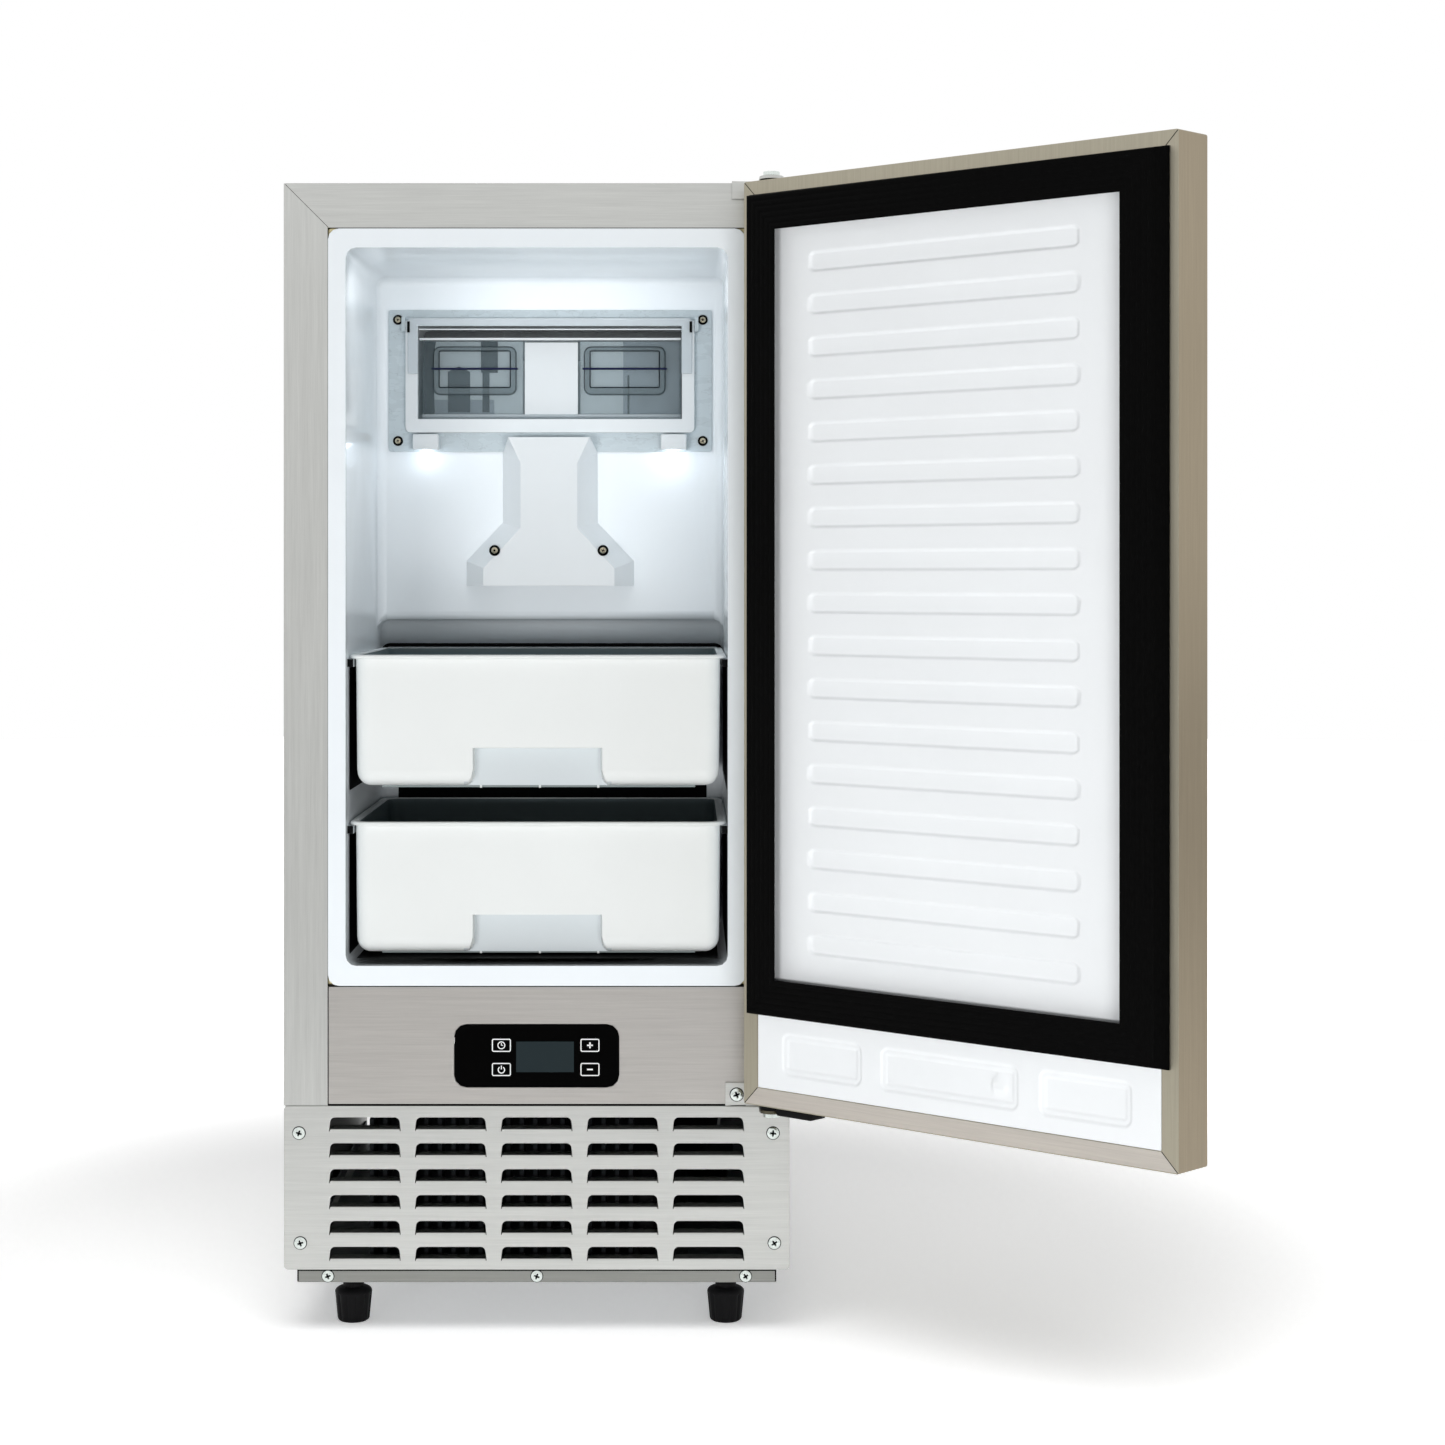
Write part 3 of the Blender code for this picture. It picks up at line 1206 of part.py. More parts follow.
def evaporator():
    """Barrel with refrigerant coil, auger, outlet head, gearbox, motor and the bracket that holds them."""
    axis_y = MODULE_Y + BARREL_SETBACK
    head_z = head_middle() - HEAD_BLOCK_HEIGHT / 2
    barrel_top = head_z + HEAD_SEAT
    barrel_low = barrel_top - BARREL_HEIGHT
    ring = [
        (BARREL_RADIUS, BARREL_HEIGHT), (BARREL_RADIUS, 0), (BARREL_BORE, 0), (BARREL_BORE, BARREL_HEIGHT),
    ]
    turned("evaporator_barrel", ring, (0, axis_y, barrel_low), ALUMINIUM, closed=True)
    coil(axis_y, barrel_low)
    auger(axis_y, barrel_low)
    box_front = BULKHEAD_Y
    head = box(
        "outlet_head",
        (-HEAD_WIDTH / 2 + FIT, box_front, head_z + FIT),
        (HEAD_WIDTH / 2 - FIT, axis_y + BARREL_RADIUS + HEAD_WALL, head_z + HEAD_BLOCK_HEIGHT - FIT),
        BLACK,
    )
    seat_radius = BARREL_RADIUS + FIT
    throat_top = HEAD_BLOCK_HEIGHT - HEAD_WALL
    throat = [
        (0, throat_top), (BARREL_BORE, throat_top), (BARREL_BORE, HEAD_SEAT + FIT),
        (seat_radius, HEAD_SEAT + FIT), (seat_radius, -OVERRUN), (0, -OVERRUN),
    ]
    spout_top = head_z + throat_top - HEAD_WALL
    spout_half = BARREL_BORE - HEAD_WALL
    spout = box(
        "head_spout",
        (-spout_half, box_front - OVERRUN, spout_top - HEAD_SPOUT),
        (spout_half, axis_y - HEAD_WALL, spout_top),
    )
    cut(head, turned("head_throat", throat, (0, axis_y, head_z)), spout)
    gear_top = barrel_low - FIT
    gear_low = gear_top - GEARBOX_HEIGHT
    half = GEARBOX_WIDTH / 2
    corners = (-half, axis_y - half, gear_low), (half, axis_y + half, gear_top)
    box("gearbox", *corners, ALUMINIUM, GEARBOX_RADIUS)
    shelf_z = gear_low - FIT
    bracket(axis_y, shelf_z)
    motor_top = shelf_z - BRACKET_SHEET - FIT
    profile = [
        (0, BRACKET_SHEET), (SPIGOT_RADIUS, BRACKET_SHEET), (SPIGOT_RADIUS, 0), (MOTOR_RADIUS, 0),
        (MOTOR_RADIUS, MOTOR_DOME - MOTOR_HEIGHT),
        (MOTOR_RADIUS - MOTOR_DOME, -MOTOR_HEIGHT), (0, -MOTOR_HEIGHT),
    ]
    turned("gear_motor", profile, (0, axis_y, motor_top), MACHINE_BLACK)


def bracket(axis_y, shelf_z):
    """An angle bracket on the bulkhead whose shelf carries the gearbox and takes the motor's spigot."""
    half = BRACKET_WIDTH / 2
    bm, corner = blank([
        (-half, MODULE_Y, shelf_z), (half, MODULE_Y, shelf_z),
        (half, MODULE_Y + BRACKET_REACH, shelf_z), (-half, MODULE_Y + BRACKET_REACH, shelf_z),
    ])
    drop = Vector((0, 0, -BRACKET_LEG))
    fold(bm, corner[0], corner[1], corner[1].co + drop, corner[0].co + drop)
    shelf = folded("module_bracket", bm, BRACKET_SHEET, (0, 0, 1), GALVANISED)
    radius = SPIGOT_RADIUS + FIT
    cut(shelf, drill("spigot_hole", radius, OVERRUN, (0, axis_y, shelf_z)))


def coil(axis_y, low):
    """The refrigerant tube wound up the barrel as one helix."""
    curve = bpy.data.curves.new("evaporator_coil", "CURVE")
    curve.dimensions = "3D"
    curve.bevel_depth = COIL_RADIUS
    curve.bevel_resolution = 1
    curve.use_fill_caps = True
    spline = curve.splines.new("POLY")
    per_turn = ROUND_STEPS // 2
    count = COIL_TURNS * per_turn + 1
    spline.points.add(count - 1)
    radius = (BARREL_RADIUS + FIT) / math.cos(math.pi / per_turn) + COIL_RADIUS
    start = low + COIL_MARGIN
    climb = BARREL_HEIGHT - HEAD_SEAT - 2 * COIL_MARGIN
    for i, point in enumerate(spline.points):
        angle = math.tau * i / per_turn
        point.co = (
            radius * math.cos(angle), axis_y + radius * math.sin(angle), start + climb * i / (count - 1), 1,
        )
    obj = bpy.data.objects.new("evaporator_coil", curve)
    PARTS.objects.link(obj)
    return as_mesh(obj, COPPER)


def auger(axis_y, low):
    """Core and flight as one skin: the radius swells to the flight where the helix passes."""
    tip = BARREL_BORE * math.cos(math.pi / ROUND_STEPS) - AUGER_CLEARANCE
    sides, per_pitch = ROUND_STEPS // 2, ROUND_STEPS // 3
    rows = int(BARREL_HEIGHT / AUGER_PITCH * per_pitch)
    rings = []
    for row in range(rows + 1):
        z = BARREL_HEIGHT * row / rows
        ring = []
        for side in range(sides):
            angle = math.tau * side / sides
            phase = (z / AUGER_PITCH - side / sides) % 1
            distance = min(phase, 1 - phase)
            swell = max(0.0, 1 - distance / AUGER_FLIGHT_SHARE)
            radius = AUGER_CORE + (tip - AUGER_CORE) * swell
            ring.append((radius * math.cos(angle), axis_y + radius * math.sin(angle), low + z))
        rings.append(ring)
    screw = loft("auger", rings, ZINC)
    carry(pivot("auger_axis", (0, axis_y, 0)), screw)


def tank_and_controls():
    """Water tank and electrical box on the bulkhead; the box fills the room beside the module's bracket."""
    low = DECK_Z + SHEET + TANK_LIFT
    x = -TANK_OFFSET
    tank = box(
        "water_tank", (x - TANK_WIDTH / 2, MODULE_Y, low),
        (x + TANK_WIDTH / 2, MODULE_Y + TANK_DEPTH, low + TANK_HEIGHT), WHITE, TANK_RADIUS,
    )
    low = DECK_Z + SHEET + BOX_LIFT
    bm = box_bmesh(
        (BOX_LEFT, MODULE_Y, low),
        (BOX_RIGHT, MODULE_Y + BOX_DEPTH, low + BOX_HEIGHT),
    )
    round_edges(bm, [edge for edge in bm.edges if along(edge, 1)], BOX_FLANGE / 2, SMALL_STEPS)
    from_bmesh("control_box", bm, GALVANISED)
    return tank


def condenser():
    """A block of fins on a spine, just behind the grille."""
    half = CONDENSER_WIDTH / 2
    pitch = (CONDENSER_WIDTH - FIN_THICKNESS) / (FIN_COUNT - 1)
    front = FRONT + GRILLE_RETURN + CONDENSER_GAP
    rear = front + CONDENSER_DEPTH
    spine = rear - CONDENSER_SPINE
    loop = [(CONDENSER_OFFSET - half, rear)]
    for fin in range(FIN_COUNT):
        x = CONDENSER_OFFSET - half + fin * pitch
        end = x + FIN_THICKNESS
        loop += [(x, spine if fin else front), (x, front), (end, front), (end, spine)]
    loop[1:3] = [(CONDENSER_OFFSET - half, front)]
    loop[-1] = (CONDENSER_OFFSET + half, rear)
    low = MACHINE_FLOOR + FIT
    outline("condenser", [loop], low, low + CONDENSER_HEIGHT, "Z", ALUMINIUM)
    return rear


def fan(shroud_y):
    """Shroud with the motor's strap, motor, and bladed hub on its own axis."""
    low = MACHINE_FLOOR + FIT
    centre_z = low + CONDENSER_HEIGHT / 2
    centre = (CONDENSER_OFFSET, centre_z)
    half = CONDENSER_WIDTH / 2
    loops = [
        rectangle((CONDENSER_OFFSET - half, low), (CONDENSER_OFFSET + half, low + CONDENSER_HEIGHT)),
        circle(FAN_RADIUS + FAN_TIP_GAP, centre),
    ]
    shroud = outline("fan_shroud", loops, shroud_y, shroud_y + SHROUD_DEPTH, "Y", BLACK)
    hub_y = shroud_y + SHROUD_DEPTH / 2
    motor_y = hub_y + FAN_DEPTH / 2 + FAN_CLEARANCE
    strap_y = motor_y + FAN_MOTOR_LENGTH + FIT
    strap_x = (CONDENSER_OFFSET - FAN_STRAP / 2, CONDENSER_OFFSET + FAN_STRAP / 2)
    tools = [box(
        "motor_strap", (strap_x[0], strap_y, low),
        (strap_x[1], strap_y + BRACKET_SHEET, low + CONDENSER_HEIGHT),
    )]
    for index, z in enumerate((low, low + CONDENSER_HEIGHT - BRACKET_SHEET)):
        tools.append(box(
            f"strap_leg_{index}", (strap_x[0], shroud_y + SHROUD_DEPTH / 2, z),
            (strap_x[1], strap_y + BRACKET_SHEET / 2, z + BRACKET_SHEET),
        ))
    join(shroud, *tools)
    motor = [
        (0, FAN_MOTOR_LENGTH), (FAN_MOTOR_RADIUS - FAN_CLEARANCE, FAN_MOTOR_LENGTH),
        (FAN_MOTOR_RADIUS, FAN_MOTOR_LENGTH - FAN_CLEARANCE), (FAN_MOTOR_RADIUS, 0), (0, 0),
    ]
    motor_at = (CONDENSER_OFFSET, motor_y + FAN_MOTOR_LENGTH, centre_z)
    turned("fan_motor", motor, motor_at, MACHINE_BLACK, facing="Y")
    top, foot = FAN_DEPTH / 2, FIT - FAN_DEPTH / 2 - FAN_CLEARANCE
    profile = [(0, top), (FAN_HUB, top), (FAN_HUB, foot), (0, foot)]
    hub_at = (CONDENSER_OFFSET, hub_y, centre_z)
    hub = turned("fan_blade", profile, hub_at, BLACK, facing="Y")
    tools = [fan_blade(index, hub_at) for index in range(FAN_BLADES)]
    join(hub, *tools)
    carry(pivot("fan_axis", hub_at), hub, *tools)


def fan_blade(index, centre):
    """One pitched blade, lofted from the hub to the tip."""
    turn = math.tau * index / FAN_BLADES
    rings = []
    for radius, chord in ((FAN_HUB - FAN_CLEARANCE, FAN_HUB), (FAN_RADIUS, FAN_RADIUS / 2)):
        depth = chord * FAN_PITCH_SHARE
        ring = []
        for across, back in ((-1, -1), (1, 1)):
            for side in ((-1, 1) if across < 0 else (1, -1)):
                x = across * chord / 2
                y = back * depth / 2 + side * FAN_BLADE_THICKNESS / 2
                ring.append((
                    centre[0] + radius * math.cos(turn) - x * math.sin(turn),
                    centre[1] + y,
                    centre[2] + radius * math.sin(turn) + x * math.cos(turn),
                ))
        rings.append(ring)
    return loft(f"blade_{index}", rings)


def compressor():
    """Hermetic compressor: an oval shell with a welded seam, on a base plate with feet."""
    centre_y = BACK - COMPRESSOR_REAR_GAP
    plate_z = MACHINE_FLOOR + FIT + COMPRESSOR_FOOT_HEIGHT
    half_x, half_y = COMPRESSOR_BASE_LENGTH / 2, COMPRESSOR_BASE_WIDTH / 2
    plate = rounded(
        COMPRESSOR_BASE_LENGTH, COMPRESSOR_BASE_WIDTH, COMPRESSOR_FOOT_INSET, (COMPRESSOR_X, centre_y)
    )
    base = outline(
        "compressor_base", [plate], plate_z, plate_z + COMPRESSOR_BASE_SHEET, "Z", MACHINE_BLACK
    )
    foot = [
        (0, COMPRESSOR_BASE_SHEET / 2), (COMPRESSOR_FOOT_RADIUS, COMPRESSOR_BASE_SHEET / 2),
        (COMPRESSOR_FOOT_RADIUS, -COMPRESSOR_FOOT_HEIGHT), (0, -COMPRESSOR_FOOT_HEIGHT),
    ]
    for side_x in (-1, 1):
        for side_y in (-1, 1):
            x = COMPRESSOR_X + side_x * (half_x - COMPRESSOR_FOOT_INSET)
            y = centre_y + side_y * (half_y - COMPRESSOR_FOOT_INSET)
            join(base, turned(f"grommet_{side_x}_{side_y}", foot, (x, y, plate_z), steps=ROUND_STEPS // 2))
    shell_z = plate_z + COMPRESSOR_BASE_SHEET + FIT
    share = COMPRESSOR_WIDTH / COMPRESSOR_LENGTH
    seam = COMPRESSOR_HEIGHT / 2
    radius = COMPRESSOR_LENGTH / 2
    belly = arc((radius / 2, seam / 2), radius / 2, COMPRESSOR_BELLY_DEGREES, 360, CORNER_STEPS + 1)
    profile = [(radius / 2, 0)] + [point for point in belly if point[1] >= 0]
    weld_low, weld_high = seam - COMPRESSOR_SEAM_HEIGHT / 2, seam + COMPRESSOR_SEAM_HEIGHT / 2
    profile += [
        (radius, weld_low), (radius + COMPRESSOR_SEAM, weld_low),
        (radius + COMPRESSOR_SEAM, weld_high), (radius, weld_high),
    ]
    shoulder = seam + seam / 3
    dome = arc((0, 0), 1, 0, COMPRESSOR_DOME_DEGREES, DOME_STEPS)
    profile += [
        (radius * x ** COMPRESSOR_DOME_POWER, shoulder + z * (COMPRESSOR_HEIGHT - shoulder)) for x, z in dome
    ]
    rings = [
        [
            (COMPRESSOR_X + r * math.cos(a), centre_y + share * r * math.sin(a), shell_z + z)
            for a in (math.tau * i / ROUND_STEPS for i in range(ROUND_STEPS))
        ]
        for r, z in profile
    ]
    loft("compressor", rings, MACHINE_BLACK)


def drier(condenser_rear):
    """The filter drier, a tapered copper can beside the condenser."""
    x = CONDENSER_OFFSET + CONDENSER_WIDTH / 2 + FIT + DRIER_RADIUS
    y = condenser_rear - CONDENSER_DEPTH / 2
    z = MACHINE_FLOOR + FIT
    neck = DRIER_RADIUS
    profile = [
        (0, DRIER_LENGTH), (DRIER_NECK, DRIER_LENGTH), (DRIER_NECK, DRIER_LENGTH - neck),
        (DRIER_RADIUS, DRIER_LENGTH - 2 * neck), (DRIER_RADIUS, 2 * neck),
        (DRIER_NECK, neck), (DRIER_NECK, 0), (0, 0),
    ]
    turned("filter_drier", profile, (x, y, z), COPPER, steps=ROUND_STEPS // 2)


def rear_fittings():
    """Water inlet valve, drain spigot and cord gland through the service panel."""
    z = PAN_Z + PAN_FLANGE + FITTING_RISE
    inside = SHEET + FIT
    valve_end = -inside - VALVE_BODY_LENGTH
    valve = [
        (0, VALVE_THREAD_LENGTH), (VALVE_THREAD_RADIUS, VALVE_THREAD_LENGTH), (VALVE_THREAD_RADIUS, -inside),
        (VALVE_BODY_RADIUS, -inside), (VALVE_BODY_RADIUS, valve_end), (0, valve_end),
    ]
    rim = FIT + FITTING_FLANGE_THICKNESS
    drain = [
        (DRAIN_RADIUS, DRAIN_LENGTH), (DRAIN_RADIUS, rim), (DRAIN_FLANGE, rim), (DRAIN_FLANGE, FIT),
        (DRAIN_RADIUS, FIT), (DRAIN_RADIUS, -DRAIN_LENGTH),
        (DRAIN_BORE, -DRAIN_LENGTH), (DRAIN_BORE, DRAIN_LENGTH),
    ]
    gland = [
        (0, GLAND_LENGTH), (GLAND_RADIUS - FIT, GLAND_LENGTH), (GLAND_RADIUS, rim), (GLAND_FLANGE, rim),
        (GLAND_FLANGE, FIT), (GLAND_RADIUS, FIT), (GLAND_RADIUS, -GLAND_LENGTH), (0, -GLAND_LENGTH),
    ]
    for name, profile, offset, material, closed in (
        ("inlet_valve", valve, VALVE_OFFSET, BRASS, False),
        ("drain_outlet", drain, DRAIN_OFFSET, WHITE, True),
        ("cord_gland", gland, GLAND_OFFSET, BLACK, False),
    ):
        piece = turned(name, profile, (offset, BACK, z), material, facing="Y", closed=closed)
        piece.rotation_euler = (-math.pi / 2, 0, 0)


def foot_places():
    x = HALF_WIDTH - FOOT_INSET_X
    front, rear = FRONT + FOOT_INSET_Y, BACK - FOOT_INSET_Y
    return [(-x, front), (x, front), (-x, rear), (x, rear)]


def levelling_feet():
    """Four fluted feet, each with a neck that seats under the pan and a stud up through it."""
    names = ("foot_front_left", "foot_front_right", "foot_rear_left", "foot_rear_right")
    for (x, y), name in zip(foot_places(), names):
        knob_top = PAN_Z - FIT - FOOT_NECK_HEIGHT
        levels = [
            (STUD_RADIUS, STUD_RADIUS, PAN_Z + STUD_LENGTH),
            (STUD_RADIUS, STUD_RADIUS, PAN_Z - FIT),
            (FOOT_NECK_RADIUS, FOOT_NECK_RADIUS, PAN_Z - FIT),
            (FOOT_NECK_RADIUS, FOOT_NECK_RADIUS, knob_top),
            (FOOT_SHOULDER_RADIUS, FOOT_SHOULDER_RADIUS - FOOT_FLUTE, knob_top - FOOT_SHOULDER_DROP),
            (FOOT_BOTTOM_RADIUS, FOOT_BOTTOM_RADIUS - FOOT_FLUTE, FLOOR_Z + FOOT_CHAMFER),
            (FOOT_BOTTOM_RADIUS - FOOT_CHAMFER, FOOT_BOTTOM_RADIUS - FOOT_CHAMFER, FLOOR_Z),
        ]
        rings = []
        for crest, root, z in levels:
            points = []
            for step in range(2 * FOOT_FLUTES):
                angle = math.pi * step / FOOT_FLUTES
                radius = root if step % 2 else crest
                points.append((x + radius * math.cos(angle), y + radius * math.sin(angle), z))
            rings.append(points)
        carry(pivot(f"{name}_screw", (x, y, PAN_Z)), loft(name, rings, BLACK))


def door():
    """Folded skin, insulation, embossed liner, gasket, bushes and stop, built shut and then turned."""
    middle = (0, DOOR_Z + DOOR_HEIGHT / 2)
    edge = rounded(DOOR_WIDTH, DOOR_HEIGHT, DOOR_CORNER, middle, SMALL_STEPS)
    lip_width, lip_height = DOOR_WIDTH - 2 * DOOR_RETURN, DOOR_HEIGHT - 2 * DOOR_RETURN
    lip = rounded(lip_width, lip_height, DOOR_CORNER, middle, SMALL_STEPS)
    bm = bmesh.new()
    rows = [
        [bm.verts.new(point) for point in at_depth(loop, y)]
        for loop, y in ((edge, DOOR_OUTER_Y), (edge, DOOR_INNER_Y), (lip, DOOR_INNER_Y))
    ]
    bm.faces.new(rows[0])
    for outer, inner in zip(rows, rows[1:]):
        for i, vertex in enumerate(outer):
            j = (i + 1) % len(outer)
            bm.faces.new((vertex, outer[j], inner[j], inner[i]))
    skin = folded("door_skin", bm, DOOR_SHEET, (0, -1, 0), STAINLESS)
    inset = DOOR_SHEET + FIT
    foam_back = DOOR_INNER_Y - DOOR_LINER - 2 * FIT
    foam = outline(
        "door_foam",
        [rounded(DOOR_WIDTH - 2 * inset, DOOR_HEIGHT - 2 * inset, DOOR_CORNER, middle, SMALL_STEPS)],
        DOOR_OUTER_Y + inset, foam_back, "Y", FOAM,
    )
    liner = door_liner(middle)
    gasket = door_gasket()
    bushes = [
        door_bush("door_bush_top", DOOR_TOP, 1, HINGE_TOP_LIFT),
        door_bush("door_bush_bottom", DOOR_Z, -1, HINGE_BOTTOM_DROP),
    ]
    radius = bore(PIN_RADIUS, PIN_FACETS) + BUSH_WALL + FIT
    reach = BUSH_DEPTH + FIT
    tools = [
        drill(f"bush_hole_{index}", radius, reach, (PIVOT_X, PIVOT_Y, z))
        for index, z in enumerate((DOOR_Z, DOOR_TOP))
    ]
    cut(skin, *tools)
    cut(foam, *tools)
    start = DOOR_HALF - STOP_START
    stop_y = DOOR_INNER_Y - STOP_SETBACK
    stop = box(
        "door_stop",
        (start - STOP_LENGTH, stop_y - STOP_DEPTH, DOOR_Z - FIT - STOP_HEIGHT), (start, stop_y, DOOR_Z - FIT),
        BLACK, STOP_RADIUS,
    )
    empty = pivot("door_hinge", (PIVOT_X, PIVOT_Y, 0), DOOR_OPEN_DEGREES)
    carry(empty, skin, foam, liner, gasket, *bushes, *tools, stop)


def door_liner(middle):
    """The door's white inner face, embossed with slots and with three pads below the gasket."""
    width, height = DOOR_WIDTH - 2 * DOOR_RETURN - 2 * FIT, DOOR_HEIGHT - 2 * DOOR_RETURN - 2 * FIT
    rim_loop = rounded(width, height, DOOR_LINER_RADIUS, middle)
    length = DOOR_WIDTH - 2 * SLOT_MARGIN
    first_z = DOOR_Z + SLOT_FIRST_Z
    slots = [
        rounded(length, SLOT_HEIGHT, SLOT_HEIGHT / 2 - FIT, (SLOT_OFFSET, first_z + i * SLOT_PITCH))
        for i in range(SLOT_COUNT)
    ]
    inner, outer = KICK_MIDDLE_WIDTH / 2 + KICK_GAP, DOOR_HALF - KICK_MARGIN
    for low, high in ((-outer, -inner), (-KICK_MIDDLE_WIDTH / 2, KICK_MIDDLE_WIDTH / 2), (inner, outer)):
        slots.append(rounded(high - low, KICK_HEIGHT, KICK_RADIUS, ((low + high) / 2, DOOR_Z + KICK_RISE)))
    bm = filled([rim_loop] + slots, DOOR_INNER_Y - FIT)
    reach = max(x for x, z in rim_loop) - DOOR_LINER_RADIUS
    rise = DOOR_HEIGHT / 2 - DOOR_RETURN - DOOR_LINER_RADIUS
    border = [edge for edge in bm.edges if edge.is_boundary]
    rim = [
        edge for edge in border
        if all(abs(v.co.x) > reach - FIT or abs(v.co.z - middle[1]) > rise - FIT for v in edge.verts)
    ]
    pads = [edge for edge in border if edge not in rim]
    for edges, depth in ((rim, DOOR_LINER - FIT), (pads, EMBOSS_DEPTH)):
        wall = bmesh.ops.extrude_edge_only(bm, edges=edges)["geom"]
        moved = [item for item in wall if isinstance(item, bmesh.types.BMVert)]
        bmesh.ops.translate(bm, vec=(0, -depth, 0), verts=moved)
        floor = [item for item in wall if isinstance(item, bmesh.types.BMEdge)]
        bmesh.ops.edgeloop_fill(bm, edges=floor)
    bmesh.ops.recalc_face_normals(bm, faces=bm.faces)
    return from_bmesh("door_liner", bm, WHITE)


def door_gasket():
    """The magnetic gasket: a band on an undercut foot, with a lip at its sides, round a rounded rectangle."""
    face, crest = DOOR_INNER_Y + FIT, DOOR_INNER_Y + GASKET_PROUD
    rings = []
    for side, end, y in (
        (GASKET_LIP, GASKET_LIP_END, face), (GASKET_SHOULDER, GASKET_SHOULDER, crest),
        (GASKET_INNER, GASKET_INNER, crest), (GASKET_FOOT, GASKET_FOOT, face),
    ):
        low, high = DOOR_Z + GASKET_BOTTOM_RISE + end, DOOR_TOP - end
        loop = rounded(DOOR_WIDTH - 2 * side, high - low, GASKET_RADIUS, (0, (low + high) / 2))
        rings.append(at_depth(loop, y))
    return loft("door_gasket", rings, RUBBER, cyclic=True)


def door_bush(name, face_z, side, stand_off):
    """A flanged bush in the door's end, bored for the hinge pin."""
    inner = bore(PIN_RADIUS, PIN_FACETS)
    outer = inner + BUSH_WALL
    flange = stand_off - 2 * FIT
    profile = [
        (BUSH_FLANGE, flange + FIT), (BUSH_FLANGE, FIT), (outer, FIT), (outer, -BUSH_DEPTH),
        (inner, -BUSH_DEPTH), (inner, flange + FIT),
    ]
    if side < 0:
        profile = [(radius, -height) for radius, height in reversed(profile)]
    return turned(name, profile, (PIVOT_X, PIVOT_Y, face_z), BLACK, closed=True, steps=PIN_FACETS)


def hinge(name, strap_face, side, width, leg):
    """An angle bracket: a leg on the cabinet front and a round-ended strap that carries the pin."""
    right = PIVOT_X + HINGE_STRAP_RADIUS
    left = right - width
    y = FRONT - FIT
    strap_left = PIVOT_X - HINGE_STRAP_RADIUS
    far = strap_face - side * leg
    bm, corner = blank([
        (left, y, strap_face), (strap_left, y, strap_face), (right, y, strap_face),
        (right, y, far), (left, y, far),
    ])
    tip = arc((PIVOT_X, PIVOT_Y), HINGE_STRAP_RADIUS, 360, 180, 2 * CORNER_STEPS)
    fold(bm, corner[1], corner[2], *at_height(tip, strap_face))
    plate = folded(name, bm, HINGE_SHEET, (0, 1, 0), STAINLESS)
    radius = PIN_RADIUS + FIT / 2
    reach = HINGE_SHEET + OVERRUN
    cut(plate, drill(f"{name}_hole", radius, reach, (PIVOT_X, PIVOT_Y, strap_face)))
    profile = [
        (0, PIN_HEAD + FIT), (PIN_HEAD_RADIUS, PIN_HEAD + FIT), (PIN_HEAD_RADIUS, FIT), (PIN_RADIUS, FIT),
        (PIN_RADIUS, -HINGE_SHEET - PIN_GRIP), (0, -HINGE_SHEET - PIN_GRIP),
    ]
    if side < 0:
        profile = [(radius, -height) for radius, height in reversed(profile)]
    turned(name.replace("bracket", "pin"), profile, (PIVOT_X, PIVOT_Y, strap_face), ZINC, steps=PIN_FACETS)


def hinges():
    top_face = DOOR_TOP + HINGE_TOP_LIFT + HINGE_SHEET
    hinge("hinge_bracket_top", top_face, 1, HINGE_TOP_WIDTH, HINGE_TOP_LEG)
    bottom_face = DOOR_Z - HINGE_BOTTOM_DROP - HINGE_SHEET
    hinge("hinge_bracket_bottom", bottom_face, -1, HINGE_BOTTOM_WIDTH, HINGE_BOTTOM_LEG)


def main():
    side_panel(-1, "side_panel_left")
    side_panel(1, "side_panel_right")
    top_panel()
    back_panels()
    base_pan()
    base_rail()
    front_grille()
    control_fascia()
    inner_liner()
    cabinet_foam()
    bulkhead_and_deck()
    chute_front()
    ice_flap()
    sensor_cover()
    ice_bin("lower_bin", 0)
    ice_bin("upper_bin", BIN_PITCH)
    evaporator()
    tank_and_controls()
    condenser_rear = condenser()
    fan(condenser_rear + FIT)
    compressor()
    drier(condenser_rear)
    rear_fittings()
    levelling_feet()
    door()
    hinges()


main()
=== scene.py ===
"""Finishes, fine pieces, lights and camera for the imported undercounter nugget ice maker.

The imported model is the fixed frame: metres, +Z up, front towards -Y, door standing open at rest.
Copies of its nodes get soft edges and finishes, and finer pieces stand for some of them.
"""

import json
import math

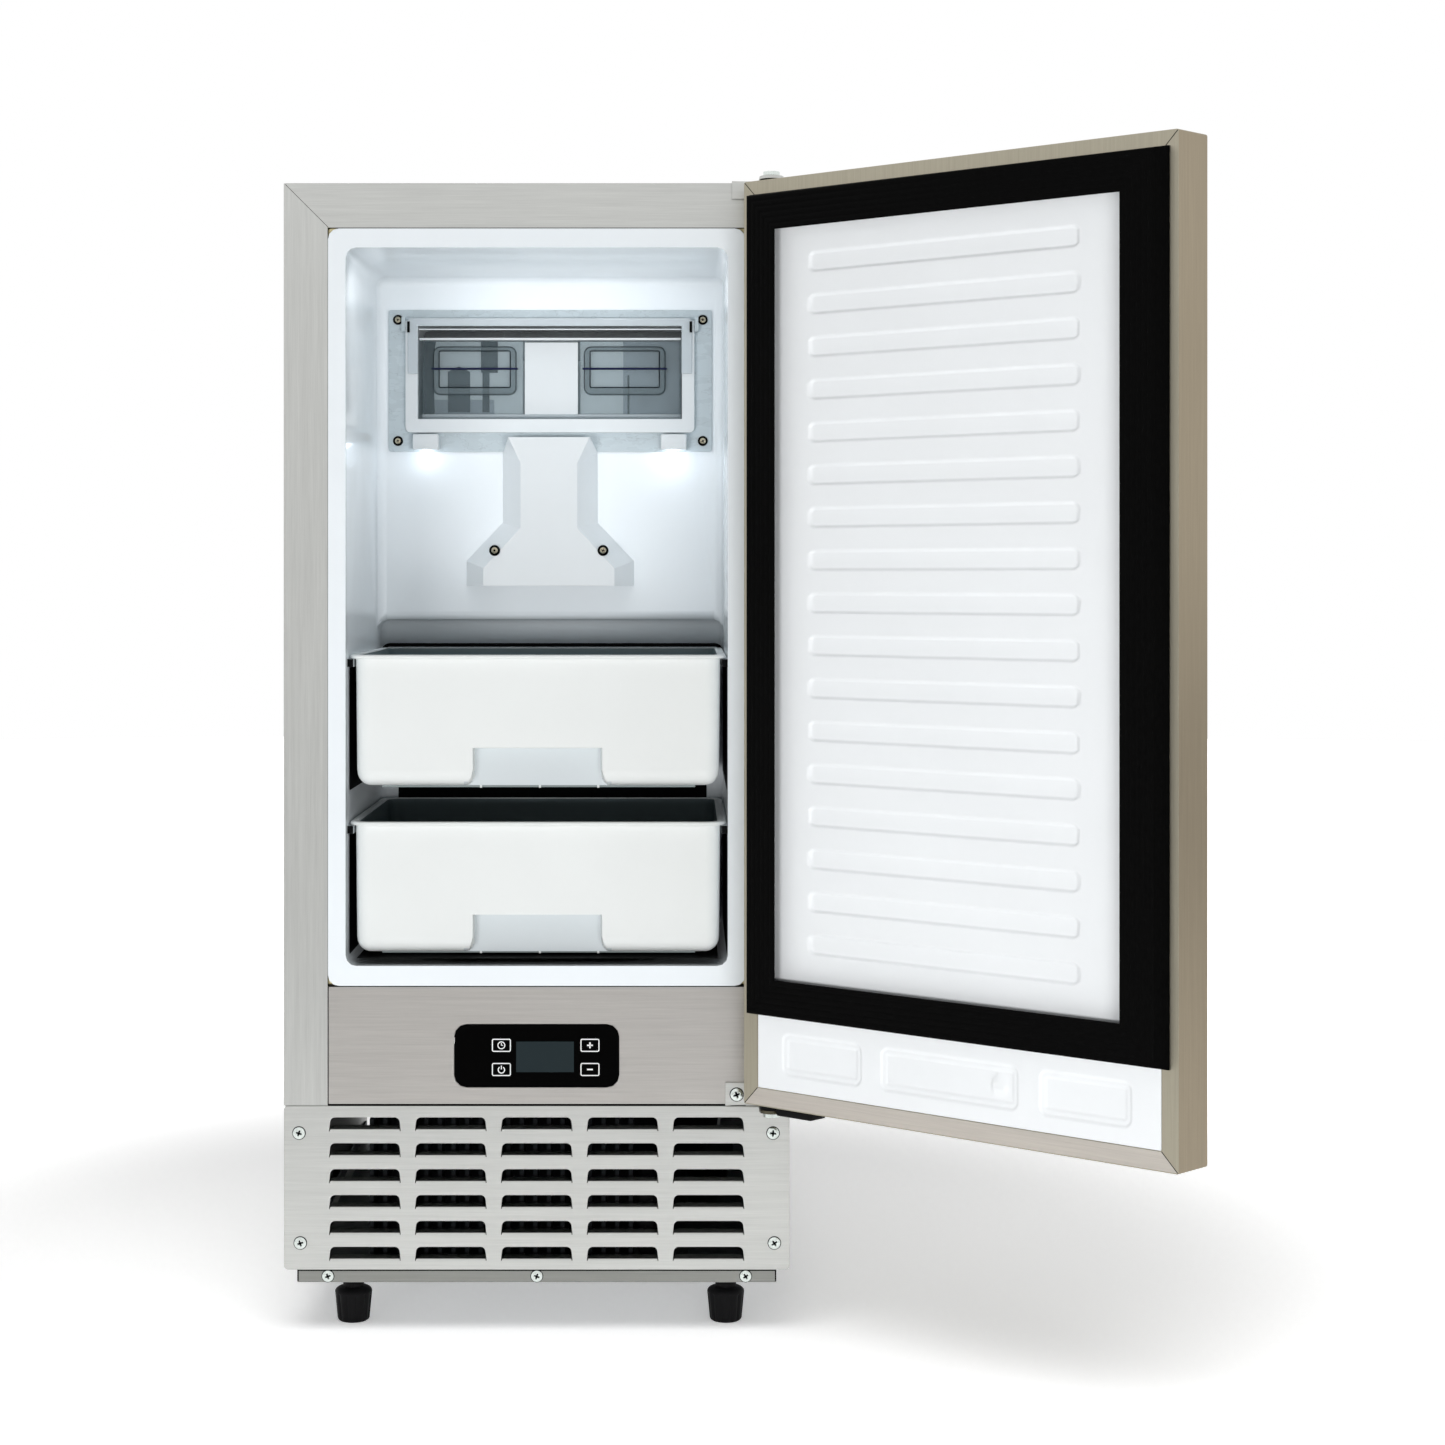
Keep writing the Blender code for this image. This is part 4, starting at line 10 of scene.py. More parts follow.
import bmesh
import bpy
import numpy as np
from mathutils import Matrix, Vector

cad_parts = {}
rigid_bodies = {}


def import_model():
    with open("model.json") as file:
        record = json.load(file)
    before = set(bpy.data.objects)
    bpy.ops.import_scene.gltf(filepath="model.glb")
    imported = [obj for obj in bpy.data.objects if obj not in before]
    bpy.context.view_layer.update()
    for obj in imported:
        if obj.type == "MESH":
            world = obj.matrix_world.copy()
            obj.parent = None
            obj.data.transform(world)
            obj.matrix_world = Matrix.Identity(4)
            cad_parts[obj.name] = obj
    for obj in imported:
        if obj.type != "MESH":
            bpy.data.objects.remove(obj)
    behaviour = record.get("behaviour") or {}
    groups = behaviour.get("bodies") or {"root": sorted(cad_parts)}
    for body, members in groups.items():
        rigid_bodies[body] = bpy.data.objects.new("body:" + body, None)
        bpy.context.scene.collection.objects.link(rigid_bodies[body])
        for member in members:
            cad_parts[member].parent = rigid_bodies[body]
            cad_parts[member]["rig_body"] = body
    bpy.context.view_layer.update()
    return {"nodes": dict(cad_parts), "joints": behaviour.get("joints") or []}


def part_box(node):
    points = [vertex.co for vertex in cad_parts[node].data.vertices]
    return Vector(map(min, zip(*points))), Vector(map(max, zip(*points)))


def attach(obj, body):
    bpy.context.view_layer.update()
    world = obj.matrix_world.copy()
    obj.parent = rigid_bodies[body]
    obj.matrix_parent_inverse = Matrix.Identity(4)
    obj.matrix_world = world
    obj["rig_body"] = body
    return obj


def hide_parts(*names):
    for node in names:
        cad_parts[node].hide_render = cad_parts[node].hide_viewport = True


bl_info = {
    "name": "Nugget ice maker finishes",
    "version": (1, 0, 0),
    "blender": (4, 5, 0),
    "location": "3D View > Sidebar > Ice maker",
    "description": "Finishes, fine pieces, lights and camera for an undercounter nugget ice maker",
    "category": "Object",
}

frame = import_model()
NODES = frame["nodes"]

# Distance at which doubled points merge, and the turns at which faces count as flat or as meeting sharply
MERGE = 1e-6
FLAT_ANGLE = math.radians(1.0)
SHARP = 32.0
SHARP_ANGLE = math.radians(SHARP)
MM = 0.001

# Places taken from the frame
LINER_LOW, LINER_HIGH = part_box("inner_liner")
GRILLE_LOW, GRILLE_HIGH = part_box("front_grille")
PLATE_LOW, PLATE_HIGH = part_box("chute_plate")
LENS_LOW, LENS_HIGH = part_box("display_lens")
FRONT = LINER_LOW.y
PLATE_FACE = PLATE_HIGH.y - 2 * MM
LAMPS = ("lamp_left", "lamp_right")

# The door at rest: how far it has turned, about which upright axis, and the matrix that turns it
HINGE = next(joint for joint in frame["joints"] if joint["name"] == "door_hinge")
DOOR_TURN = math.radians(-HINGE["range_deg"][0])
DOOR_TURNED = np.array([
    [math.cos(DOOR_TURN), math.sin(DOOR_TURN), 0],
    [-math.sin(DOOR_TURN), math.cos(DOOR_TURN), 0],
    [0, 0, 1],
])
PIVOT = np.array(HINGE["pos_m"]) * (1, 1, 0)

# Sheets, mouldings and clearances
FIT = 0.3 * MM
STILE_EDGE = 157.5 * MM
STILE_WIDTH = 33 * MM
CAVITY_DEPTH = 262 * MM
LINER_FLANGE = 13.5 * MM
WINDOW_WALL = 1.6 * MM
CAP_EDGE = 0.7379
HINGE_SLOT_FOOT = 0.7357

# The shut door: its inner face, half its width, and the width of the skin's return
DOOR_FACE = FRONT - 12.3 * MM
DOOR_HALF = 189.5 * MM
DOOR_RETURN = 13.5 * MM

# The grille's louvers: pitch across and up, width at the sill and the top, height, upper corners, the first
# sill's height on the sheet, and the tongue's bend and the slit beside it
LOUVER_PITCH = (64.7 * MM, 19.5 * MM)
LOUVER_SILL, LOUVER_TOP, LOUVER_HEIGHT, LOUVER_CORNER = (size * MM for size in (54, 52.4, 10.6, 3.8))
LOUVER_FIRST, LOUVER_BEND, LOUVER_SLIT = (size * MM for size in (6.8, 1.9, 0.7))

# The display's middle and the middles of its keys
LENS_MIDDLE = ((LENS_LOW.x + LENS_HIGH.x) / 2, (LENS_LOW.z + LENS_HIGH.z) / 2)
KEY_COLUMNS = (LENS_MIDDLE[0] - 0.02655, LENS_MIDDLE[0] + 0.04015)
KEY_ROWS = (LENS_MIDDLE[1] + 0.008, LENS_MIDDLE[1] - 0.0102)

# The bins: the sled under them, and the finger recess's half width, the flare at its foot, how high that
# goes, and its height
BIN_SLED = 2.6 * MM
RECESS_HALF, RECESS_FLARE, RECESS_FOOT, RECESS_RISE = (size * MM for size in (48.6, 7.4, 13, 28.7))

# The door liner's slots: margin beside them, half height, place of the first, pitch and shift sideways
SLOT_COUNT = 17
SLOT_MARGIN, SLOT_HALF, SLOT_FIRST, SLOT_PITCH, SLOT_ASIDE = 0.070, 0.00675, 0.1236, 0.03105, 0.0083

# The three kick pads under the slots: height of their middle, half height, width of the upper step, half
# width of the middle pad, gap beside it, margin beside the outer ones, and the place of the round boss
KICK_RISE, KICK_HALF, KICK_STEP = 0.0407, 0.015, 0.0042
KICK_MIDDLE, KICK_GAP, KICK_MARGIN = 0.0595, 0.0188, 0.0376
BOSS_ASIDE = KICK_MIDDLE - 0.016


def linear(code):
    """An sRGB hex colour as linear red, green and blue."""
    parts = np.array([int(code[i:i + 2], 16) for i in (1, 3, 5)]) / 255
    return tuple(np.where(parts <= 0.04045, parts / 12.92, ((parts + 0.055) / 1.055) ** 2.4))


def colour_property(name, code, description):
    """A colour for the panel, given by its hex code."""
    return bpy.props.FloatVectorProperty(
        name=name, description=description, subtype="COLOR", size=3, min=0, max=1, default=linear(code),
    )


def length_property(name, millimetres, description):
    """A length for the panel, given in millimetres."""
    return bpy.props.FloatProperty(
        name=name, description=description, default=millimetres * MM, min=0, unit="LENGTH", precision=4,
    )


def plain_property(name, value, unit, description):
    """A positive number for the panel in Blender's own unit."""
    return bpy.props.FloatProperty(name=name, description=description, default=value, min=0, unit=unit)


class IceMakerColours(bpy.types.PropertyGroup):
    """Colours of the finishes."""

    stainless: colour_property("Stainless", "#c9cac7", "Brushed stainless of the cabinet, fascia and grille")
    # Painted reflection: the door's skin is a darker, warmer copy of the stainless, for darker surroundings
    # mirrored in it
    door_stainless: colour_property("Door stainless", "#aca695", "Brushed stainless of the door's skin")
    liner: colour_property("Liner", "#f0f6fa", "Vacuum-formed inner liner")
    door_liner: colour_property("Door liner", "#f7fafc", "Vacuum-formed liner of the door")
    bins: colour_property("Bins", "#eaedec", "Moulded ice bins")
    moulding: colour_property("Moulding", "#eef2f4", "Sensor cover, flap frame and lamp housings")
    plate: colour_property("Chute plate", "#cad5da", "Pale plate round the ice chute")
    cap: colour_property("Cap", "#d3dbe0", "Translucent cap over the flap's arms")
    smoke: colour_property("Windows", "#93a6ae", "Smoked windows in the flap")
    display: colour_property("Display", "#030303", "Glossy display lens")
    glass: colour_property("Display window", "#273033", "Liquid crystal window in the display")
    print_white: colour_property("Key print", "#f2f4f4", "Printed outlines and signs of the keys")
    rubber: colour_property("Gasket", "#040404", "Door gasket")
    glow: colour_property("Lamp light", "#eaf4ff", "Light of the two cabinet lamps")


class IceMakerSizes(bpy.types.PropertyGroup):
    """Sizes of the fine detail."""

    edge: length_property("Edge softness", 0.35, "Radius on folded and moulded edges")
    opening_edge: length_property("Opening edge", 3.0, "Radius where the liner turns into the cabinet")
    cover_edge: length_property("Cover edge", 2.2, "Radius on the edges of the sensor cover")
    slot_depth: length_property("Slot depth", 1.5, "Depth of the slots pressed in the door liner")
    slot_edge: length_property("Slot edge", 2.4, "Width over which a pressed edge falls")
    rib_pitch: length_property("Gasket rib pitch", 4.4, "Distance between the ribs of the gasket")
    rib_depth: length_property("Gasket rib depth", 0.45, "Depth of the grooves between the gasket's ribs")
    recess_depth: length_property("Bin recess depth", 12.0, "Depth of the finger recess in a bin")
    screw_radius: length_property("Screw head radius", 4.5, "Radius of the pan-head screws")
    print_line: length_property("Key outline", 0.75, "Line width of the printed keys")


class IceMakerStage(bpy.types.PropertyGroup):
    """Camera and light."""

    distance: plain_property("Camera distance", 2.169, "LENGTH", "Distance of the camera from the front")
    sideways: plain_property("Camera offset", 0.111, "LENGTH", "Distance of the camera right of the middle")
    height: plain_property("Camera height", 0.5329, "LENGTH", "Height of the camera in the object's frame")
    lens: plain_property("Lens", 71.75, "CAMERA", "Focal length on a 36 mm wide film")
    fill: plain_property("Room light", 0.25, "NONE", "Strength of the light from all round")
    front: plain_property("Front light", 30.0, "POWER", "Power of each low lamp in front")
    high: plain_property("Floor light", 48.0, "POWER", "Power of the lamp that casts the floor's shadow")


# Meshes

def refined(low, high, marks, spread, coarse, count=7):
    """Sorted grid places from low to high: steps of about coarse, and count more within spread of a mark."""
    even = np.linspace(low, high, max(2, int(round((high - low) / coarse)) + 1))
    near = (np.asarray(marks, float)[:, None] + np.linspace(-spread, spread, count)).ravel()
    return np.unique(np.clip(np.concatenate([even, near]), low, high).round(6))


def smooth_step(value):
    """Nought below nought, one above one, and three times the square less twice the cube between them."""
    value = np.clip(value, 0, 1)
    return value * value * (3 - 2 * value)


def rounded_distance(x, z, centre, half, radius):
    """Distance outside a rounded rectangle, negative inside it: the distance to a smaller square-cornered
    rectangle, less the corner's radius."""
    across = np.abs(x - centre[0]) - (half[0] - radius)
    up = np.abs(z - centre[1]) - (half[1] - radius)
    outside = np.hypot(np.maximum(across, 0), np.maximum(up, 0))
    return outside + np.minimum(np.maximum(across, up), 0) - radius


def loop_round(steps, front=()):
    """One anticlockwise trip round a rounded rectangle, as the turn of each point and the signs of the corner
    it belongs to; front adds places along the edge that faces the second axis's low side."""
    turns, signs_a, signs_b = [], [], []
    for quarter, (a, b) in enumerate(((1, 1), (-1, 1), (-1, -1), (1, -1))):
        turn = np.radians(np.linspace(90 * quarter, 90 * quarter + 90, steps + 1))
        turns.append(turn)
        signs_a.append(np.full_like(turn, a))
        signs_b.append(np.full_like(turn, b))
        if quarter == 2 and len(front):
            turns.append(np.full(len(front), math.radians(270)))
            signs_a.append(np.asarray(front, float))
            signs_b.append(np.full(len(front), -1.0))
    return np.concatenate(turns), np.concatenate(signs_a), np.concatenate(signs_b)


def rings(half_a, half_b, radius, offsets, loop):
    """Rounded rectangles, one row for each offset. A point is its corner's centre plus the corner's radius
    times its direction. An offset moves the sides out and adds to the radius, which stays above nought."""
    turn, sign_a, sign_b = loop
    offsets = np.asarray(offsets, float)[:, None]
    grown = np.clip(radius + offsets, 0, np.maximum(min(half_a, half_b) + offsets, 0))
    a = sign_a * (half_a + offsets - grown) + grown * np.cos(turn)
    b = sign_b * (half_b + offsets - grown) + grown * np.sin(turn)
    return a, b


def grid_points(x, y, z):
    """Points from three coordinates. One that stays the same along a row or a grid may be given once."""
    return np.stack(np.broadcast_arrays(x, y, z), axis=-1)


def grid_faces(rows, columns, start, round_columns):
    """Four-sided faces over a grid of points numbered row by row from start."""
    index = start + np.arange(rows * columns).reshape(rows, columns)
    if round_columns:
        index = np.hstack([index, index[:, :1]])
    corners = (index[:-1, :-1], index[:-1, 1:], index[1:, 1:], index[1:, :-1])
    return np.stack(corners, axis=-1).reshape(-1, 4)


def grid_object(name, grids, round_columns=True, outward=False):
    """One object from one or several grids of points. Doubled points are merged, which closes seams and
    poles; outward turns the faces of closed forms out."""
    points, faces, start = [], [], 0
    for grid in grids:
        rows, columns = grid.shape[:2]
        points.append(grid.reshape(-1, 3))
        faces.append(grid_faces(rows, columns, start, round_columns))
        start += rows * columns
    mesh = bpy.data.meshes.new(name)
    mesh.from_pydata(np.concatenate(points), [], np.concatenate(faces))
    bm = bmesh.new()
    bm.from_mesh(mesh)
    bmesh.ops.remove_doubles(bm, verts=bm.verts, dist=MERGE)
    bmesh.ops.dissolve_degenerate(bm, edges=bm.edges, dist=MERGE)
    if outward:
        bmesh.ops.recalc_face_normals(bm, faces=bm.faces)
    bm.to_mesh(mesh)
    bm.free()
    obj = bpy.data.objects.new(name, mesh)
    bpy.context.scene.collection.objects.link(obj)
    return obj


def smooth(obj, bend=SHARP):
    """Smooth shading, with edges kept sharp where the faces turn by more than bend degrees."""
    mesh = obj.data
    mesh.polygons.foreach_set("use_smooth", np.ones(len(mesh.polygons), bool))
    mesh.set_sharp_from_angle(angle=math.radians(bend))
    return obj


def turned_open(points):
    """Points of the shut door, turned about the hinge's upright axis to where the door stands at rest."""
    return (points - PIVOT) @ DOOR_TURNED + PIVOT


def merged_copy(node):
    """A copy of a node's mesh with its loose triangles joined and its flat faces made whole."""
    mesh = NODES[node].data.copy()
    bm = bmesh.new()
    bm.from_mesh(mesh)
    bmesh.ops.remove_doubles(bm, verts=bm.verts, dist=MERGE * 10)
    bmesh.ops.dissolve_limit(bm, angle_limit=FLAT_ANGLE, verts=bm.verts, edges=bm.edges)
    bm.to_mesh(mesh)
    bm.free()
    obj = bpy.data.objects.new(f"{node}.finished", mesh)
    bpy.context.scene.collection.objects.link(obj)
    return obj


def soften(obj, width, segments=2):
    """A small bevel on the edges that turn sharply."""
    bevel = obj.modifiers.new("edge", "BEVEL")
    bevel.width = width
    bevel.segments = segments
    bevel.limit_method = "ANGLE"
    bevel.angle_limit = SHARP_ANGLE
    bevel.harden_normals = True
    bevel.use_clamp_overlap = True
    return obj


# Materials

def add(tree, kind, fields=None, inputs=None):
    """Adds a node, sets its fields, and gives each named input a value or a link."""
    node = tree.nodes.new(kind)
    for key, value in (fields or {}).items():
        setattr(node, key, value)
    for key, value in (inputs or {}).items():
        if isinstance(value, bpy.types.NodeSocket):
            tree.links.new(value, node.inputs[key])
        else:
            node.inputs[key].default_value = value
    return node


def new_material(name, colour, roughness, metallic=0.0, constants=None):
    """A material with a Principled shader, its constants set straight on the sockets."""
    material = bpy.data.materials.new(name)
    material.use_nodes = True
    material.diffuse_color = (*colour, 1)
    tree = material.node_tree
    tree.nodes.clear()
    shader = add(tree, "ShaderNodeBsdfPrincipled", inputs={
        "Base Color": (*colour, 1), "Roughness": roughness, "Metallic": metallic, **(constants or {}),
    })
    output = add(tree, "ShaderNodeOutputMaterial")
    tree.links.new(shader.outputs["BSDF"], output.inputs["Surface"])
    return material, tree, shader


def coordinates(tree, scale=(1, 1, 1), turn=0.0):
    """Object coordinates in metres, turned about the upright axis and then stretched."""
    place = add(tree, "ShaderNodeTexCoord")
    turned = add(tree, "ShaderNodeMapping", inputs={
        "Vector": place.outputs["Object"], "Rotation": (0, 0, turn),
    })
    return add(tree, "ShaderNodeMapping", inputs={
        "Vector": turned.outputs["Vector"], "Scale": scale,
    }).outputs["Vector"]


def noise(tree, vector, period, detail=3.0, roughness=0.55):
    """Noise whose blots are about one period, in metres, across."""
    return add(tree, "ShaderNodeTexNoise", inputs={
        "Vector": vector, "Scale": 1 / period, "Detail": detail, "Roughness": roughness,
    }).outputs["Fac"]


def roughen(tree, shader, value, low, high):
    """Roughness from low to high over the value's middle range."""
    rough = add(tree, "ShaderNodeMapRange", inputs={
        "Value": value, "From Min": 0.3, "From Max": 0.7, "To Min": low, "To Max": high,
    })
    tree.links.new(rough.outputs["Result"], shader.inputs["Roughness"])


def tint(tree, shader, value, colour, dark, light):
    """The colour made darker or lighter over the value's middle range."""
    ramp = add(tree, "ShaderNodeValToRGB", inputs={"Fac": value})
    ramp.color_ramp.elements[0].color = (*(channel * dark for channel in colour), 1)
    ramp.color_ramp.elements[1].color = (*(min(1.0, channel * light) for channel in colour), 1)
    ramp.color_ramp.elements[0].position = 0.3
    ramp.color_ramp.elements[1].position = 0.7
    tree.links.new(ramp.outputs["Color"], shader.inputs["Base Color"])


def bumped(tree, shader, height, distance):
    """Relief of so many metres from the height's pattern."""
    bump = add(tree, "ShaderNodeBump", inputs={"Height": height, "Distance": distance, "Strength": 1.0})
    tree.links.new(bump.outputs["Normal"], shader.inputs["Normal"])


def joined(tree, first, second, share=0.5):
    """Two patterns mixed into one."""
    return add(tree, "ShaderNodeMix", {"data_type": "FLOAT"}, {
        "Factor": share, "A": first, "B": second,
    }).outputs["Result"]


def brushed_stainless(name, colour, grain, turn=0.0, roughness=0.34):
    """Austenitic stainless sheet, brushed with a fine belt.

    The belt leaves parallel scratches, seen as faint light and dark streaks and a soft sheen across them.
    Real scratches are 0.05 mm wide; they are drawn 0.5 and 2.4 mm wide so that they show.
    """
    material, tree, shader = new_material(name, colour, roughness, 1.0, {"Anisotropic": 0.35})
    along, fine, wide = 0.035, 0.0005, 0.0024
    stretch = {"x": (fine / along, 1, 1), "z": (1, 1, fine / along)}[grain]
    streaks = noise(tree, coordinates(tree, stretch, turn), fine, 2.0)
    stretch = {"x": (wide / (3 * along), 1, 1), "z": (1, 1, wide / (3 * along))}[grain]
    bands = noise(tree, coordinates(tree, stretch, turn), wide, 2.0)
    clouds = noise(tree, coordinates(tree, turn=turn), 0.14, 2.0)
    pattern = joined(tree, streaks, bands, 0.45)
    tint(tree, shader, pattern, colour, 0.9, 1.08)
    rough = joined(tree, pattern, clouds, 0.5)
    roughen(tree, shader, rough, roughness - 0.05, roughness + 0.06)
    bumped(tree, shader, pattern, 0.00003)
    return material


def galvanised(name, colour):
    """Hot-dip galvanised sheet: zinc crystals 8 mm across, each a slightly different grey, under a bloom."""
    material, tree, shader = new_material(name, colour, 0.46, 1.0)
    vector = coordinates(tree)
    cells = add(tree, "ShaderNodeTexVoronoi", {"feature": "F1"}, {"Vector": vector, "Scale": 1 / 0.008})
    grey = add(tree, "ShaderNodeSeparateColor", inputs={"Color": cells.outputs["Color"]}).outputs["Red"]
    tone = joined(tree, grey, noise(tree, vector, 0.03), 0.55)
    tint(tree, shader, tone, colour, 0.82, 1.12)
    roughen(tree, shader, tone, 0.38, 0.55)
    bumped(tree, shader, tone, 0.00004)
    return material


def moulded(name, colour, roughness=0.4, grain=0.0011, depth=0.00002, constants=None):
    """Injection-moulded or vacuum-formed polystyrene: a satin skin with a faint orange peel about 1 mm across
    and large, barely seen differences in gloss where the sheet cooled unevenly."""
    material, tree, shader = new_material(name, colour, roughness, 0.0, constants)
    vector = coordinates(tree)
    clouds = noise(tree, vector, 0.11, 2.0)
    tint(tree, shader, clouds, colour, 0.985, 1.01)
    roughen(tree, shader, clouds, roughness - 0.05, roughness + 0.06)
    bumped(tree, shader, noise(tree, vector, grain, 2.0), depth)
    return material


def milky_plate(name, colour):
    """Pale translucent acrylic sheet: satin, with handling scuffs that show as thin grey wisps."""
    material, tree, shader = new_material(name, colour, 0.28)
    vector = coordinates(tree, (1.0, 1.0, 2.2))
    bent = noise(tree, vector, 0.045, 4.0, 0.65)
    line = add(tree, "ShaderNodeMath", {"operation": "SUBTRACT"}, {0: bent, 1: 0.5}).outputs["Value"]
    thin = add(tree, "ShaderNodeMath", {"operation": "ABSOLUTE"}, {0: line}).outputs["Value"]
    wisp = add(tree, "ShaderNodeMapRange", inputs={
        "Value": thin, "From Min": 0.0, "From Max": 0.012, "To Min": 0.0, "To Max": 1.0,
    }).outputs["Result"]
    clouds = noise(tree, vector, 0.02, 3.0)
    tone = joined(tree, wisp, clouds, 0.6)
    tint(tree, shader, tone, colour, 0.9, 1.04)
    roughen(tree, shader, clouds, 0.2, 0.36)
    return material


def smoked_window(name, colour, cover):
    """Smoke-tinted clear styrene: glossy, part seen through and part milky, so that the chute shows dimly."""
    material, tree, shader = new_material(name, colour, 0.08, 0.0, {"Alpha": cover, "IOR": 1.45})
    vector = coordinates(tree)
    clouds = noise(tree, vector, 0.03, 2.0)
    tint(tree, shader, clouds, colour, 0.9, 1.08)
    roughen(tree, shader, clouds, 0.06, 0.14)
    return material


def soft_rubber(name, colour):
    """Extruded thermoplastic rubber: black, dull, with a fine dusty bloom along its run."""
    material, tree, shader = new_material(name, colour, 0.5, 0.0, {"Specular IOR Level": 0.03})
    vector = coordinates(tree)
    bloom = noise(tree, vector, 0.004, 3.0)
    tint(tree, shader, bloom, colour, 0.7, 1.7)
    roughen(tree, shader, bloom, 0.42, 0.62)
    bumped(tree, shader, noise(tree, vector, 0.0012, 2.0), 0.00002)
    return material


def gloss_lens(name, colour):
    """Hard-coated acrylic over black ink: a near mirror with the slight waviness of a thin moulding."""
    material, tree, shader = new_material(name, colour, 0.07, 0.0, {"Specular IOR Level": 0.02})
    vector = coordinates(tree)
    waves = noise(tree, vector, 0.02, 1.0)
    roughen(tree, shader, waves, 0.05, 0.12)
    bumped(tree, shader, waves, 0.00002)
    return material


def plain_metal(name, colour, roughness):
    """Machined, cast or plated metal: an even colour with a fine blotchy sheen from plating or tool marks."""
    material, tree, shader = new_material(name, colour, roughness, 1.0)
    blots = noise(tree, coordinates(tree), 0.003, 3.0)
    tint(tree, shader, blots, colour, 0.88, 1.06)
    roughen(tree, shader, blots, roughness - 0.06, roughness + 0.08)
    bumped(tree, shader, blots, 0.00002)
    return material


def rigid_foam(name, colour):
    """Foamed-in-place polyurethane: straw yellow, matt, with open cells about 1.5 mm across on its skin."""
    material, tree, shader = new_material(name, colour, 0.85)
    vector = coordinates(tree)
    cells = add(tree, "ShaderNodeTexVoronoi", {"feature": "F1"}, {"Vector": vector, "Scale": 1 / 0.0015})
    tone = joined(tree, cells.outputs["Distance"], noise(tree, vector, 0.04), 0.5)
    tint(tree, shader, tone, colour, 0.85, 1.05)
    bumped(tree, shader, cells.outputs["Distance"], 0.0002)
    return material


def solder_mask(name, colour):
    """Green solder mask on glass-epoxy board: glossy, its copper tracks showing as paler bands."""
    material, tree, shader = new_material(name, colour, 0.3)
    tracks = add(tree, "ShaderNodeTexWave", {"bands_direction": "X"}, {
        "Vector": coordinates(tree), "Scale": 1 / 0.0072, "Distortion": 2.0, "Detail": 1.0,
    })
    tint(tree, shader, tracks.outputs["Fac"], colour, 0.8, 1.4)
    return material


def lit_lens(name, colour, strength):
    """A white light-emitting diode behind a frosted lens: an even cool glow."""
    material, tree, shader = new_material(name, colour, 0.4, 0.0, {
        "Emission Color": (*colour, 1), "Emission Strength": strength,
    })
    frost = noise(tree, coordinates(tree), 0.002, 2.0)
    roughen(tree, shader, frost, 0.35, 0.5)
    return material


STAINLESS, WHITE, BIN = "brushed_stainless", "white_moulding", "bin_white"
SOFT_SHEEN = {"Specular IOR Level": 0.08}
MATT_SKIN = (0.5, 0.002, 0.00002)

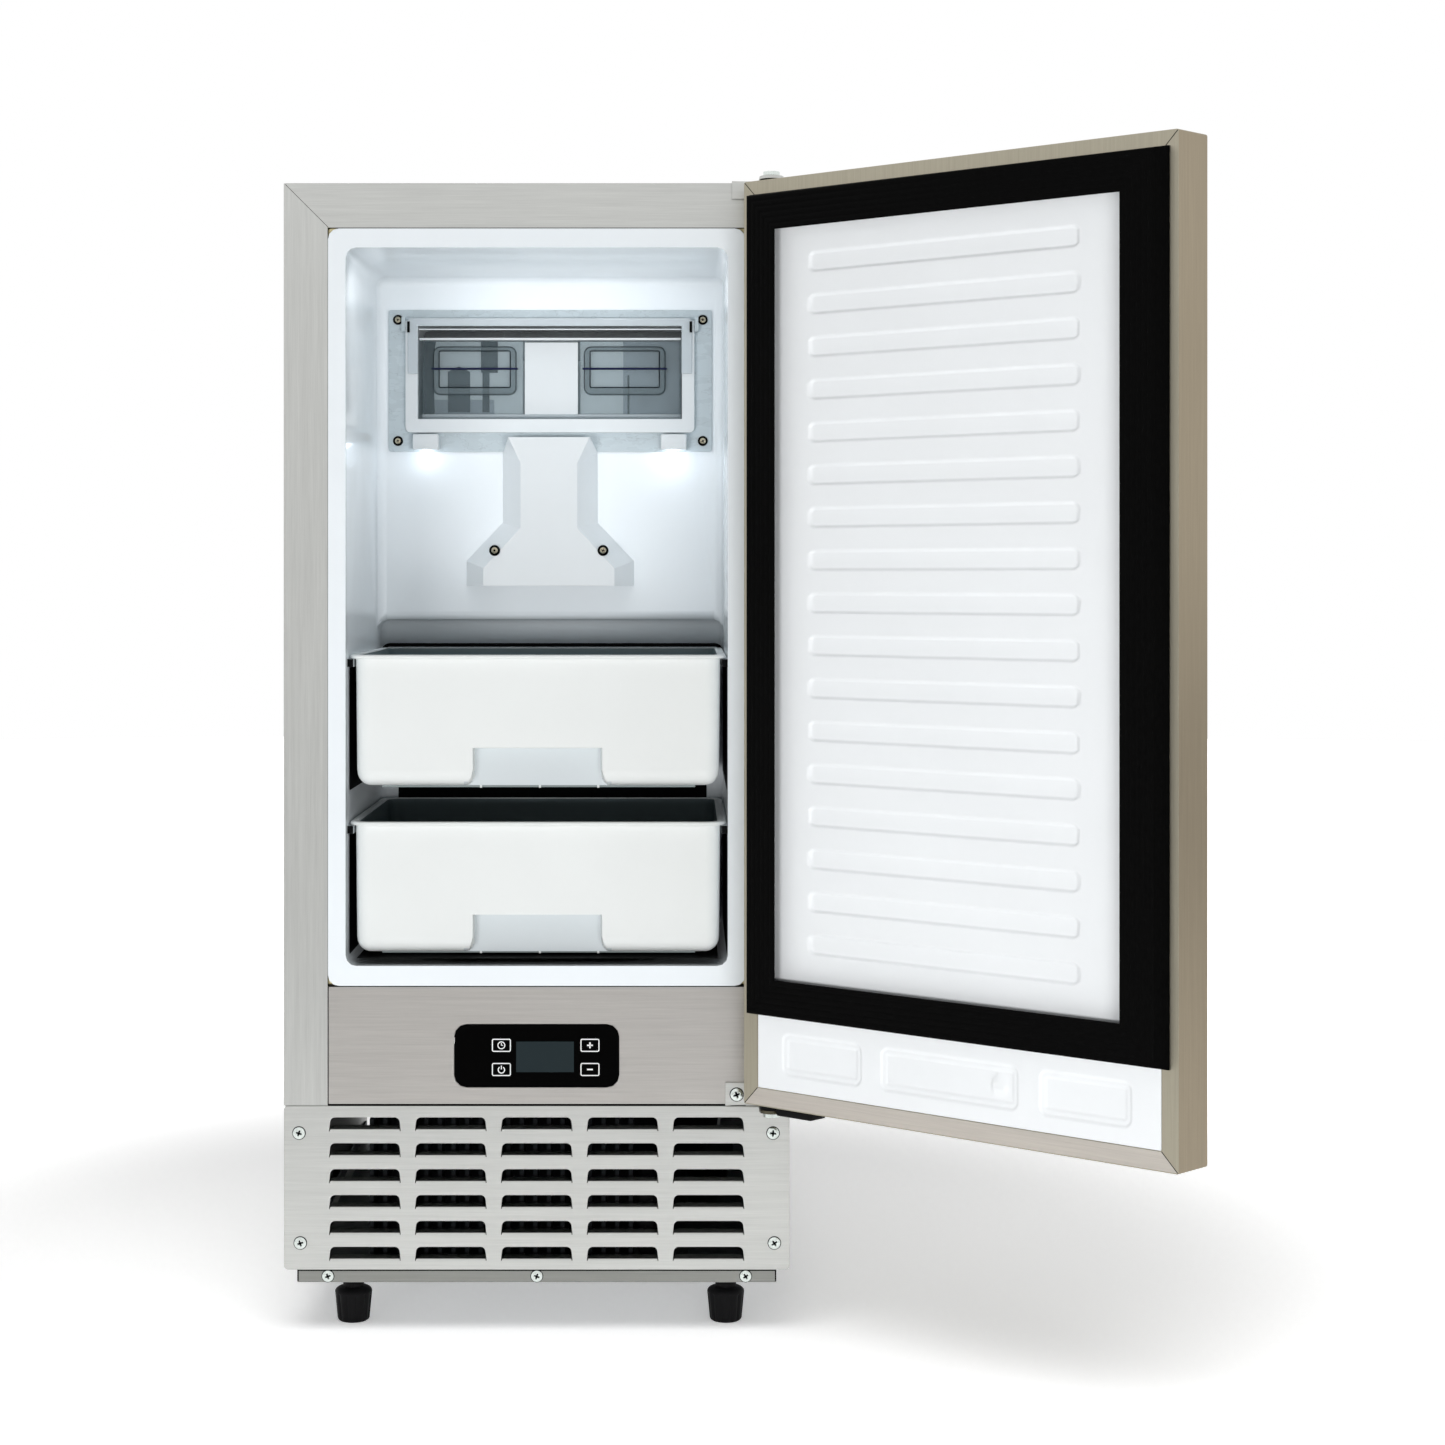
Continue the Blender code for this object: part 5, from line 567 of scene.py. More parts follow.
# Each finish: its slot in the record, its maker, its colour by name or code, and the maker's other arguments
FINISHES = {
    "stainless_upright": (STAINLESS, brushed_stainless, "stainless", "z"),
    "stainless_level": (STAINLESS, brushed_stainless, "stainless", "x"),
    "stainless_fascia": (STAINLESS, brushed_stainless, "#bcb9b5", "x"),
    # Painted shade: the rail, set back under the grille, is a darker copy of the stainless
    "stainless_rail": (STAINLESS, brushed_stainless, "#8f908c", "x"),
    "stainless_return": (STAINLESS, brushed_stainless, "#c4beb6", "x", -DOOR_TURN, 0.3),
    "stainless_edge": (STAINLESS, brushed_stainless, "#9f937e", "z", -DOOR_TURN, 0.36),
    "stainless_door": (STAINLESS, brushed_stainless, "door_stainless", "z", -DOOR_TURN, 0.36),
    "hinge_bronze": (STAINLESS, plain_metal, "#5c584b", 0.34),
    "galvanised_sheet": ("galvanised_steel", galvanised, "#9da1a3"),
    "formed_liner": (WHITE, moulded, "liner", 0.14),
    "formed_door_liner": (WHITE, moulded, "door_liner", 0.36),
    "moulded_white": (WHITE, moulded, "moulding", 0.36),
    "milky_acrylic": (WHITE, milky_plate, "plate"),
    "pale_gate": (WHITE, moulded, "#dfeaee", *MATT_SKIN),
    "grey_gate": (WHITE, moulded, "#a3aeb5", *MATT_SKIN),
    "lamp_light": (WHITE, lit_lens, "glow", 14.0),
    "key_print": (WHITE, moulded, "print_white", 0.5),
    "moulded_bin": (BIN, moulded, "bins", 0.42),
    # Painted shade: darker copies of the bins' white for their insides, the back of the finger recess and the
    # sled
    "bin_inside": (BIN, moulded, "#77868a", 0.5),
    "bin_recess": (BIN, moulded, "#d3dadd", 0.42),
    "bin_sled": (BIN, moulded, "#8d9898", 0.5),
    "frosted_cap": ("translucent_cap", moulded, "cap", 0.3, 0.0011, 0.00002, {"Alpha": 0.94}),
    "smoked_styrene": ("smoke_clear", smoked_window, "smoke", 0.22),
    "smoked_rim": ("smoke_clear", smoked_window, "#75858b", 0.6),
    "tinted_line": ("smoke_clear", moulded, "#262a4a", 0.3, 0.002, 0.00002, SOFT_SHEEN),
    "gasket_extrusion": ("gasket_rubber", soft_rubber, "rubber"),
    "black_moulding": ("black_plastic", moulded, "#101011", 0.5, 0.0016, 0.00004, SOFT_SHEEN),
    # Black for dark joints and seals, and for painted shade: socket floors, screw seats, the rail's lines,
    # the ends of the bin ledges, the gaps round the bins and the line behind the upper one
    "dark_slot": ("black_plastic", moulded, "#0a0b0c", 0.7, 0.002, 0.00002, SOFT_SHEEN),
    "dark_shape": ("black_plastic", moulded, "#262b2e", *MATT_SKIN, SOFT_SHEEN),
    "display_acrylic": ("display_black", gloss_lens, "display"),
    "display_window": ("display_black", gloss_lens, "glass"),
    "zinc_screw": ("zinc_plated", plain_metal, "#dfe6e2", 0.22),
    "dark_screw": ("zinc_plated", plain_metal, "#c6bda6", 0.26),
    "black_screw": ("zinc_plated", plain_metal, "#171716", 0.34),
    "drawn_copper": ("copper_tube", plain_metal, "#8a5a45", 0.38),
    "cast_aluminium": ("aluminium", plain_metal, "#c4c5c6", 0.4),
    "coated_fins": ("aluminium", moulded, "#191b1d", *MATT_SKIN, SOFT_SHEEN),
    "turned_brass": ("brass", plain_metal, "#c9ae72", 0.28),
    "black_enamel": ("black_paint", moulded, "#141415", 0.32, 0.003, 0.00003, SOFT_SHEEN),
    "blown_foam": ("insulation_foam", rigid_foam, "#e8dcae"),
    "circuit_board": ("circuit_board", solder_mask, "#1d6b3a"),
}


def finish(name):
    """The named material, made on first use."""
    if name in bpy.data.materials:
        return bpy.data.materials[name]
    _, maker, colour, *others = FINISHES[name]
    if colour.startswith("#"):
        return maker(name, linear(colour), *others)
    return maker(name, getattr(bpy.context.scene.ice_maker_colours, colour), *others)


def dress(obj, body, name, replaced=()):
    """Gives a piece its finish and its body, and hides the nodes that it stands for."""
    obj.data.materials.clear()
    obj.data.materials.append(finish(name))
    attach(obj, body)
    if replaced:
        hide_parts(*replaced)
    return obj


def finish_nodes(name, nodes, width, segments=2):
    """Smoothly shaded copies of nodes that stand for them, their edges softened by the width."""
    copies = []
    for node in nodes:
        obj = smooth(merged_copy(node))
        if width:
            soften(obj, width, segments)
        copies.append(dress(obj, NODES[node]["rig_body"], name, (node,)))
    return copies


def piece(name, grids, body, finish_name, bend=0, ring=True, outward=False, front=False, replaced=()):
    """A new piece from grids of points. Its shading is smooth where the faces turn by less than bend degrees,
    and flat when bend is nought. Ring closes each row; outward and front say which way the faces look."""
    obj = grid_object(name, grids, ring, outward)
    if front:
        face_front(obj)
    if bend:
        smooth(obj, bend)
    return dress(obj, body, finish_name, replaced)


def tone_faces(obj, name, test):
    """Gives a second finish to the faces whose centres and normals pass the test."""
    mesh = obj.data
    values = np.empty((2, len(mesh.polygons) * 3), np.float32)
    mesh.polygons.foreach_get("center", values[0])
    mesh.polygons.foreach_get("normal", values[1])
    centres, normals = values.reshape(2, -1, 3)
    mesh.materials.append(finish(name))
    index = np.empty(len(mesh.polygons), np.int32)
    mesh.polygons.foreach_get("material_index", index)
    index[test(centres, normals)] = len(mesh.materials) - 1
    mesh.polygons.foreach_set("material_index", index)


# Fine pieces

def block(low, high, radius, steps=3):
    """A closed block with rounded upright edges and a quarter-round at its front edge, which faces -Y.
    Each ring is the block's outline, drawn in by the quarter circle's offset as it nears the front."""
    half_x, half_z = (high[0] - low[0]) / 2, (high[2] - low[2]) / 2
    centre = ((high[0] + low[0]) / 2, (high[2] + low[2]) / 2)
    bend = np.radians(np.linspace(0, 90, steps + 1))
    offsets = np.concatenate([[-min(half_x, half_z), 0], radius * (np.cos(bend) - 1), [-min(half_x, half_z)]])
    depth = np.concatenate([[high[1], high[1]], low[1] + radius * (1 - np.sin(bend)), [low[1]]])
    a, b = rings(half_x, half_z, radius, offsets, loop_round(steps))
    return grid_points(a + centre[0], depth[:, None], b + centre[1])


FACING = {
    "-y": np.array([[1, 0, 0], [0, 0, 1], [0, -1, 0]]),
    "+y": np.array([[-1, 0, 0], [0, 0, 1], [0, 1, 0]]),
}


def screw_head(centre, facing, radius, turn):
    """A pan-head screw with a cross socket. Over radius and angle, the height is a flattened dome, less a
    cross whose arms fall away from full depth at the middle to nothing at two thirds of the radius."""
    share = np.concatenate([[0.0], np.linspace(0.06, 0.66, 11), np.linspace(0.76, 1.0, 5), [1.0]])
    angle = np.linspace(0, math.tau, 48, endpoint=False)
    r, a = np.meshgrid(share, angle, indexing="ij")
    rise = 0.42 * radius * np.sqrt(np.maximum(1 - 0.8 * r ** 2, 0))
    rise[-1] = 0.0
    x, y = r * np.cos(a), r * np.sin(a)
    arm = np.minimum(np.abs(x), np.abs(y))
    cross = smooth_step((0.15 - arm) / 0.06) * smooth_step((0.66 - r) / 0.35)
    rise = rise - 0.34 * radius * cross
    across, up = x * radius, y * radius
    c, s = math.cos(turn), math.sin(turn)
    flat = grid_points(across * c - up * s, across * s + up * c, rise)
    return flat @ FACING[facing] + np.asarray(centre, float)


def socket_floor_shade(centre, facing, radius, turn):
    """Painted shade in a cross socket: two dark strips on its floor that narrow towards their ends, across
    each other.
    """
    along = np.array([-0.56, -0.2, 0.2, 0.56])
    half = np.array([0.07, 0.13, 0.13, 0.07])
    arms = []
    for quarter in (0.0, math.pi / 2):
        c, s = math.cos(turn + quarter), math.sin(turn + quarter)
        rows = []
        for side in (-1, 1):
            x, y = along * radius, side * half * radius
            rows.append(grid_points(x * c - y * s, x * s + y * c, 0.17 * radius))
        arms.append(np.stack(rows) @ FACING[facing] + np.asarray(centre, float))
    return arms


def seat_shadow_ring(centre, facing, radius):
    """Painted shadow round a screw's seat: a dark flat ring from under the head to just outside it."""
    angle = np.linspace(0, math.tau, 33)
    reach = np.array([0.9, 1.14])[:, None] * radius
    flat = grid_points(reach * np.cos(angle), reach * np.sin(angle), 0.05 * MM)
    return flat @ FACING[facing] + np.asarray(centre, float)


def round_stub(centre, radius, low, high):
    """An upright stub with a domed lower end, as radius over height."""
    dome = np.radians(np.linspace(0, 90, 5))
    profile = [(radius * math.sin(a), low + radius * (1 - math.cos(a))) for a in dome]
    profile = np.array(profile + [(radius, high), (0.0, high)])
    angle = np.linspace(0, math.tau, 20, endpoint=False)
    x = centre[0] + profile[:, :1] * np.cos(angle)
    y = centre[1] + profile[:, :1] * np.sin(angle)
    return grid_points(x, y, profile[:, 1:])


def screws(name, places, radius, facing="-y", finish_name="zinc_screw"):
    """The cabinet's screw heads as one piece, each turned a little further, and as another the painted shade
    in their sockets and round their seats.
    """
    heads, shade_marks = [], []
    for index, place in enumerate(places):
        turn = 0.35 + 0.9 * index
        heads.append(screw_head(place, facing, radius, turn))
        shade_marks += socket_floor_shade(place, facing, radius, turn)
        shade_marks.append(seat_shadow_ring(place, facing, radius))
    piece(name, heads, "cabinet", finish_name, 50)
    piece(f"{name}.sockets", shade_marks, "cabinet", "dark_slot", ring=False)


def ringed_screws(name, places, radius):
    """Screws drawn as dark domes with a bright middle: the domes, and smaller cross-socket heads on their
    crowns.
    """
    domes = [screw_head(place, "-y", radius, 0) for place in places]
    piece(f"{name}.rims", domes, "cabinet", "black_screw", 50)
    crowns = [(x, y - 0.26 * radius, z) for x, y, z in places]
    screws(name, crowns, radius * 0.58, finish_name="dark_screw")


def bin_grid(low, high, recess_depth):
    """A tub with an overhanging rim as one closed surface: a profile of offset and height, carried round a
    rounded rectangle, from the middle of its underside up the outer wall, over the rim and down to the middle
    of its floor. Where the finger recess is, the front wall is moved back to the recess's depth."""
    overhang, wall, corner, bend = 4.25 * MM, 2.2 * MM, 12 * MM, 11 * MM
    rim, taper, crest, soft = 3.0 * MM, 1.0 * MM, 0.8 * MM, 0.9 * MM
    half_x = (high.x - low.x) / 2 - overhang
    half_y = (high.y - low.y) / 2 - overhang
    middle_y = (high.y + low.y) / 2
    height = high.z - low.z - BIN_SLED
    # The rows lie close together up to just above the recess, and further apart over the rest of the wall
    fine_to, coarse_from = 0.036, 0.045

    def leaning(offset, heights):
        """The wall's line, which leans out by the taper over its height."""
        return [(offset - taper * (1 - h / height), h) for h in heights]

    def turned(radius, start, end, steps=7):
        """A quarter bend of the wall into the floor."""
        turn = np.radians(np.linspace(start, end, steps))
        return list(zip(-taper - bend + radius * np.cos(turn), bend + radius * np.sin(turn)))

    outer = [(-half_y, 0)] + turned(bend, 270, 360)
    outer += leaning(0, np.linspace(bend + MM, fine_to, 25))
    outer += leaning(0, np.linspace(coarse_from, height - rim - 1.2 * MM, 6))
    lip = np.radians(np.linspace(-90, 90, 7))
    outer += [(0.3 * MM, height - rim - 0.4 * MM), (1.2 * MM, height - rim)]
    outer += list(zip(overhang - rim / 2 + rim / 2 * np.cos(lip), height - rim / 2 + rim / 2 * np.sin(lip)))
    back = np.radians(np.linspace(90, 180, 4))
    inner = list(zip(-wall + crest + crest * np.cos(back), height - crest + crest * np.sin(back)))
    inner += leaning(-wall, np.linspace(height - 4 * MM, coarse_from + MM, 6))
    inner += leaning(-wall, np.linspace(fine_to + 2 * MM, bend + MM, 20))
    inner += turned(bend - wall, 360, 270) + [(-half_y, wall)]
    profile = np.array(outer + inner)
    recess_end = RECESS_HALF + 2.9 * MM
    front = refined(-0.1, 0.1, (-recess_end, recess_end), 0.008, 0.004, 27) / (half_x - corner)
    x, y = rings(half_x, half_y, corner, profile[:, 0], loop_round(8, front))
    z = profile[:, 1:]
    grow = np.where(np.arange(len(profile))[:, None] >= len(outer), wall, 0)
    flare = np.clip(1 - z / RECESS_FOOT, 0, 1)
    half = RECESS_HALF + RECESS_FLARE * (1 - np.sqrt(1 - flare ** 2)) + grow
    mask = smooth_step((half - np.abs(x)) / soft + 0.5) * smooth_step((RECESS_RISE + grow - z) / soft + 0.5)
    y = y + middle_y
    recess = middle_y - half_y + grow + recess_depth * mask
    y = np.where((mask > 0) & (z < 50 * MM), np.maximum(y, recess), y)
    return grid_points(x, y, z + low.z + BIN_SLED)


def build_bin(node, depth):
    """A tub, with painted shade on its inside and on the back of its finger recess, and under it the sled
    plate, also in painted shade, and three ribs.
    """
    low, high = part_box(node)
    reach, start, top = 119.5 * MM, low.y + 24 * MM, low.z + BIN_SLED
    plate = block((-reach, start, low.z + 0.4 * MM), (reach, high.y - 24 * MM, top), 0.4 * MM)
    ribs = [
        block((x - 0.9 * MM, start - 1 * MM, low.z), (x + 0.9 * MM, high.y - 60 * MM, top), 0.4 * MM)
        for x in np.array([-44.0, 1.0, 45.5]) * MM
    ]
    tub = piece(f"{node}.tub", [bin_grid(low, high, depth)], node, "moulded_bin", 60, replaced=(node,))
    middle = np.array([0, (low.y + high.y) / 2, 0])

    def inside(centres, normals):
        """True for the walls that look towards the tub's middle, and for its floor: these get painted shade.
        """
        out = ((centres - middle) * normals * (1, 1, 0)).sum(axis=1)
        by_recess = (np.abs(centres[:, 0]) < 62 * MM) & (centres[:, 2] < low.z + 40 * MM)
        by_recess &= centres[:, 1] < low.y + 24 * MM
        floor = (normals[:, 2] > 0.7) & (centres[:, 2] < low.z + 20 * MM)
        return ((out < 0) & ~by_recess & (centres[:, 2] < high.z - 1 * MM)) | floor

    def recess(centres, normals):
        """True for the back of the finger recess, which gets painted shade."""
        back = centres[:, 1] - low.y
        low_down = (np.abs(centres[:, 0]) < RECESS_HALF + RECESS_FLARE) & (centres[:, 2] < low.z + 33 * MM)
        return low_down & (back > 8 * MM) & (back < 20 * MM) & (normals[:, 1] < -0.3)

    tone_faces(tub, "bin_inside", inside)
    tone_faces(tub, "bin_recess", recess)
    # The sled plate under the bin is given a grey painted shade
    piece(f"{node}.sled", [plate], node, "bin_sled", SHARP, outward=True)
    piece(f"{node}.ribs", ribs, node, "moulded_bin", SHARP, outward=True)


def kick_pads():
    """The middle and half width of the three kick pads: a middle one, and one out to the margin each side."""
    inner, outer = KICK_MIDDLE + KICK_GAP, DOOR_HALF - KICK_MARGIN
    side, half = (inner + outer) / 2, (outer - inner) / 2
    return ((-side, half), (0.0, KICK_MIDDLE), (side, half))


def pressed(x, z, door_z, depth, edge):
    """Depth of the pressings in the door liner at each place, from distances to rounded rectangles.
    A slot falls to full depth over its edge width; a kick pad has two shallow steps; the middle one
    has a round boss near one end."""
    fall = np.zeros_like(x)
    half = (DOOR_HALF - SLOT_MARGIN, SLOT_HALF)
    for index in range(SLOT_COUNT):
        gap = rounded_distance(x, z, (SLOT_ASIDE, door_z + SLOT_FIRST + index * SLOT_PITCH), half, SLOT_HALF)
        fall = np.maximum(fall, depth * smooth_step(0.5 - gap / edge))
    for centre, half in kick_pads():
        gap = rounded_distance(x, z, (centre, door_z + KICK_RISE), (half, KICK_HALF), 6 * MM)
        fall = np.maximum(fall, 0.6 * depth * smooth_step(0.5 - gap / edge))
        fall = fall + 0.4 * depth * smooth_step(0.5 - (gap + KICK_STEP) / edge)
    boss = np.hypot(x + BOSS_ASIDE, z - door_z - KICK_RISE) - 6.2 * MM
    return fall - 0.8 * depth * smooth_step(0.5 - boss / edge)


def door_panel_grid(low_z, high_z, face_y, depth, edge):
    """The door's liner: a sheet over width and height, pushed back by the depth of its pressings, with its
    edge turned back all round. The grid is finer where a pressing's edge falls."""
    door_z, fine = low_z - DOOR_RETURN - FIT, edge * 0.75
    centres = door_z + SLOT_FIRST + SLOT_PITCH * np.arange(SLOT_COUNT)
    kick = door_z + KICK_RISE
    kick_rows = kick + np.array([-KICK_HALF, KICK_STEP - KICK_HALF, 0, KICK_HALF - KICK_STEP, KICK_HALF])
    z = refined(low_z, high_z, np.concatenate([centres - SLOT_HALF, centres + SLOT_HALF]), fine, 0.009, 7)
    z = np.unique(np.concatenate([z, refined(low_z, kick + 0.03, kick_rows, fine, 0.004, 5)]))
    half, slot_half = DOOR_HALF - DOOR_RETURN - FIT, DOOR_HALF - SLOT_MARGIN
    pads = [
        centre + way * (reach - step)
        for centre, reach in kick_pads() for way in (-1, 1) for step in (0, KICK_STEP)
    ]
    x = np.unique(np.concatenate([
        refined(-half, half, (SLOT_ASIDE - slot_half, SLOT_ASIDE + slot_half), 0.009, 0.012, 19),
        refined(-half, half, pads, fine, 0.02, 5),
        refined(-half, half, (-BOSS_ASIDE,), 0.009, 0.05, 13),
    ]))
    grid_x, grid_z = np.meshgrid(x, z, indexing="ij")
    y = face_y - pressed(grid_x, grid_z, door_z, depth, edge)
    sheet = np.pad(grid_points(grid_x, y, grid_z), ((1, 1), (1, 1), (0, 0)), mode="edge")
    turned = np.ones(sheet.shape[:2], bool)
    turned[1:-1, 1:-1] = False
    sheet[turned, 1] = face_y - 1.8 * MM
    return sheet.transpose(1, 0, 2)


def gasket_grid(low_z, high_z, face_y, proud, pitch, groove):
    """A magnetic gasket: a profile of inset and rise, carried round a rectangle so that it mitres. An
    undercut foot leads to the flat band, which rounded grooves cut at the rib pitch; past its shoulder the
    outer side steps down to a thin lip. The insets at the ends are larger than those at the sides."""
    foot, inner, shoulder, lip_side, lip_end = (v * MM for v in (27.6, 38.8, 12.6, 7.1, 10.3))
    band = np.linspace(inner - 0.5 * MM, shoulder + 0.6 * MM, 64)
    ribs = np.abs(np.sin(math.pi * (band - shoulder) / pitch)) ** 0.6
    sides = np.concatenate([
        (foot, foot + 1 * MM, inner, inner), band, (shoulder, shoulder - 0.4 * MM),
        lip_side + (shoulder - lip_side) * np.array([0.62, 0.55, 0.08, 0.0]),
    ])
    ends = np.concatenate([sides[:-4], lip_end + (shoulder - lip_end) * np.array([0.62, 0.55, 0.08, 0.0])])
    rise = np.concatenate([
        (0.0, 0.45 * proud, proud - 2 * MM, proud - 0.6 * MM), proud - groove * (1 - ribs),
        (proud - 0.6 * MM, proud - 1.6 * MM), (0.56 * proud, 0.48 * proud, 2 * MM, 0.0),
    ])
    loop = loop_round(4)
    a, _ = rings(DOOR_HALF, (high_z - low_z) / 2 + lip_end, 6 * MM, -sides, loop)
    _, b = rings(DOOR_HALF, (high_z - low_z) / 2 + lip_end, 6 * MM, -ends, loop)
    return grid_points(a, (face_y + rise)[:, None], b + (low_z + high_z) / 2)


def foot_grid(low, high):
    """A levelling foot: radius over height, less a 0.8 mm groove between each two of the twelve flutes round
    its barrel. The profile's third value fades the grooves out over the shoulder, the neck and the sole."""
    centre_x, centre_y = (low.x + high.x) / 2, (low.y + high.y) / 2
    neck, crest, sole = 8 * MM, 14.25 * MM, 12.3 * MM
    top, knob, round_off = 0.0017, -0.0108, 0.004
    edge = knob - round_off
    drop = np.radians(np.linspace(90, 0, 7))
    stem = [(0.0, top, 0.0), (neck, top, 0.0), (neck, knob, 0.0)]
    shoulder = [
        (neck + (crest - neck) * math.cos(a), knob - round_off * (1 - math.sin(a)), 0.0) for a in drop
    ]
    share = np.linspace(0.06, 1, 8)
    barrel = [(crest - (crest - sole) * t, edge - (edge - low.z - 0.002) * t, 1.0) for t in share]
    under = [(sole - 0.0006, low.z + 0.0009, 0.4), (sole - 0.002, low.z, 0.0), (0.0, low.z, 0.0)]
    profile = np.array(stem + shoulder + barrel + under)
    angle = np.linspace(0, math.tau, 144, endpoint=False)
    flute = 0.5 + 0.5 * np.cos(12 * angle)
    cut = 0.0008 * profile[:, 2:3] * (1 - flute[None, :] ** 0.5)
    radius = profile[:, 0:1] - cut
    x = centre_x + radius * np.cos(angle)
    y = centre_y + radius * np.sin(angle)
    return grid_points(x, y, profile[:, 1:2])[::-1]


def louver_loops():
    """A louver's cell and its opening as two loops of as many points, about the middle of the opening: along
    the sill, up the right side and round its corner, back along the top, and down the left side."""
    across, up = LOUVER_PITCH[0] / 2, LOUVER_PITCH[1] / 2
    sill, top, rise, corner = LOUVER_SILL / 2, LOUVER_TOP / 2, LOUVER_HEIGHT / 2, LOUVER_CORNER
    steps = 8
    even = np.linspace(-1, 1, steps + 1)
    bend = np.radians(np.linspace(6, 90, steps))
    arc_x = top - corner + corner * np.cos(bend)
    arc_z = rise - corner + corner * np.sin(bend)
    side_x, side_z = np.append(sill, arc_x), np.append(-rise, arc_z)
    opening_x = np.concatenate([sill * even, side_x, (top - corner) * even[::-1], -side_x[::-1]])
    opening_z = np.concatenate([np.full(steps + 1, -rise), side_z, np.full(steps + 1, rise), side_z[::-1]])
    ones = np.ones(steps + 1)
    cell_x = across * np.concatenate([even, ones, even[::-1], -ones])
    cell_z = up * np.concatenate([-ones, even, ones, even[::-1]])
    return (cell_x, cell_z), (opening_x, opening_z)


def louver_places():
    """The middle of every opening, by column and row."""
    first = GRILLE_LOW.z + LOUVER_FIRST + LOUVER_HEIGHT / 2
    columns = (np.arange(5) - 2) * LOUVER_PITCH[0]
    rows = first + np.arange(6) * LOUVER_PITCH[1]
    return [(x, z) for x in columns for z in rows]


def tongue_grid(centre):
    """The tongue bent in from a louver's sill: over its length it follows a quarter bend and then runs
    nearly level; over its width it narrows as the opening does, and its free corners are round."""
    length = np.concatenate([np.linspace(0, LOUVER_BEND * 1.45, 9), np.linspace(0.36, 1, 10) * LOUVER_HEIGHT])
    length = np.unique(length)
    turn = np.minimum(length / LOUVER_BEND, math.radians(82))
    rest = length - turn * LOUVER_BEND
    y = LOUVER_BEND * (1 - np.cos(turn)) + rest * np.sin(turn)
    z = LOUVER_BEND * np.sin(turn) + rest * np.cos(turn)
    share = length / LOUVER_HEIGHT
    half = LOUVER_SILL / 2 * (1 - share) + LOUVER_TOP / 2 * share - LOUVER_SLIT
    past = np.maximum(length - (LOUVER_HEIGHT - LOUVER_CORNER), 0)
    half = half - LOUVER_CORNER + np.sqrt(np.maximum(LOUVER_CORNER ** 2 - past ** 2, 0))
    across = np.linspace(-1, 1, 9)
    x = centre[0] + half[:, None] * across
    level = centre[1] - LOUVER_HEIGHT / 2
    return grid_points(x, FRONT + y[:, None], level + z[:, None])


def grille_margin():
    """The flat border round the block of cells, and its edge folded back through a quarter bend."""
    places = np.array(louver_places())
    block_low = places.min(axis=0) - np.array(LOUVER_PITCH) / 2
    block_high = places.max(axis=0) + np.array(LOUVER_PITCH) / 2
    half = (block_high - block_low) / 2
    loop = loop_round(4)
    inner_a, inner_b = rings(half[0], half[1], 0, [0], loop)
    bend = 0.8 * MM
    turn = np.radians(np.linspace(0, 90, 5))
    offsets = np.append(bend * (np.sin(turn) - 1), 0)
    depth = np.append(bend * (1 - np.cos(turn)), GRILLE_HIGH.y - GRILLE_LOW.y - bend)
    a, b = rings(GRILLE_HIGH.x, (GRILLE_HIGH.z - GRILLE_LOW.z) / 2, 3 * MM, offsets, loop)
    middle = (block_low + block_high) / 2
    a = np.vstack([inner_a + middle[0], a])
    b = np.vstack([inner_b + middle[1], b + (GRILLE_HIGH.z + GRILLE_LOW.z) / 2])
    y = FRONT + np.append(0, depth)[:, None]
    return grid_points(a, y, b)[:, ::-1]


def build_grille():
    """The lanced sheet in place of the node, and its tongues."""
    cell, opening = louver_loops()
    rows = ((cell, 0.0), (opening, 0.0), (opening, 0.12 * MM), (opening, 1 * MM))
    sheets, tongues = [grille_margin()], []
    for x, z in louver_places():
        sheets.append(np.stack([grid_points(row[0] + x, FRONT + depth, row[1] + z) for row, depth in rows]))
        tongues.append(tongue_grid((x, z)))
    piece("front_grille.lanced", sheets, "cabinet", "stainless_level", SHARP, replaced=("front_grille",))
    piece("front_grille.tongues", tongues, "cabinet", "stainless_level", 60, ring=False)


def frame_line(centre, half, radius, line, y):
    """A flat printed outline at y: two rounded rectangles, one line width apart."""
    a, b = rings(half[0], half[1], radius, [0.0, -line], loop_round(5))
    return grid_points(a + centre[0], y, b + centre[1])


def stroke(points, line, y, closed=False):
    """A flat printed line at y: the path moved half a line width to each side along its own normal."""
    path = np.asarray(points, float)
    if closed:
        ahead, behind = np.roll(path, -1, axis=0), np.roll(path, 1, axis=0)
    else:
        ahead, behind = np.vstack([path[1:], path[-1:]]), np.vstack([path[:1], path[:-1]])
    run = ahead - behind
    run = run / np.linalg.norm(run, axis=1, keepdims=True)
    side = np.stack([-run[:, 1], run[:, 0]], axis=1) * line / 2
    rows = np.stack([path + side, path - side])
    if closed:
        rows = np.concatenate([rows, rows[:, :1]], axis=1)
    return grid_points(rows[..., 0], y, rows[..., 1])


# Operators

class PieceOperator:
    """What every operator here shares."""

    bl_options = {"REGISTER", "UNDO"}


class ICEMAKER_OT_cabinet(PieceOperator, bpy.types.Operator):
    """Brushed sheet of the cabinet, its fascia, rail and grille, and the galvanised pan and rear panels"""

    bl_idname = "ice_maker.cabinet"
    bl_label = "Cabinet sheet"

    def execute(self, context):
        edge = context.scene.ice_maker_sizes.edge
        for node in ("side_panel_left", "side_panel_right"):
            (panel,) = finish_nodes("stainless_upright", (node,), edge)
            cut_below(panel, GRILLE_LOW.z)
        finish_nodes("stainless_level", ("top_panel",), edge)
        finish_nodes("stainless_fascia", ("control_fascia",), edge)
        finish_nodes("stainless_rail", ("base_rail",), edge)
        build_grille()
        finish_nodes("galvanised_sheet", ("back_panel", "rear_service_panel"), edge)
        (pan,) = finish_nodes("galvanised_sheet", ("base_pan",), edge)
        draw_in(pan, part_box("base_rail")[1].x - FIT)
        build_sills()
        build_seams()
        return {"FINISHED"}


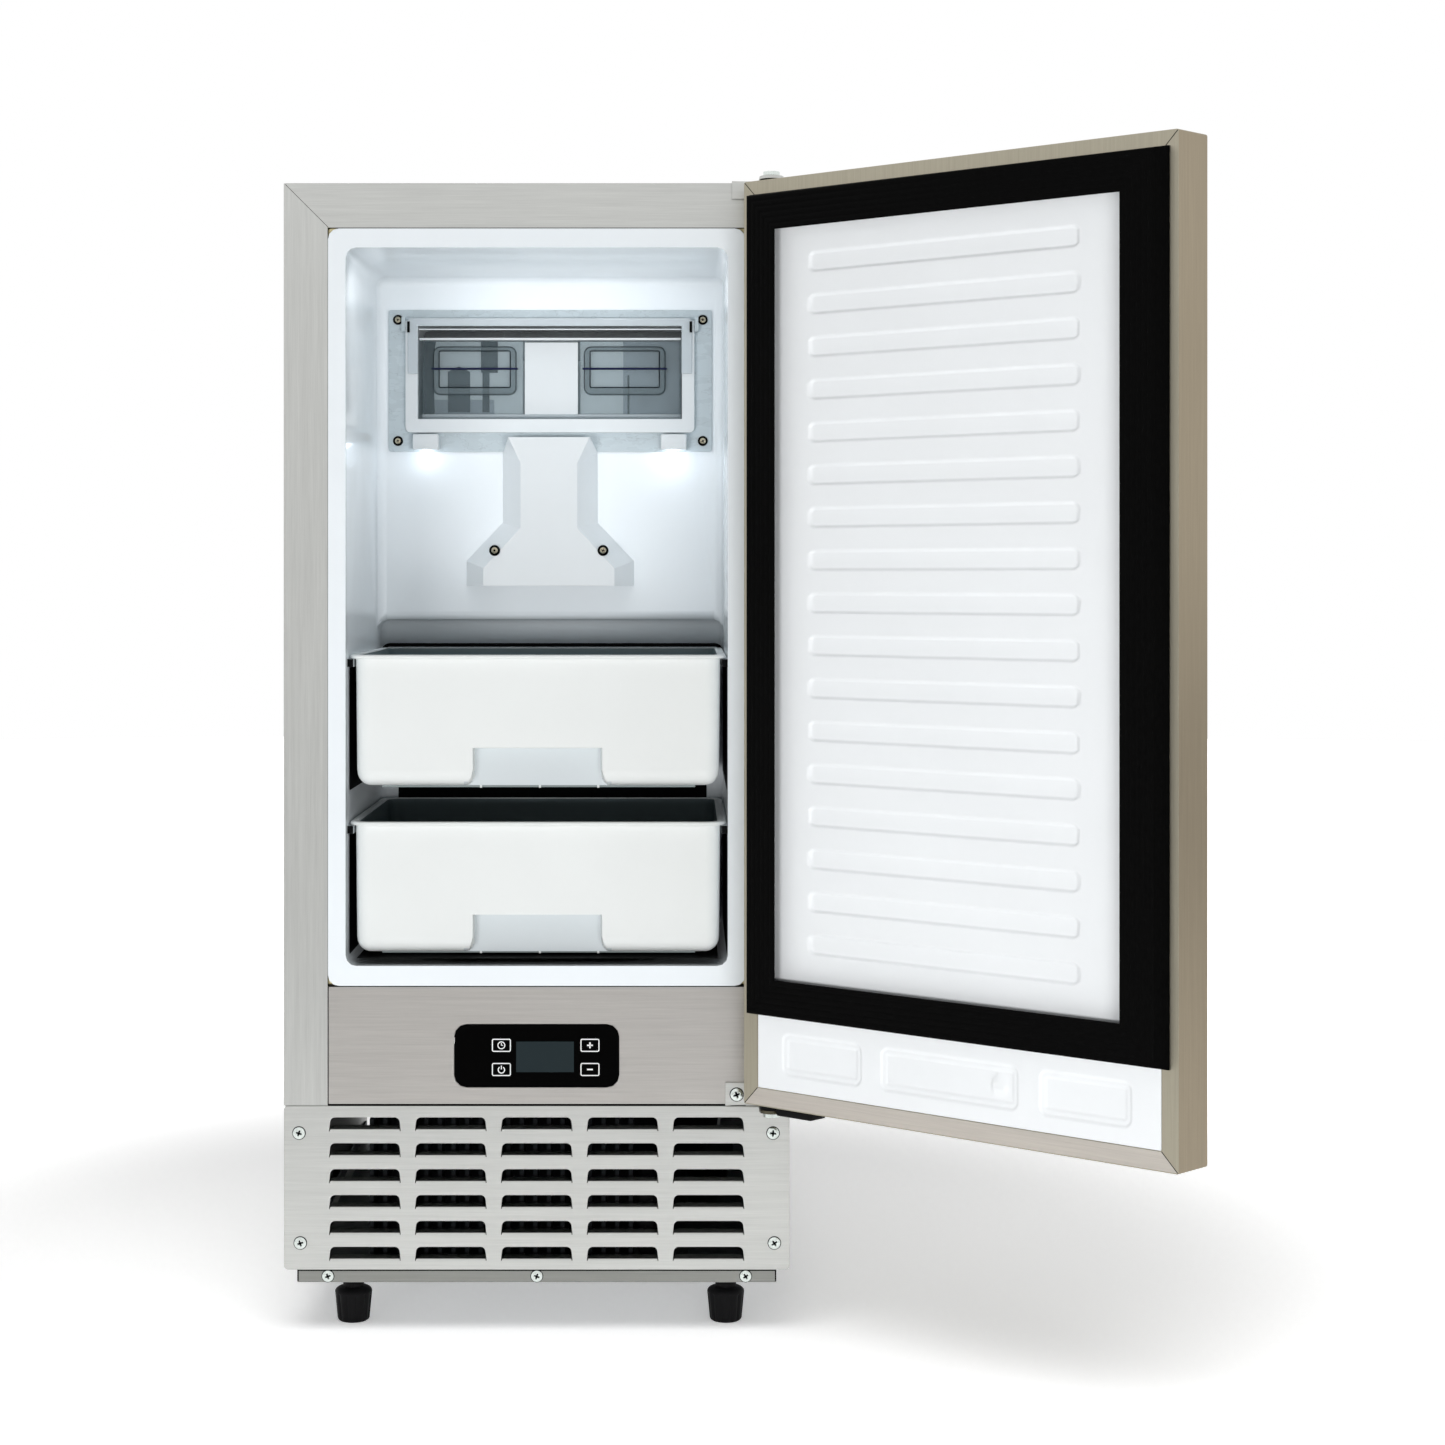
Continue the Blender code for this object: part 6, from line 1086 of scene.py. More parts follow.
def cut_below(obj, level):
    """Takes away what lies under a level."""
    bm = bmesh.new()
    bm.from_mesh(obj.data)
    everything = [*bm.verts, *bm.edges, *bm.faces]
    cut = bmesh.ops.bisect_plane(
        bm, geom=everything, plane_co=(0, 0, level), plane_no=(0, 0, 1), clear_inner=True,
    )
    edges = [item for item in cut["geom_cut"] if isinstance(item, bmesh.types.BMEdge)]
    bmesh.ops.holes_fill(bm, edges=edges)
    bm.to_mesh(obj.data)
    bm.free()
    smooth(obj)


def draw_in(obj, reach):
    """Narrows the tray's margin at the front so that its side walls stand behind the rail's ends there."""
    count = len(obj.data.vertices)
    places = np.empty(count * 3, np.float32)
    obj.data.vertices.foreach_get("co", places)
    places = places.reshape(-1, 3)
    across = np.abs(places[:, 0])
    start, end = reach - 20 * MM, across.max()
    narrowed = start + (across - start) * (reach - start) / (end - start)
    share = smooth_step((FRONT + 0.11 - places[:, 1]) / 0.03) * (across > start)
    places[:, 0] = np.sign(places[:, 0]) * (across + (narrowed - across) * share)
    obj.data.vertices.foreach_set("co", places.ravel())
    obj.data.update()


def build_sills():
    """The side panels' lower edges, folded in under the machine space: a quarter bend and a flat."""
    low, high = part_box("side_panel_left")
    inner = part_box("base_rail")[1].x - 2 * MM
    bend = 1 * MM
    turn = np.radians(np.linspace(0, 90, 5))
    across = np.concatenate([[-low.x], -low.x - bend + bend * np.cos(turn), [inner]])
    rise = np.concatenate([[3 * bend], bend * (1 - np.sin(turn)), [0.0]])
    ends = np.array([[FRONT + 12 * MM], [high.y]])
    grids = [grid_points(side * across, ends, GRILLE_LOW.z + rise) for side in (-1, 1)]
    piece("side_sills", grids, "cabinet", "stainless_level", SHARP, ring=False)


def build_seams():
    """Dark seals behind the joints of the front: round the liner's flange, beside and under the fascia, and
    along the mitres of the top corners; and painted shadow lines along the rail's top and at its ends."""
    y = FRONT + 0.35 * MM
    fascia_low, fascia_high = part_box("control_fascia")
    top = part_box("top_panel")[1].z
    half_x = (STILE_EDGE + LINER_HIGH.x) / 2
    half_z = (LINER_HIGH.z - LINER_LOW.z) / 2 + 0.25 * MM
    a, b = rings(half_x, half_z, 2 * MM, [0.45 * MM, -0.45 * MM], loop_round(4))
    flange = grid_points(a, y, b + (LINER_HIGH.z + LINER_LOW.z) / 2)
    piece("flange_seam", [flange], "cabinet", "dark_slot", front=True)
    seam_z = (GRILLE_HIGH.z + fascia_low.z) / 2
    lines = [stroke([(-STILE_EDGE, seam_z), (STILE_EDGE, seam_z)], 1.5 * MM, y)]
    for side in (-1, 1):
        x = side * (STILE_EDGE + fascia_high.x) / 2
        lines.append(stroke([(x, fascia_low.z), (x, fascia_high.z)], 1.2 * MM, y))
        corner = (side * (STILE_EDGE + STILE_WIDTH - 1 * MM), top - 1 * MM)
        lines.append(stroke([corner, (side * STILE_EDGE, top - STILE_WIDTH)], 0.9 * MM, y))
    rail_low, rail_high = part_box("base_rail")
    rail_y, level = rail_low.y - 0.05 * MM, rail_high.z - 0.4 * MM
    lines.append(stroke([(rail_low.x, level), (rail_high.x, level)], 0.9 * MM, rail_y))
    for x in (rail_low.x + 0.5 * MM, rail_high.x - 0.5 * MM):
        lines.append(stroke([(x, rail_low.z + 1 * MM), (x, rail_high.z)], 1.1 * MM, rail_y))
    piece("front_seams", lines, "cabinet", "dark_slot", ring=False, front=True)


class ICEMAKER_OT_liner(PieceOperator, bpy.types.Operator):
    """White glossy liner with a rolled opening edge"""

    bl_idname = "ice_maker.liner"
    bl_label = "Inner liner"

    def execute(self, context):
        sizes = context.scene.ice_maker_sizes
        obj = smooth(merged_copy("inner_liner"))
        weigh_opening(obj, sizes.opening_edge, sizes.edge)
        dress(obj, "cabinet", "formed_liner", ("inner_liner",))
        tone_faces(obj, "dark_slot", faces_ledge_end)
        return {"FINISHED"}


def faces_ledge_end(centres, normals):
    """True for the front ends of the ledges that carry the bins, which stand in the bins' shadow."""
    beside = (np.abs(centres[:, 0]) > 136 * MM) & (np.abs(centres[:, 0]) < LINER_HIGH.x - 11 * MM)
    behind = (centres[:, 1] > FRONT + 6 * MM) & (centres[:, 1] < FRONT + 30 * MM)
    return beside & behind & (normals[:, 1] < -0.5)


def weigh_opening(obj, width, fine):
    """Bevel weights: one on the edge where the flange turns into the cabinet, less on other sharp edges."""
    mesh = obj.data
    bm = bmesh.new()
    bm.from_mesh(mesh)
    layer = bm.edges.layers.float.new("bevel_weight_edge")
    inner_x = LINER_HIGH.x - LINER_FLANGE + 1 * MM
    low_z, high_z = LINER_LOW.z + LINER_FLANGE, LINER_HIGH.z - LINER_FLANGE
    for edge in bm.edges:
        if not edge.is_manifold or edge.calc_face_angle(0) < SHARP_ANGLE:
            continue
        middle = (edge.verts[0].co + edge.verts[1].co) / 2
        in_opening = abs(middle.x) < inner_x and low_z < middle.z < high_z
        edge[layer] = 1.0 if in_opening and middle.y < FRONT + fine else fine / width
    bm.to_mesh(mesh)
    bm.free()
    bevel = obj.modifiers.new("edge", "BEVEL")
    bevel.width = width
    bevel.segments = 4
    bevel.limit_method = "WEIGHT"
    bevel.harden_normals = True


class ICEMAKER_OT_bins(PieceOperator, bpy.types.Operator):
    """Two moulded bins with rims and finger recesses, a painted shadow behind them and painted shade round
    them
    """

    bl_idname = "ice_maker.bins"
    bl_label = "Ice bins"

    def execute(self, context):
        for node in ("upper_bin", "lower_bin"):
            build_bin(node, context.scene.ice_maker_sizes.recess_depth)
        build_painted_rim_shadow()
        build_painted_gap_shade()
        return {"FINISHED"}


def build_painted_gap_shade():
    """Painted shade in the gaps round the bins: thin black sheets on the liner's walls beside each bin,
    across the rear wall between them, and under the lower one."""
    wall, sheets = LINER_HIGH.x - LINER_FLANGE, []
    for node in ("upper_bin", "lower_bin"):
        low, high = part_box(node)
        y = np.linspace(FRONT + 23 * MM, high.y, 5)
        z = np.linspace(low.z - 1.5 * MM, high.z - 9.6 * MM, 4)
        grid_y, grid_z = np.meshgrid(y, z, indexing="ij")
        for side in (-1, 1):
            sheet = grid_points(side * (wall - 0.25 * MM), grid_y, grid_z)
            sheets.append(sheet if side < 0 else sheet[:, ::-1])
    low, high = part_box("lower_bin")
    even = np.linspace(-1, 1, 5)
    across, back = np.meshgrid(even * (wall - 7 * MM), np.linspace(FRONT + 9 * MM, high.y, 5))
    sheets.append(grid_points(across, back, low.z - 1.2 * MM))
    across, up = np.meshgrid(even * 0.13, np.linspace(high.z - 8 * MM, high.z + 12 * MM, 3))
    sheets.append(grid_points(across, FRONT + CAVITY_DEPTH - 0.3 * MM, up))
    piece("slide_tapes", sheets, "cabinet", "dark_slot", ring=False)


def build_painted_rim_shadow():
    """Painted shadow behind the upper bin's rear rim: a dark round bead on the rear wall, carried along the
    wall, round its corners and down beside it."""
    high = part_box("upper_bin")[1]
    half, corner, radius = high.x - 0.2 * MM, 6 * MM, 1.4 * MM
    top, foot = high.z + 1.9 * MM, high.z - 14 * MM
    bend = np.radians(np.linspace(0, 90, 7))
    right = [(half - corner + corner * math.cos(a), top - corner + corner * math.sin(a)) for a in bend]
    path = np.array([(half, foot)] + right + [(-x, z) for x, z in reversed(right)] + [(-half, foot)])
    run = np.gradient(path, axis=0)
    run = run / np.linalg.norm(run, axis=1, keepdims=True)
    angle = np.linspace(0, math.tau, 12, endpoint=False)
    across, back = radius * np.cos(angle), radius * np.sin(angle)
    x = path[:, :1] - run[:, 1:] * across
    z = path[:, 1:] + run[:, :1] * across
    bead = grid_points(x, high.y + 3.5 * MM + back, z)
    piece("bin_bumper", [bead], "cabinet", "dark_slot", SHARP, outward=True)


class ICEMAKER_OT_chute(PieceOperator, bpy.types.Operator):
    """Chute plate, flap with its windows, cap and panel, lamps and their light"""

    bl_idname = "ice_maker.chute"
    bl_label = "Ice chute and flap"

    def execute(self, context):
        edge = context.scene.ice_maker_sizes.edge
        finish_nodes("milky_acrylic", ("chute_plate",), edge)
        finish_nodes("moulded_white", ("flap_frame", "flap_panel", "chute_duct", *LAMPS), edge)
        finish_nodes("frosted_cap", ("flap_cap",), edge)
        finish_nodes("smoked_styrene", ("flap_window",), edge)
        build_window_frames()
        build_flap_edges()
        build_gate()
        build_hinge_slots()
        build_lamp_lenses()
        return {"FINISHED"}


def build_window_frames():
    """Raised rounded frames on the two windows, their dark outlines, and a bar across each."""
    low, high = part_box("flap_window")
    back = high.y - WINDOW_WALL
    face = back - 2.25 * MM
    drop = np.array([0.0, 0.9, 4.8, 5.6]) * MM
    lift = np.array([0.0, 2.2, 2.2, 0.0])[:, None] * MM
    sink = np.array([0.0, 0.2, 1.2, 1.4])[:, None] * MM
    middle_z, level = low.z + 41.4 * MM, low.z + 43 * MM
    frames, bars, outlines = [], [], []
    for middle_x, half_x in ((-64 * MM, 35.2 * MM), (61.4 * MM, 34.4 * MM)):
        a, b = rings(half_x, 20.6 * MM, 6.5 * MM, -drop, loop_round(6))
        frames.append(grid_points(a + middle_x, back - lift, b + sink + middle_z))
        outer, inner = (half_x - 0.6 * MM, 20 * MM), (half_x - 5 * MM, 15.7 * MM)
        outlines.append(frame_line((middle_x, middle_z), outer, 6 * MM, 0.5 * MM, face))
        outlines.append(frame_line((middle_x, middle_z + 1.2 * MM), inner, 1.8 * MM, 0.9 * MM, face))
        reach = half_x + 1 * MM
        bars.append(block(
            (middle_x - reach, back - 3.4 * MM, level - 0.8 * MM),
            (middle_x + reach, back - 0.2 * MM, level + 0.8 * MM), 0.7 * MM,
        ))
    piece("window_frames", frames, "flap", "smoked_rim", SHARP)
    piece("window_outlines", outlines, "flap", "dark_shape", front=True)
    piece("window_bars", bars, "flap", "tinted_line", SHARP, outward=True)


def build_flap_edges():
    """The bright upper edge of the windows, the rolled lower edge of the cap, and the sill strip."""
    low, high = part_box("flap_window")
    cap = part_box("flap_cap")[0]
    reach, front = high.x - 0.6 * MM, low.y - 0.3 * MM
    edges = [
        block((-reach, front, high.z - 1.9 * MM), (reach, front + 1.5 * MM, high.z), 0.5 * MM),
        block((-reach, cap.y, CAP_EDGE), (reach, cap.y + 1 * MM, CAP_EDGE + 1 * MM), 0.4 * MM),
    ]
    piece("flap_edges", edges, "flap", "moulded_white", SHARP, outward=True)
    near, foot = high.y - 5 * MM, low.z + 0.8 * MM
    sill = block((-reach, near, foot), (reach, high.y - 2 * MM, low.z + 5 * MM), 0.8 * MM)
    piece("flap_sill", [sill], "flap", "frosted_cap", SHARP, outward=True)


def build_gate():
    """What shows through the windows: the chute's pale inner gate, the darker guide beside it, and the ice
    level lever, a house-shaped paddle on a post. Outlines are across and up from the windows' lowest edge."""
    low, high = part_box("flap_window")
    tall = (high.z - low.z) / MM - 1

    def upright(left, right, foot=0.0, head=tall):
        """A plain rectangle from its sides, foot and head."""
        return (left, foot), (right, foot), (right, head), (left, head)

    shapes = {
        "pale_gate": (upright(-107, -24), upright(24, 60)),
        "grey_gate": (upright(60, 107), upright(-98, -48, 5, 17.5)),
        "dark_shape": (
            # The first dark outline is painted shadow: the duct's left wall in shade
            ((-107, 0.4), (-98, 0.4), (-99, 58), (-97, tall), (-107, tall)),
            ((-86.9, 7), (-68.3, 7), (-68.3, 40.8), (-77.5, 45.4), (-86.9, 40.8)),
            upright(-59.2, -45.1, 40), upright(-57.9, -52.1, 7, 40), upright(63.6, 65.2, 5, 38),
        ),
    }
    for layer, (name, outlines) in enumerate(shapes.items()):
        near = high.y + 3 * MM - layer * 0.6 * MM
        grids = []
        for outline in outlines:
            points = np.array(outline, float) * MM + (0, low.z)
            centre = np.broadcast_to(points.mean(axis=0), points.shape)
            rows = [(centre, near), (points, near), (points, near + 0.5 * MM), (centre, near + 0.5 * MM)]
            grids.append(np.stack([grid_points(row[:, 0], depth, row[:, 1]) for row, depth in rows]))
        piece(f"chute_{name}", grids, "cabinet", name, outward=True)


def build_hinge_slots():
    """The dark slots at the flap's upper corners, where its arms turn."""
    aside, near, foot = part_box("flap_frame")[1].x - 6.4 * MM, PLATE_LOW.y - 5 * MM, HINGE_SLOT_FOOT
    slots = []
    for x in (-aside, aside):
        slots.append(block(
            (x - 1.1 * MM, near, foot), (x + 1.1 * MM, near + 1 * MM, foot + 9.1 * MM), 0.3 * MM,
        ))
    piece("hinge_slots", slots, "flap", "dark_slot", SHARP, outward=True)


def build_lamp_lenses():
    """A small lit lens under each lamp housing."""
    lenses = []
    for node in LAMPS:
        low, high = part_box(node)
        centre = ((low.x + high.x) / 2, low.y + 6 * MM)
        lenses.append(round_stub(centre, 1.6 * MM, low.z - 3 * MM, low.z + 0.4 * MM))
    piece("lamp_lenses", lenses, "cabinet", "lamp_light", SHARP, outward=True)


class ICEMAKER_OT_sensor_cover(PieceOperator, bpy.types.Operator):
    """Bell-shaped cover under the chute with soft edges"""

    bl_idname = "ice_maker.sensor_cover"
    bl_label = "Sensor cover"

    def execute(self, context):
        finish_nodes("moulded_white", ("sensor_cover",), context.scene.ice_maker_sizes.cover_edge, 4)
        return {"FINISHED"}


class ICEMAKER_OT_display(PieceOperator, bpy.types.Operator):
    """Glossy lens, liquid crystal window, four printed keys and their signs"""

    bl_idname = "ice_maker.display"
    bl_label = "Display and keys"

    def execute(self, context):
        sizes = context.scene.ice_maker_sizes
        finish_nodes("display_acrylic", ("display_lens",), sizes.edge)
        finish_nodes("circuit_board", ("display_board",), 0)
        build_display_window(LENS_LOW.y, 0.00004)
        build_keys(LENS_LOW.y - 0.00004, sizes.print_line)
        return {"FINISHED"}


def build_display_window(y, lift):
    """The liquid crystal window, a thin pane just proud of the lens."""
    x, z = LENS_MIDDLE
    window = block((x - 15.4 * MM, y - lift, z - 12.2 * MM), (x + 28 * MM, y + lift, z + 10.8 * MM), 0.00003)
    piece("display_window", [window], "cabinet", "display_window", outward=True)


def build_keys(y, line):
    """Four printed key outlines and their signs."""
    places = [(x, z) for x in KEY_COLUMNS for z in KEY_ROWS]
    prints = [frame_line(place, (0.00715, 0.0049), 0.0014, line, y) for place in places]
    piece("key_outlines", prints, "cabinet", "key_print", front=True)
    piece("key_signs", key_signs(y, line), "cabinet", "key_print", ring=False, front=True)


def face_front(obj):
    """Turns the flat faces of a printed piece towards the front."""
    bm = bmesh.new()
    bm.from_mesh(obj.data)
    bm.normal_update()
    away = [face for face in bm.faces if face.normal.y > 0]
    bmesh.ops.reverse_faces(bm, faces=away)
    bm.to_mesh(obj.data)
    bm.free()
    return obj


def key_signs(y, line):
    """Generic signs: a clock and a power sign on the left, plus and minus on the right."""
    (left, right), (upper, lower) = KEY_COLUMNS, KEY_ROWS
    turn = np.linspace(0, math.tau, 33)[:-1]
    clock = np.stack([left + 0.0026 * np.cos(turn), upper + 0.0026 * np.sin(turn)], axis=1)
    turn = np.radians(np.linspace(125, 415, 25))
    power = np.stack([left + 0.0024 * np.cos(turn), lower - 0.0003 + 0.0024 * np.sin(turn)], axis=1)
    arm, bold = 0.0022, line * 1.5
    return [
        stroke(clock, line * 0.9, y, True),
        stroke([(left, upper + 0.0018), (left, upper), (left + 0.0013, upper)], line * 0.8, y),
        stroke(power, line, y),
        stroke([(left, lower + 0.0001), (left, lower + 0.0029)], line, y),
        stroke([(right - arm, upper), (right + arm, upper)], bold, y),
        stroke([(right, upper - arm), (right, upper + arm)], bold, y),
        stroke([(right - arm, lower), (right + arm, lower)], bold, y),
    ]


class ICEMAKER_OT_door(PieceOperator, bpy.types.Operator):
    """Folded door skin with its mitred returns, the pressed liner, the bushes and the stop block"""

    bl_idname = "ice_maker.door"
    bl_label = "Door"

    def execute(self, context):
        sizes = context.scene.ice_maker_sizes
        (skin,) = finish_nodes("stainless_door", ("door_skin",), sizes.edge)
        tone_faces(skin, "stainless_edge", faces_free_side)
        finish_nodes("black_moulding", ("door_stop", "door_bush_top", "door_bush_bottom"), sizes.edge)
        low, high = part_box("door_liner")
        panel = door_panel_grid(low.z, high.z, DOOR_FACE - FIT, sizes.slot_depth, sizes.slot_edge)
        piece(
            "door_liner.pressed", [turned_open(panel)[:, ::-1]], "door", "formed_door_liner", 60,
            ring=False, replaced=("door_liner",),
        )
        build_bottom_return()
        build_door_mitres()
        return {"FINISHED"}


def faces_free_side(centres, normals):
    """True for the faces that look away from the hinge, which get a darker, browner painted reflection."""
    return normals @ DOOR_TURNED.T @ np.array([1, 0, 0]) < -0.5


def build_bottom_return():
    """The lower return of the door's skin, a mitred strip with level brushing, made lighter by a painted
    highlight.
    """
    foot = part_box("door_skin")[0].z
    rows = [
        grid_points(np.linspace(-1, 1, 9) * (DOOR_HALF - inset), DOOR_FACE + 0.04 * MM, foot + inset)
        for inset in (0.9 * MM, DOOR_RETURN - 0.2 * MM)
    ]
    strip = turned_open(np.stack(rows))[:, ::-1]
    piece("door_bottom_return", [strip], "door", "stainless_return", ring=False)


def build_door_mitres():
    """Thin dark lines where the folded returns of the skin meet at its corners."""
    low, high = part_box("door_skin")
    lines = []
    for side in (-1, 1):
        for z, way in ((low.z, 1), (high.z, -1)):
            outer = (side * (DOOR_HALF - 0.8 * MM), z + way * 0.8 * MM)
            inner = (side * (DOOR_HALF - DOOR_RETURN), z + way * DOOR_RETURN)
            lines.append(turned_open(stroke([outer, inner], 0.6 * MM, DOOR_FACE + 0.05 * MM)))
    piece("door_mitres", lines, "door", "dark_slot", ring=False)


class ICEMAKER_OT_gasket(PieceOperator, bpy.types.Operator):
    """Ribbed magnetic gasket round the door"""

    bl_idname = "ice_maker.gasket"
    bl_label = "Door gasket"

    def execute(self, context):
        sizes = context.scene.ice_maker_sizes
        low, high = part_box("door_gasket")
        grid = gasket_grid(low.z, high.z, DOOR_FACE + FIT, 12 * MM - FIT, sizes.rib_pitch, sizes.rib_depth)
        band = [turned_open(grid)]
        piece("door_gasket.ribbed", band, "door", "gasket_extrusion", 55, replaced=("door_gasket",))
        return {"FINISHED"}


class ICEMAKER_OT_hinges(PieceOperator, bpy.types.Operator):
    """Hinge brackets and their pins"""

    bl_idname = "ice_maker.hinges"
    bl_label = "Hinges"

    def execute(self, context):
        edge = context.scene.ice_maker_sizes.edge
        finish_nodes("stainless_level", ("hinge_bracket_top",), edge)
        (lower,) = finish_nodes("stainless_level", ("hinge_bracket_bottom",), edge)
        # The lower hinge bracket's part in front of the cabinet is drawn in a darker colour
        tone_faces(lower, "hinge_bronze", lambda centres, normals: centres[:, 1] < FRONT - 4 * MM)
        finish_nodes("zinc_screw", ("hinge_pin_top", "hinge_pin_bottom"), edge)
        return {"FINISHED"}


class ICEMAKER_OT_feet(PieceOperator, bpy.types.Operator):
    """Four fluted levelling feet"""

    bl_idname = "ice_maker.feet"
    bl_label = "Levelling feet"

    def execute(self, context):
        for node in ("foot_front_left", "foot_front_right", "foot_rear_left", "foot_rear_right"):
            low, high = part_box(node)
            piece(f"{node}.fluted", [foot_grid(low, high)], node, "black_moulding", SHARP, replaced=(node,))
        return {"FINISHED"}


class ICEMAKER_OT_fasteners(PieceOperator, bpy.types.Operator):
    """Crosshead screws on the grille, rail, hinges, chute plate, sensor cover and rear panels"""

    bl_idname = "ice_maker.fasteners"
    bl_label = "Screws"

    def execute(self, context):
        radius = context.scene.ice_maker_sizes.screw_radius
        front_screws(radius)
        cavity_screws(radius)
        rear_screws(radius)
        return {"FINISHED"}


def front_screws(radius):
    """Four screws on the grille, three on the rail and one on the lower hinge."""
    side, low, high = 178 * MM, GRILLE_LOW.z + 20.3 * MM, GRILLE_LOW.z + 103.1 * MM
    places = [(-side, FRONT, low), (-side - MM, FRONT, high), (side + MM, FRONT, low), (side, FRONT, high)]
    screws("grille_screws", places, radius)
    low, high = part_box("base_rail")
    places = [(x, low.y, (low.z + high.z) / 2) for x in (-0.1574, 0.0, 0.1574)]
    screws("rail_screws", places, radius * 0.95)
    screws("hinge_screws", [(0.1506, FRONT - 2.8 * MM, 0.1444)], radius * 1.05)


def cavity_screws(radius):
    """Dark-domed screws at the chute plate's corners, and two on the sensor cover, on raised seats."""
    places = [(x, PLATE_FACE, z) for x in (-0.1262, 0.1265) for z in (0.6465, 0.747)]
    ringed_screws("plate_screws", places, radius * 0.92)
    y, z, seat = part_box("sensor_cover")[0].y - 0.2 * MM, 0.5555, 5.2 * MM
    places = [(x, y, z) for x in (-0.0445, 0.0445)]
    seats = [block((x - seat, y, z - seat), (x + seat, y + 9 * MM, z + seat), seat, 8) for x, y, z in places]
    piece("cover_seats", seats, "cabinet", "moulded_white", SHARP, outward=True)
    ringed_screws("cover_screws", places, radius)


def rear_screws(radius):
    """Screws down both edges of the two rear panels."""
    places = []
    for node, count in (("back_panel", 4), ("rear_service_panel", 2)):
        low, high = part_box(node)
        heights = np.linspace(low.z + 20 * MM, high.z - 20 * MM, count)
        places += [(x, high.y, z) for x in (low.x + 9 * MM, high.x - 9 * MM) for z in heights]
    screws("rear_screws", places, radius * 0.9, "+y")


class ICEMAKER_OT_works(PieceOperator, bpy.types.Operator):
    """Finishes of the working parts behind the liner and the grille"""

    bl_idname = "ice_maker.works"
    bl_label = "Working parts"

    def execute(self, context):
        finishes = {
            "blown_foam": ("cabinet_foam", "door_foam"),
            "galvanised_sheet": ("bulkhead", "machine_deck", "module_bracket"),
            "cast_aluminium": ("evaporator_barrel", "gearbox"),
            "coated_fins": ("condenser",),
            "drawn_copper": ("evaporator_coil",),
            "black_enamel": ("gear_motor", "compressor", "compressor_base", "fan_motor"),
            "black_moulding": ("fan_shroud", "fan_blade", "cord_gland", "filter_drier"),
            "moulded_white": ("outlet_head", "water_tank", "control_box", "drain_outlet"),
            "turned_brass": ("inlet_valve",),
            "stainless_upright": ("auger",),
        }
        for name, nodes in finishes.items():
            for node in nodes:
                for place in NODES[node].material_slots:
                    place.material = finish(name)
        return {"FINISHED"}


class ICEMAKER_OT_stage(PieceOperator, bpy.types.Operator):
    """Pale floor, white surroundings, soft lamps and the camera"""

    bl_idname = "ice_maker.stage"
    bl_label = "Stage, lights and camera"

    def execute(self, context):
        stage = context.scene.ice_maker_stage
        build_world(context, stage.fill)
        build_floor()
        for name, x, share in (("left_lamp", -1.1, 1.0), ("right_lamp", 0.8, 0.95)):
            build_lamp(name, (x, -3.2, 0.26), (0.0, 0.0, 0.35), (1.0, 0.3), stage.front * share)
        inside = build_lamp("cavity_lamp", (0.0, FRONT + 0.02, 0.77), (0.0, -0.08, 0.42), (0.24, 0.02), 0.17)
        light_only(inside, "inner_liner.finished")
        above = build_lamp("floor_lamp", (-0.1, -1.7, 2.4), (0.2, -0.3, 0.0), (2.2, 1.4), stage.high)
        light_only(above, "floor")
        build_cabinet_lights()
        build_camera(context, stage)
        context.scene.view_settings.view_transform = "Standard"
        return {"FINISHED"}


def seen_directly(tree):
    """One for camera, mirror and see-through rays, and nought for the rays that carry light."""
    path = add(tree, "ShaderNodeLightPath")
    most = add(tree, "ShaderNodeMath", {"operation": "MAXIMUM"}, {
        0: path.outputs["Is Camera Ray"], 1: path.outputs["Is Glossy Ray"],
    })
    return add(tree, "ShaderNodeMath", {"operation": "MAXIMUM"}, {
        0: most.outputs["Value"], 1: path.outputs["Is Transmission Ray"],
    }).outputs["Value"]


def build_world(context, fill):
    """White where it is seen or mirrored, and a softer even light for everything else."""
    world = bpy.data.worlds.new("studio")
    world.use_nodes = True
    tree = world.node_tree
    tree.nodes.clear()
    strength = add(tree, "ShaderNodeMapRange", inputs={
        "Value": seen_directly(tree), "To Min": fill, "To Max": 1.0,
    })
    light = add(tree, "ShaderNodeBackground", inputs={
        "Color": (1, 1, 1, 1), "Strength": strength.outputs["Result"],
    })
    output = add(tree, "ShaderNodeOutputWorld")
    tree.links.new(light.outputs["Background"], output.inputs["Surface"])
    context.scene.world = world


def eased(tree, value, start, end, low, high):
    """Low where the value is below start, high where it is past end, and a smooth rise between."""
    return add(tree, "ShaderNodeMapRange", {"interpolation_type": "SMOOTHSTEP"}, {
        "Value": value, "From Min": start, "From Max": end, "To Min": low, "To Max": high,
    }).outputs["Result"]


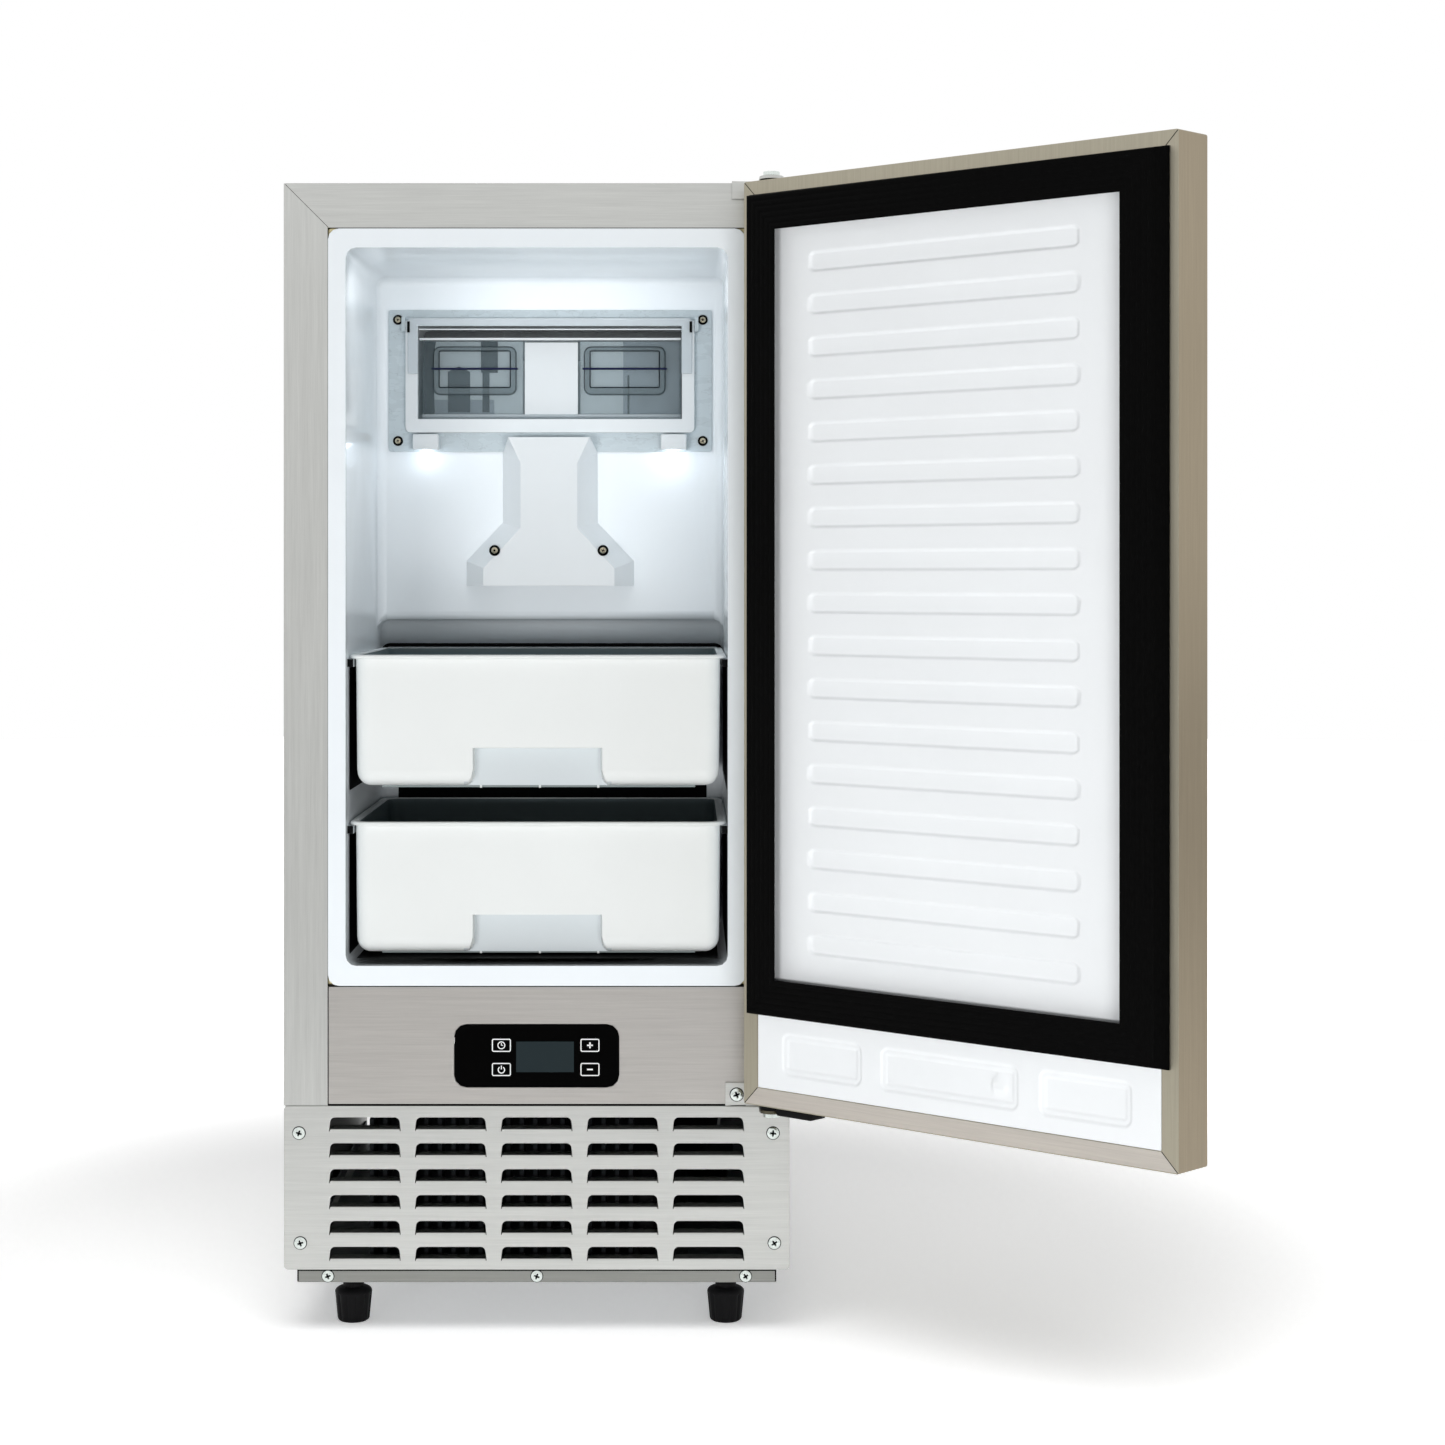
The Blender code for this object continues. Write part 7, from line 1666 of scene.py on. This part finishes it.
def build_floor():
    """A round white floor at the feet's lowest point, as rings of growing radius. It is darker well in front,
    where the metal mirrors it, and a glow that grows with the distance from the middle lifts it to the
    background's white where it is seen."""
    radius = np.array([0.0, 0.4, 0.8, 1.2, 1.8, 2.6, 4.0, 8.0])
    angle = np.linspace(0, math.tau, 96, endpoint=False)
    r, a = np.meshgrid(radius, angle, indexing="ij")
    level = min(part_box(f"foot_front_{side}")[0].z for side in ("left", "right"))
    obj = grid_object("floor", [grid_points(r * np.cos(a), r * np.sin(a), level)])
    material, tree, shader = new_material("white_sweep", linear("#f6f6f6"), 0.9)
    place = coordinates(tree)
    away = add(tree, "ShaderNodeSeparateXYZ", inputs={0: place}).outputs["Y"]
    tree.links.new(eased(tree, away, -1.6, -0.6, 0.32, 0.92), shader.inputs["Base Color"])
    distance = add(tree, "ShaderNodeVectorMath", {"operation": "LENGTH"}, {0: place}).outputs["Value"]
    camera = add(tree, "ShaderNodeLightPath").outputs["Is Camera Ray"]
    lift = add(tree, "ShaderNodeMapRange", inputs={
        "Value": camera, "To Min": 0.3, "To Max": eased(tree, distance, 0.45, 1.1, 0.3, 1.15),
    }).outputs["Result"]
    seen = add(tree, "ShaderNodeMath", {"operation": "MULTIPLY"}, {0: lift, 1: seen_directly(tree)})
    glow = add(tree, "ShaderNodeEmission", inputs={"Color": (1, 1, 1, 1), "Strength": seen.outputs["Value"]})
    both = add(tree, "ShaderNodeAddShader", inputs={0: shader.outputs["BSDF"], 1: glow.outputs["Emission"]})
    output = next(node for node in tree.nodes if node.type == "OUTPUT_MATERIAL")
    tree.links.new(both.outputs["Shader"], output.inputs["Surface"])
    obj.data.materials.append(material)


def build_lamp(name, place, target, size, power):
    """A soft lamp of a width and height, turned towards its target."""
    data = bpy.data.lights.new(name, "AREA")
    data.shape = "RECTANGLE"
    data.size, data.size_y = size
    data.energy = power
    lamp = bpy.data.objects.new(name, data)
    lamp.visible_glossy = False
    lamp.visible_camera = False
    lamp.location = place
    aim = np.array(target) - np.array(place)
    level = math.hypot(aim[0], aim[1])
    lamp.rotation_euler = (math.atan2(level, -aim[2]), 0, math.atan2(-aim[0], aim[1]))
    bpy.context.scene.collection.objects.link(lamp)
    return lamp


def light_only(lamp, receiver):
    """Lets a lamp light one object alone."""
    lit = bpy.data.collections.new(f"lit by {lamp.name}")
    lit.objects.link(bpy.data.objects[receiver])
    lamp.light_linking.receiver_collection = lit


def build_cabinet_lights():
    """The light that the two small lenses throw down the wall."""
    for node in LAMPS:
        low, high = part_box(node)
        data = bpy.data.lights.new(f"{node}.light", "POINT")
        data.energy = 0.004
        data.color = bpy.context.scene.ice_maker_colours.glow
        data.shadow_soft_size = 2 * MM
        lamp = bpy.data.objects.new(f"{node}.light", data)
        lamp.visible_glossy = False
        lamp.location = ((low.x + high.x) / 2, low.y + 3 * MM, low.z - 5 * MM)
        bpy.context.scene.collection.objects.link(lamp)


def build_camera(context, stage):
    """The camera looks level along +Y; its shift puts the object where the photograph has it."""
    data = bpy.data.cameras.new("view")
    data.sensor_width = 36.0
    data.lens = stage.lens
    data.shift_x = 0.0266
    data.shift_y = -0.1
    camera = bpy.data.objects.new("view", data)
    camera.location = (stage.sideways, FRONT - stage.distance, stage.height)
    camera.rotation_euler = (math.radians(90), 0, 0)
    context.scene.collection.objects.link(camera)
    context.scene.camera = camera


class ICEMAKER_PT_panel(bpy.types.Panel):
    """Lists the pieces, sizes and colours"""

    bl_idname = "ICEMAKER_PT_panel"
    bl_label = "Ice maker"
    bl_space_type = "VIEW_3D"
    bl_region_type = "UI"
    bl_category = "Ice maker"

    def draw(self, context):
        layout = self.layout
        for operator in OPERATORS:
            layout.operator(operator.bl_idname)
        scene = context.scene
        for group in (scene.ice_maker_sizes, scene.ice_maker_colours, scene.ice_maker_stage):
            box = layout.box()
            for name in group.__annotations__:
                box.prop(group, name)


OPERATORS = (
    ICEMAKER_OT_cabinet, ICEMAKER_OT_liner, ICEMAKER_OT_bins, ICEMAKER_OT_chute, ICEMAKER_OT_sensor_cover,
    ICEMAKER_OT_display, ICEMAKER_OT_door, ICEMAKER_OT_gasket, ICEMAKER_OT_hinges, ICEMAKER_OT_feet,
    ICEMAKER_OT_fasteners, ICEMAKER_OT_works, ICEMAKER_OT_stage,
)
CLASSES = (IceMakerColours, IceMakerSizes, IceMakerStage, *OPERATORS, ICEMAKER_PT_panel)


def register():
    """Adds the classes and hangs the three groups on the scene."""
    for item in CLASSES:
        bpy.utils.register_class(item)
    bpy.types.Scene.ice_maker_colours = bpy.props.PointerProperty(type=IceMakerColours)
    bpy.types.Scene.ice_maker_sizes = bpy.props.PointerProperty(type=IceMakerSizes)
    bpy.types.Scene.ice_maker_stage = bpy.props.PointerProperty(type=IceMakerStage)


def unregister():
    """Takes back what register added."""
    del bpy.types.Scene.ice_maker_stage
    del bpy.types.Scene.ice_maker_sizes
    del bpy.types.Scene.ice_maker_colours
    for item in reversed(CLASSES):
        bpy.utils.unregister_class(item)


def main():
    """Builds every group in order."""
    register()
    for operator in OPERATORS:
        group, name = operator.bl_idname.split(".")
        getattr(getattr(bpy.ops, group), name)()


if __name__ == "__main__":
    main()
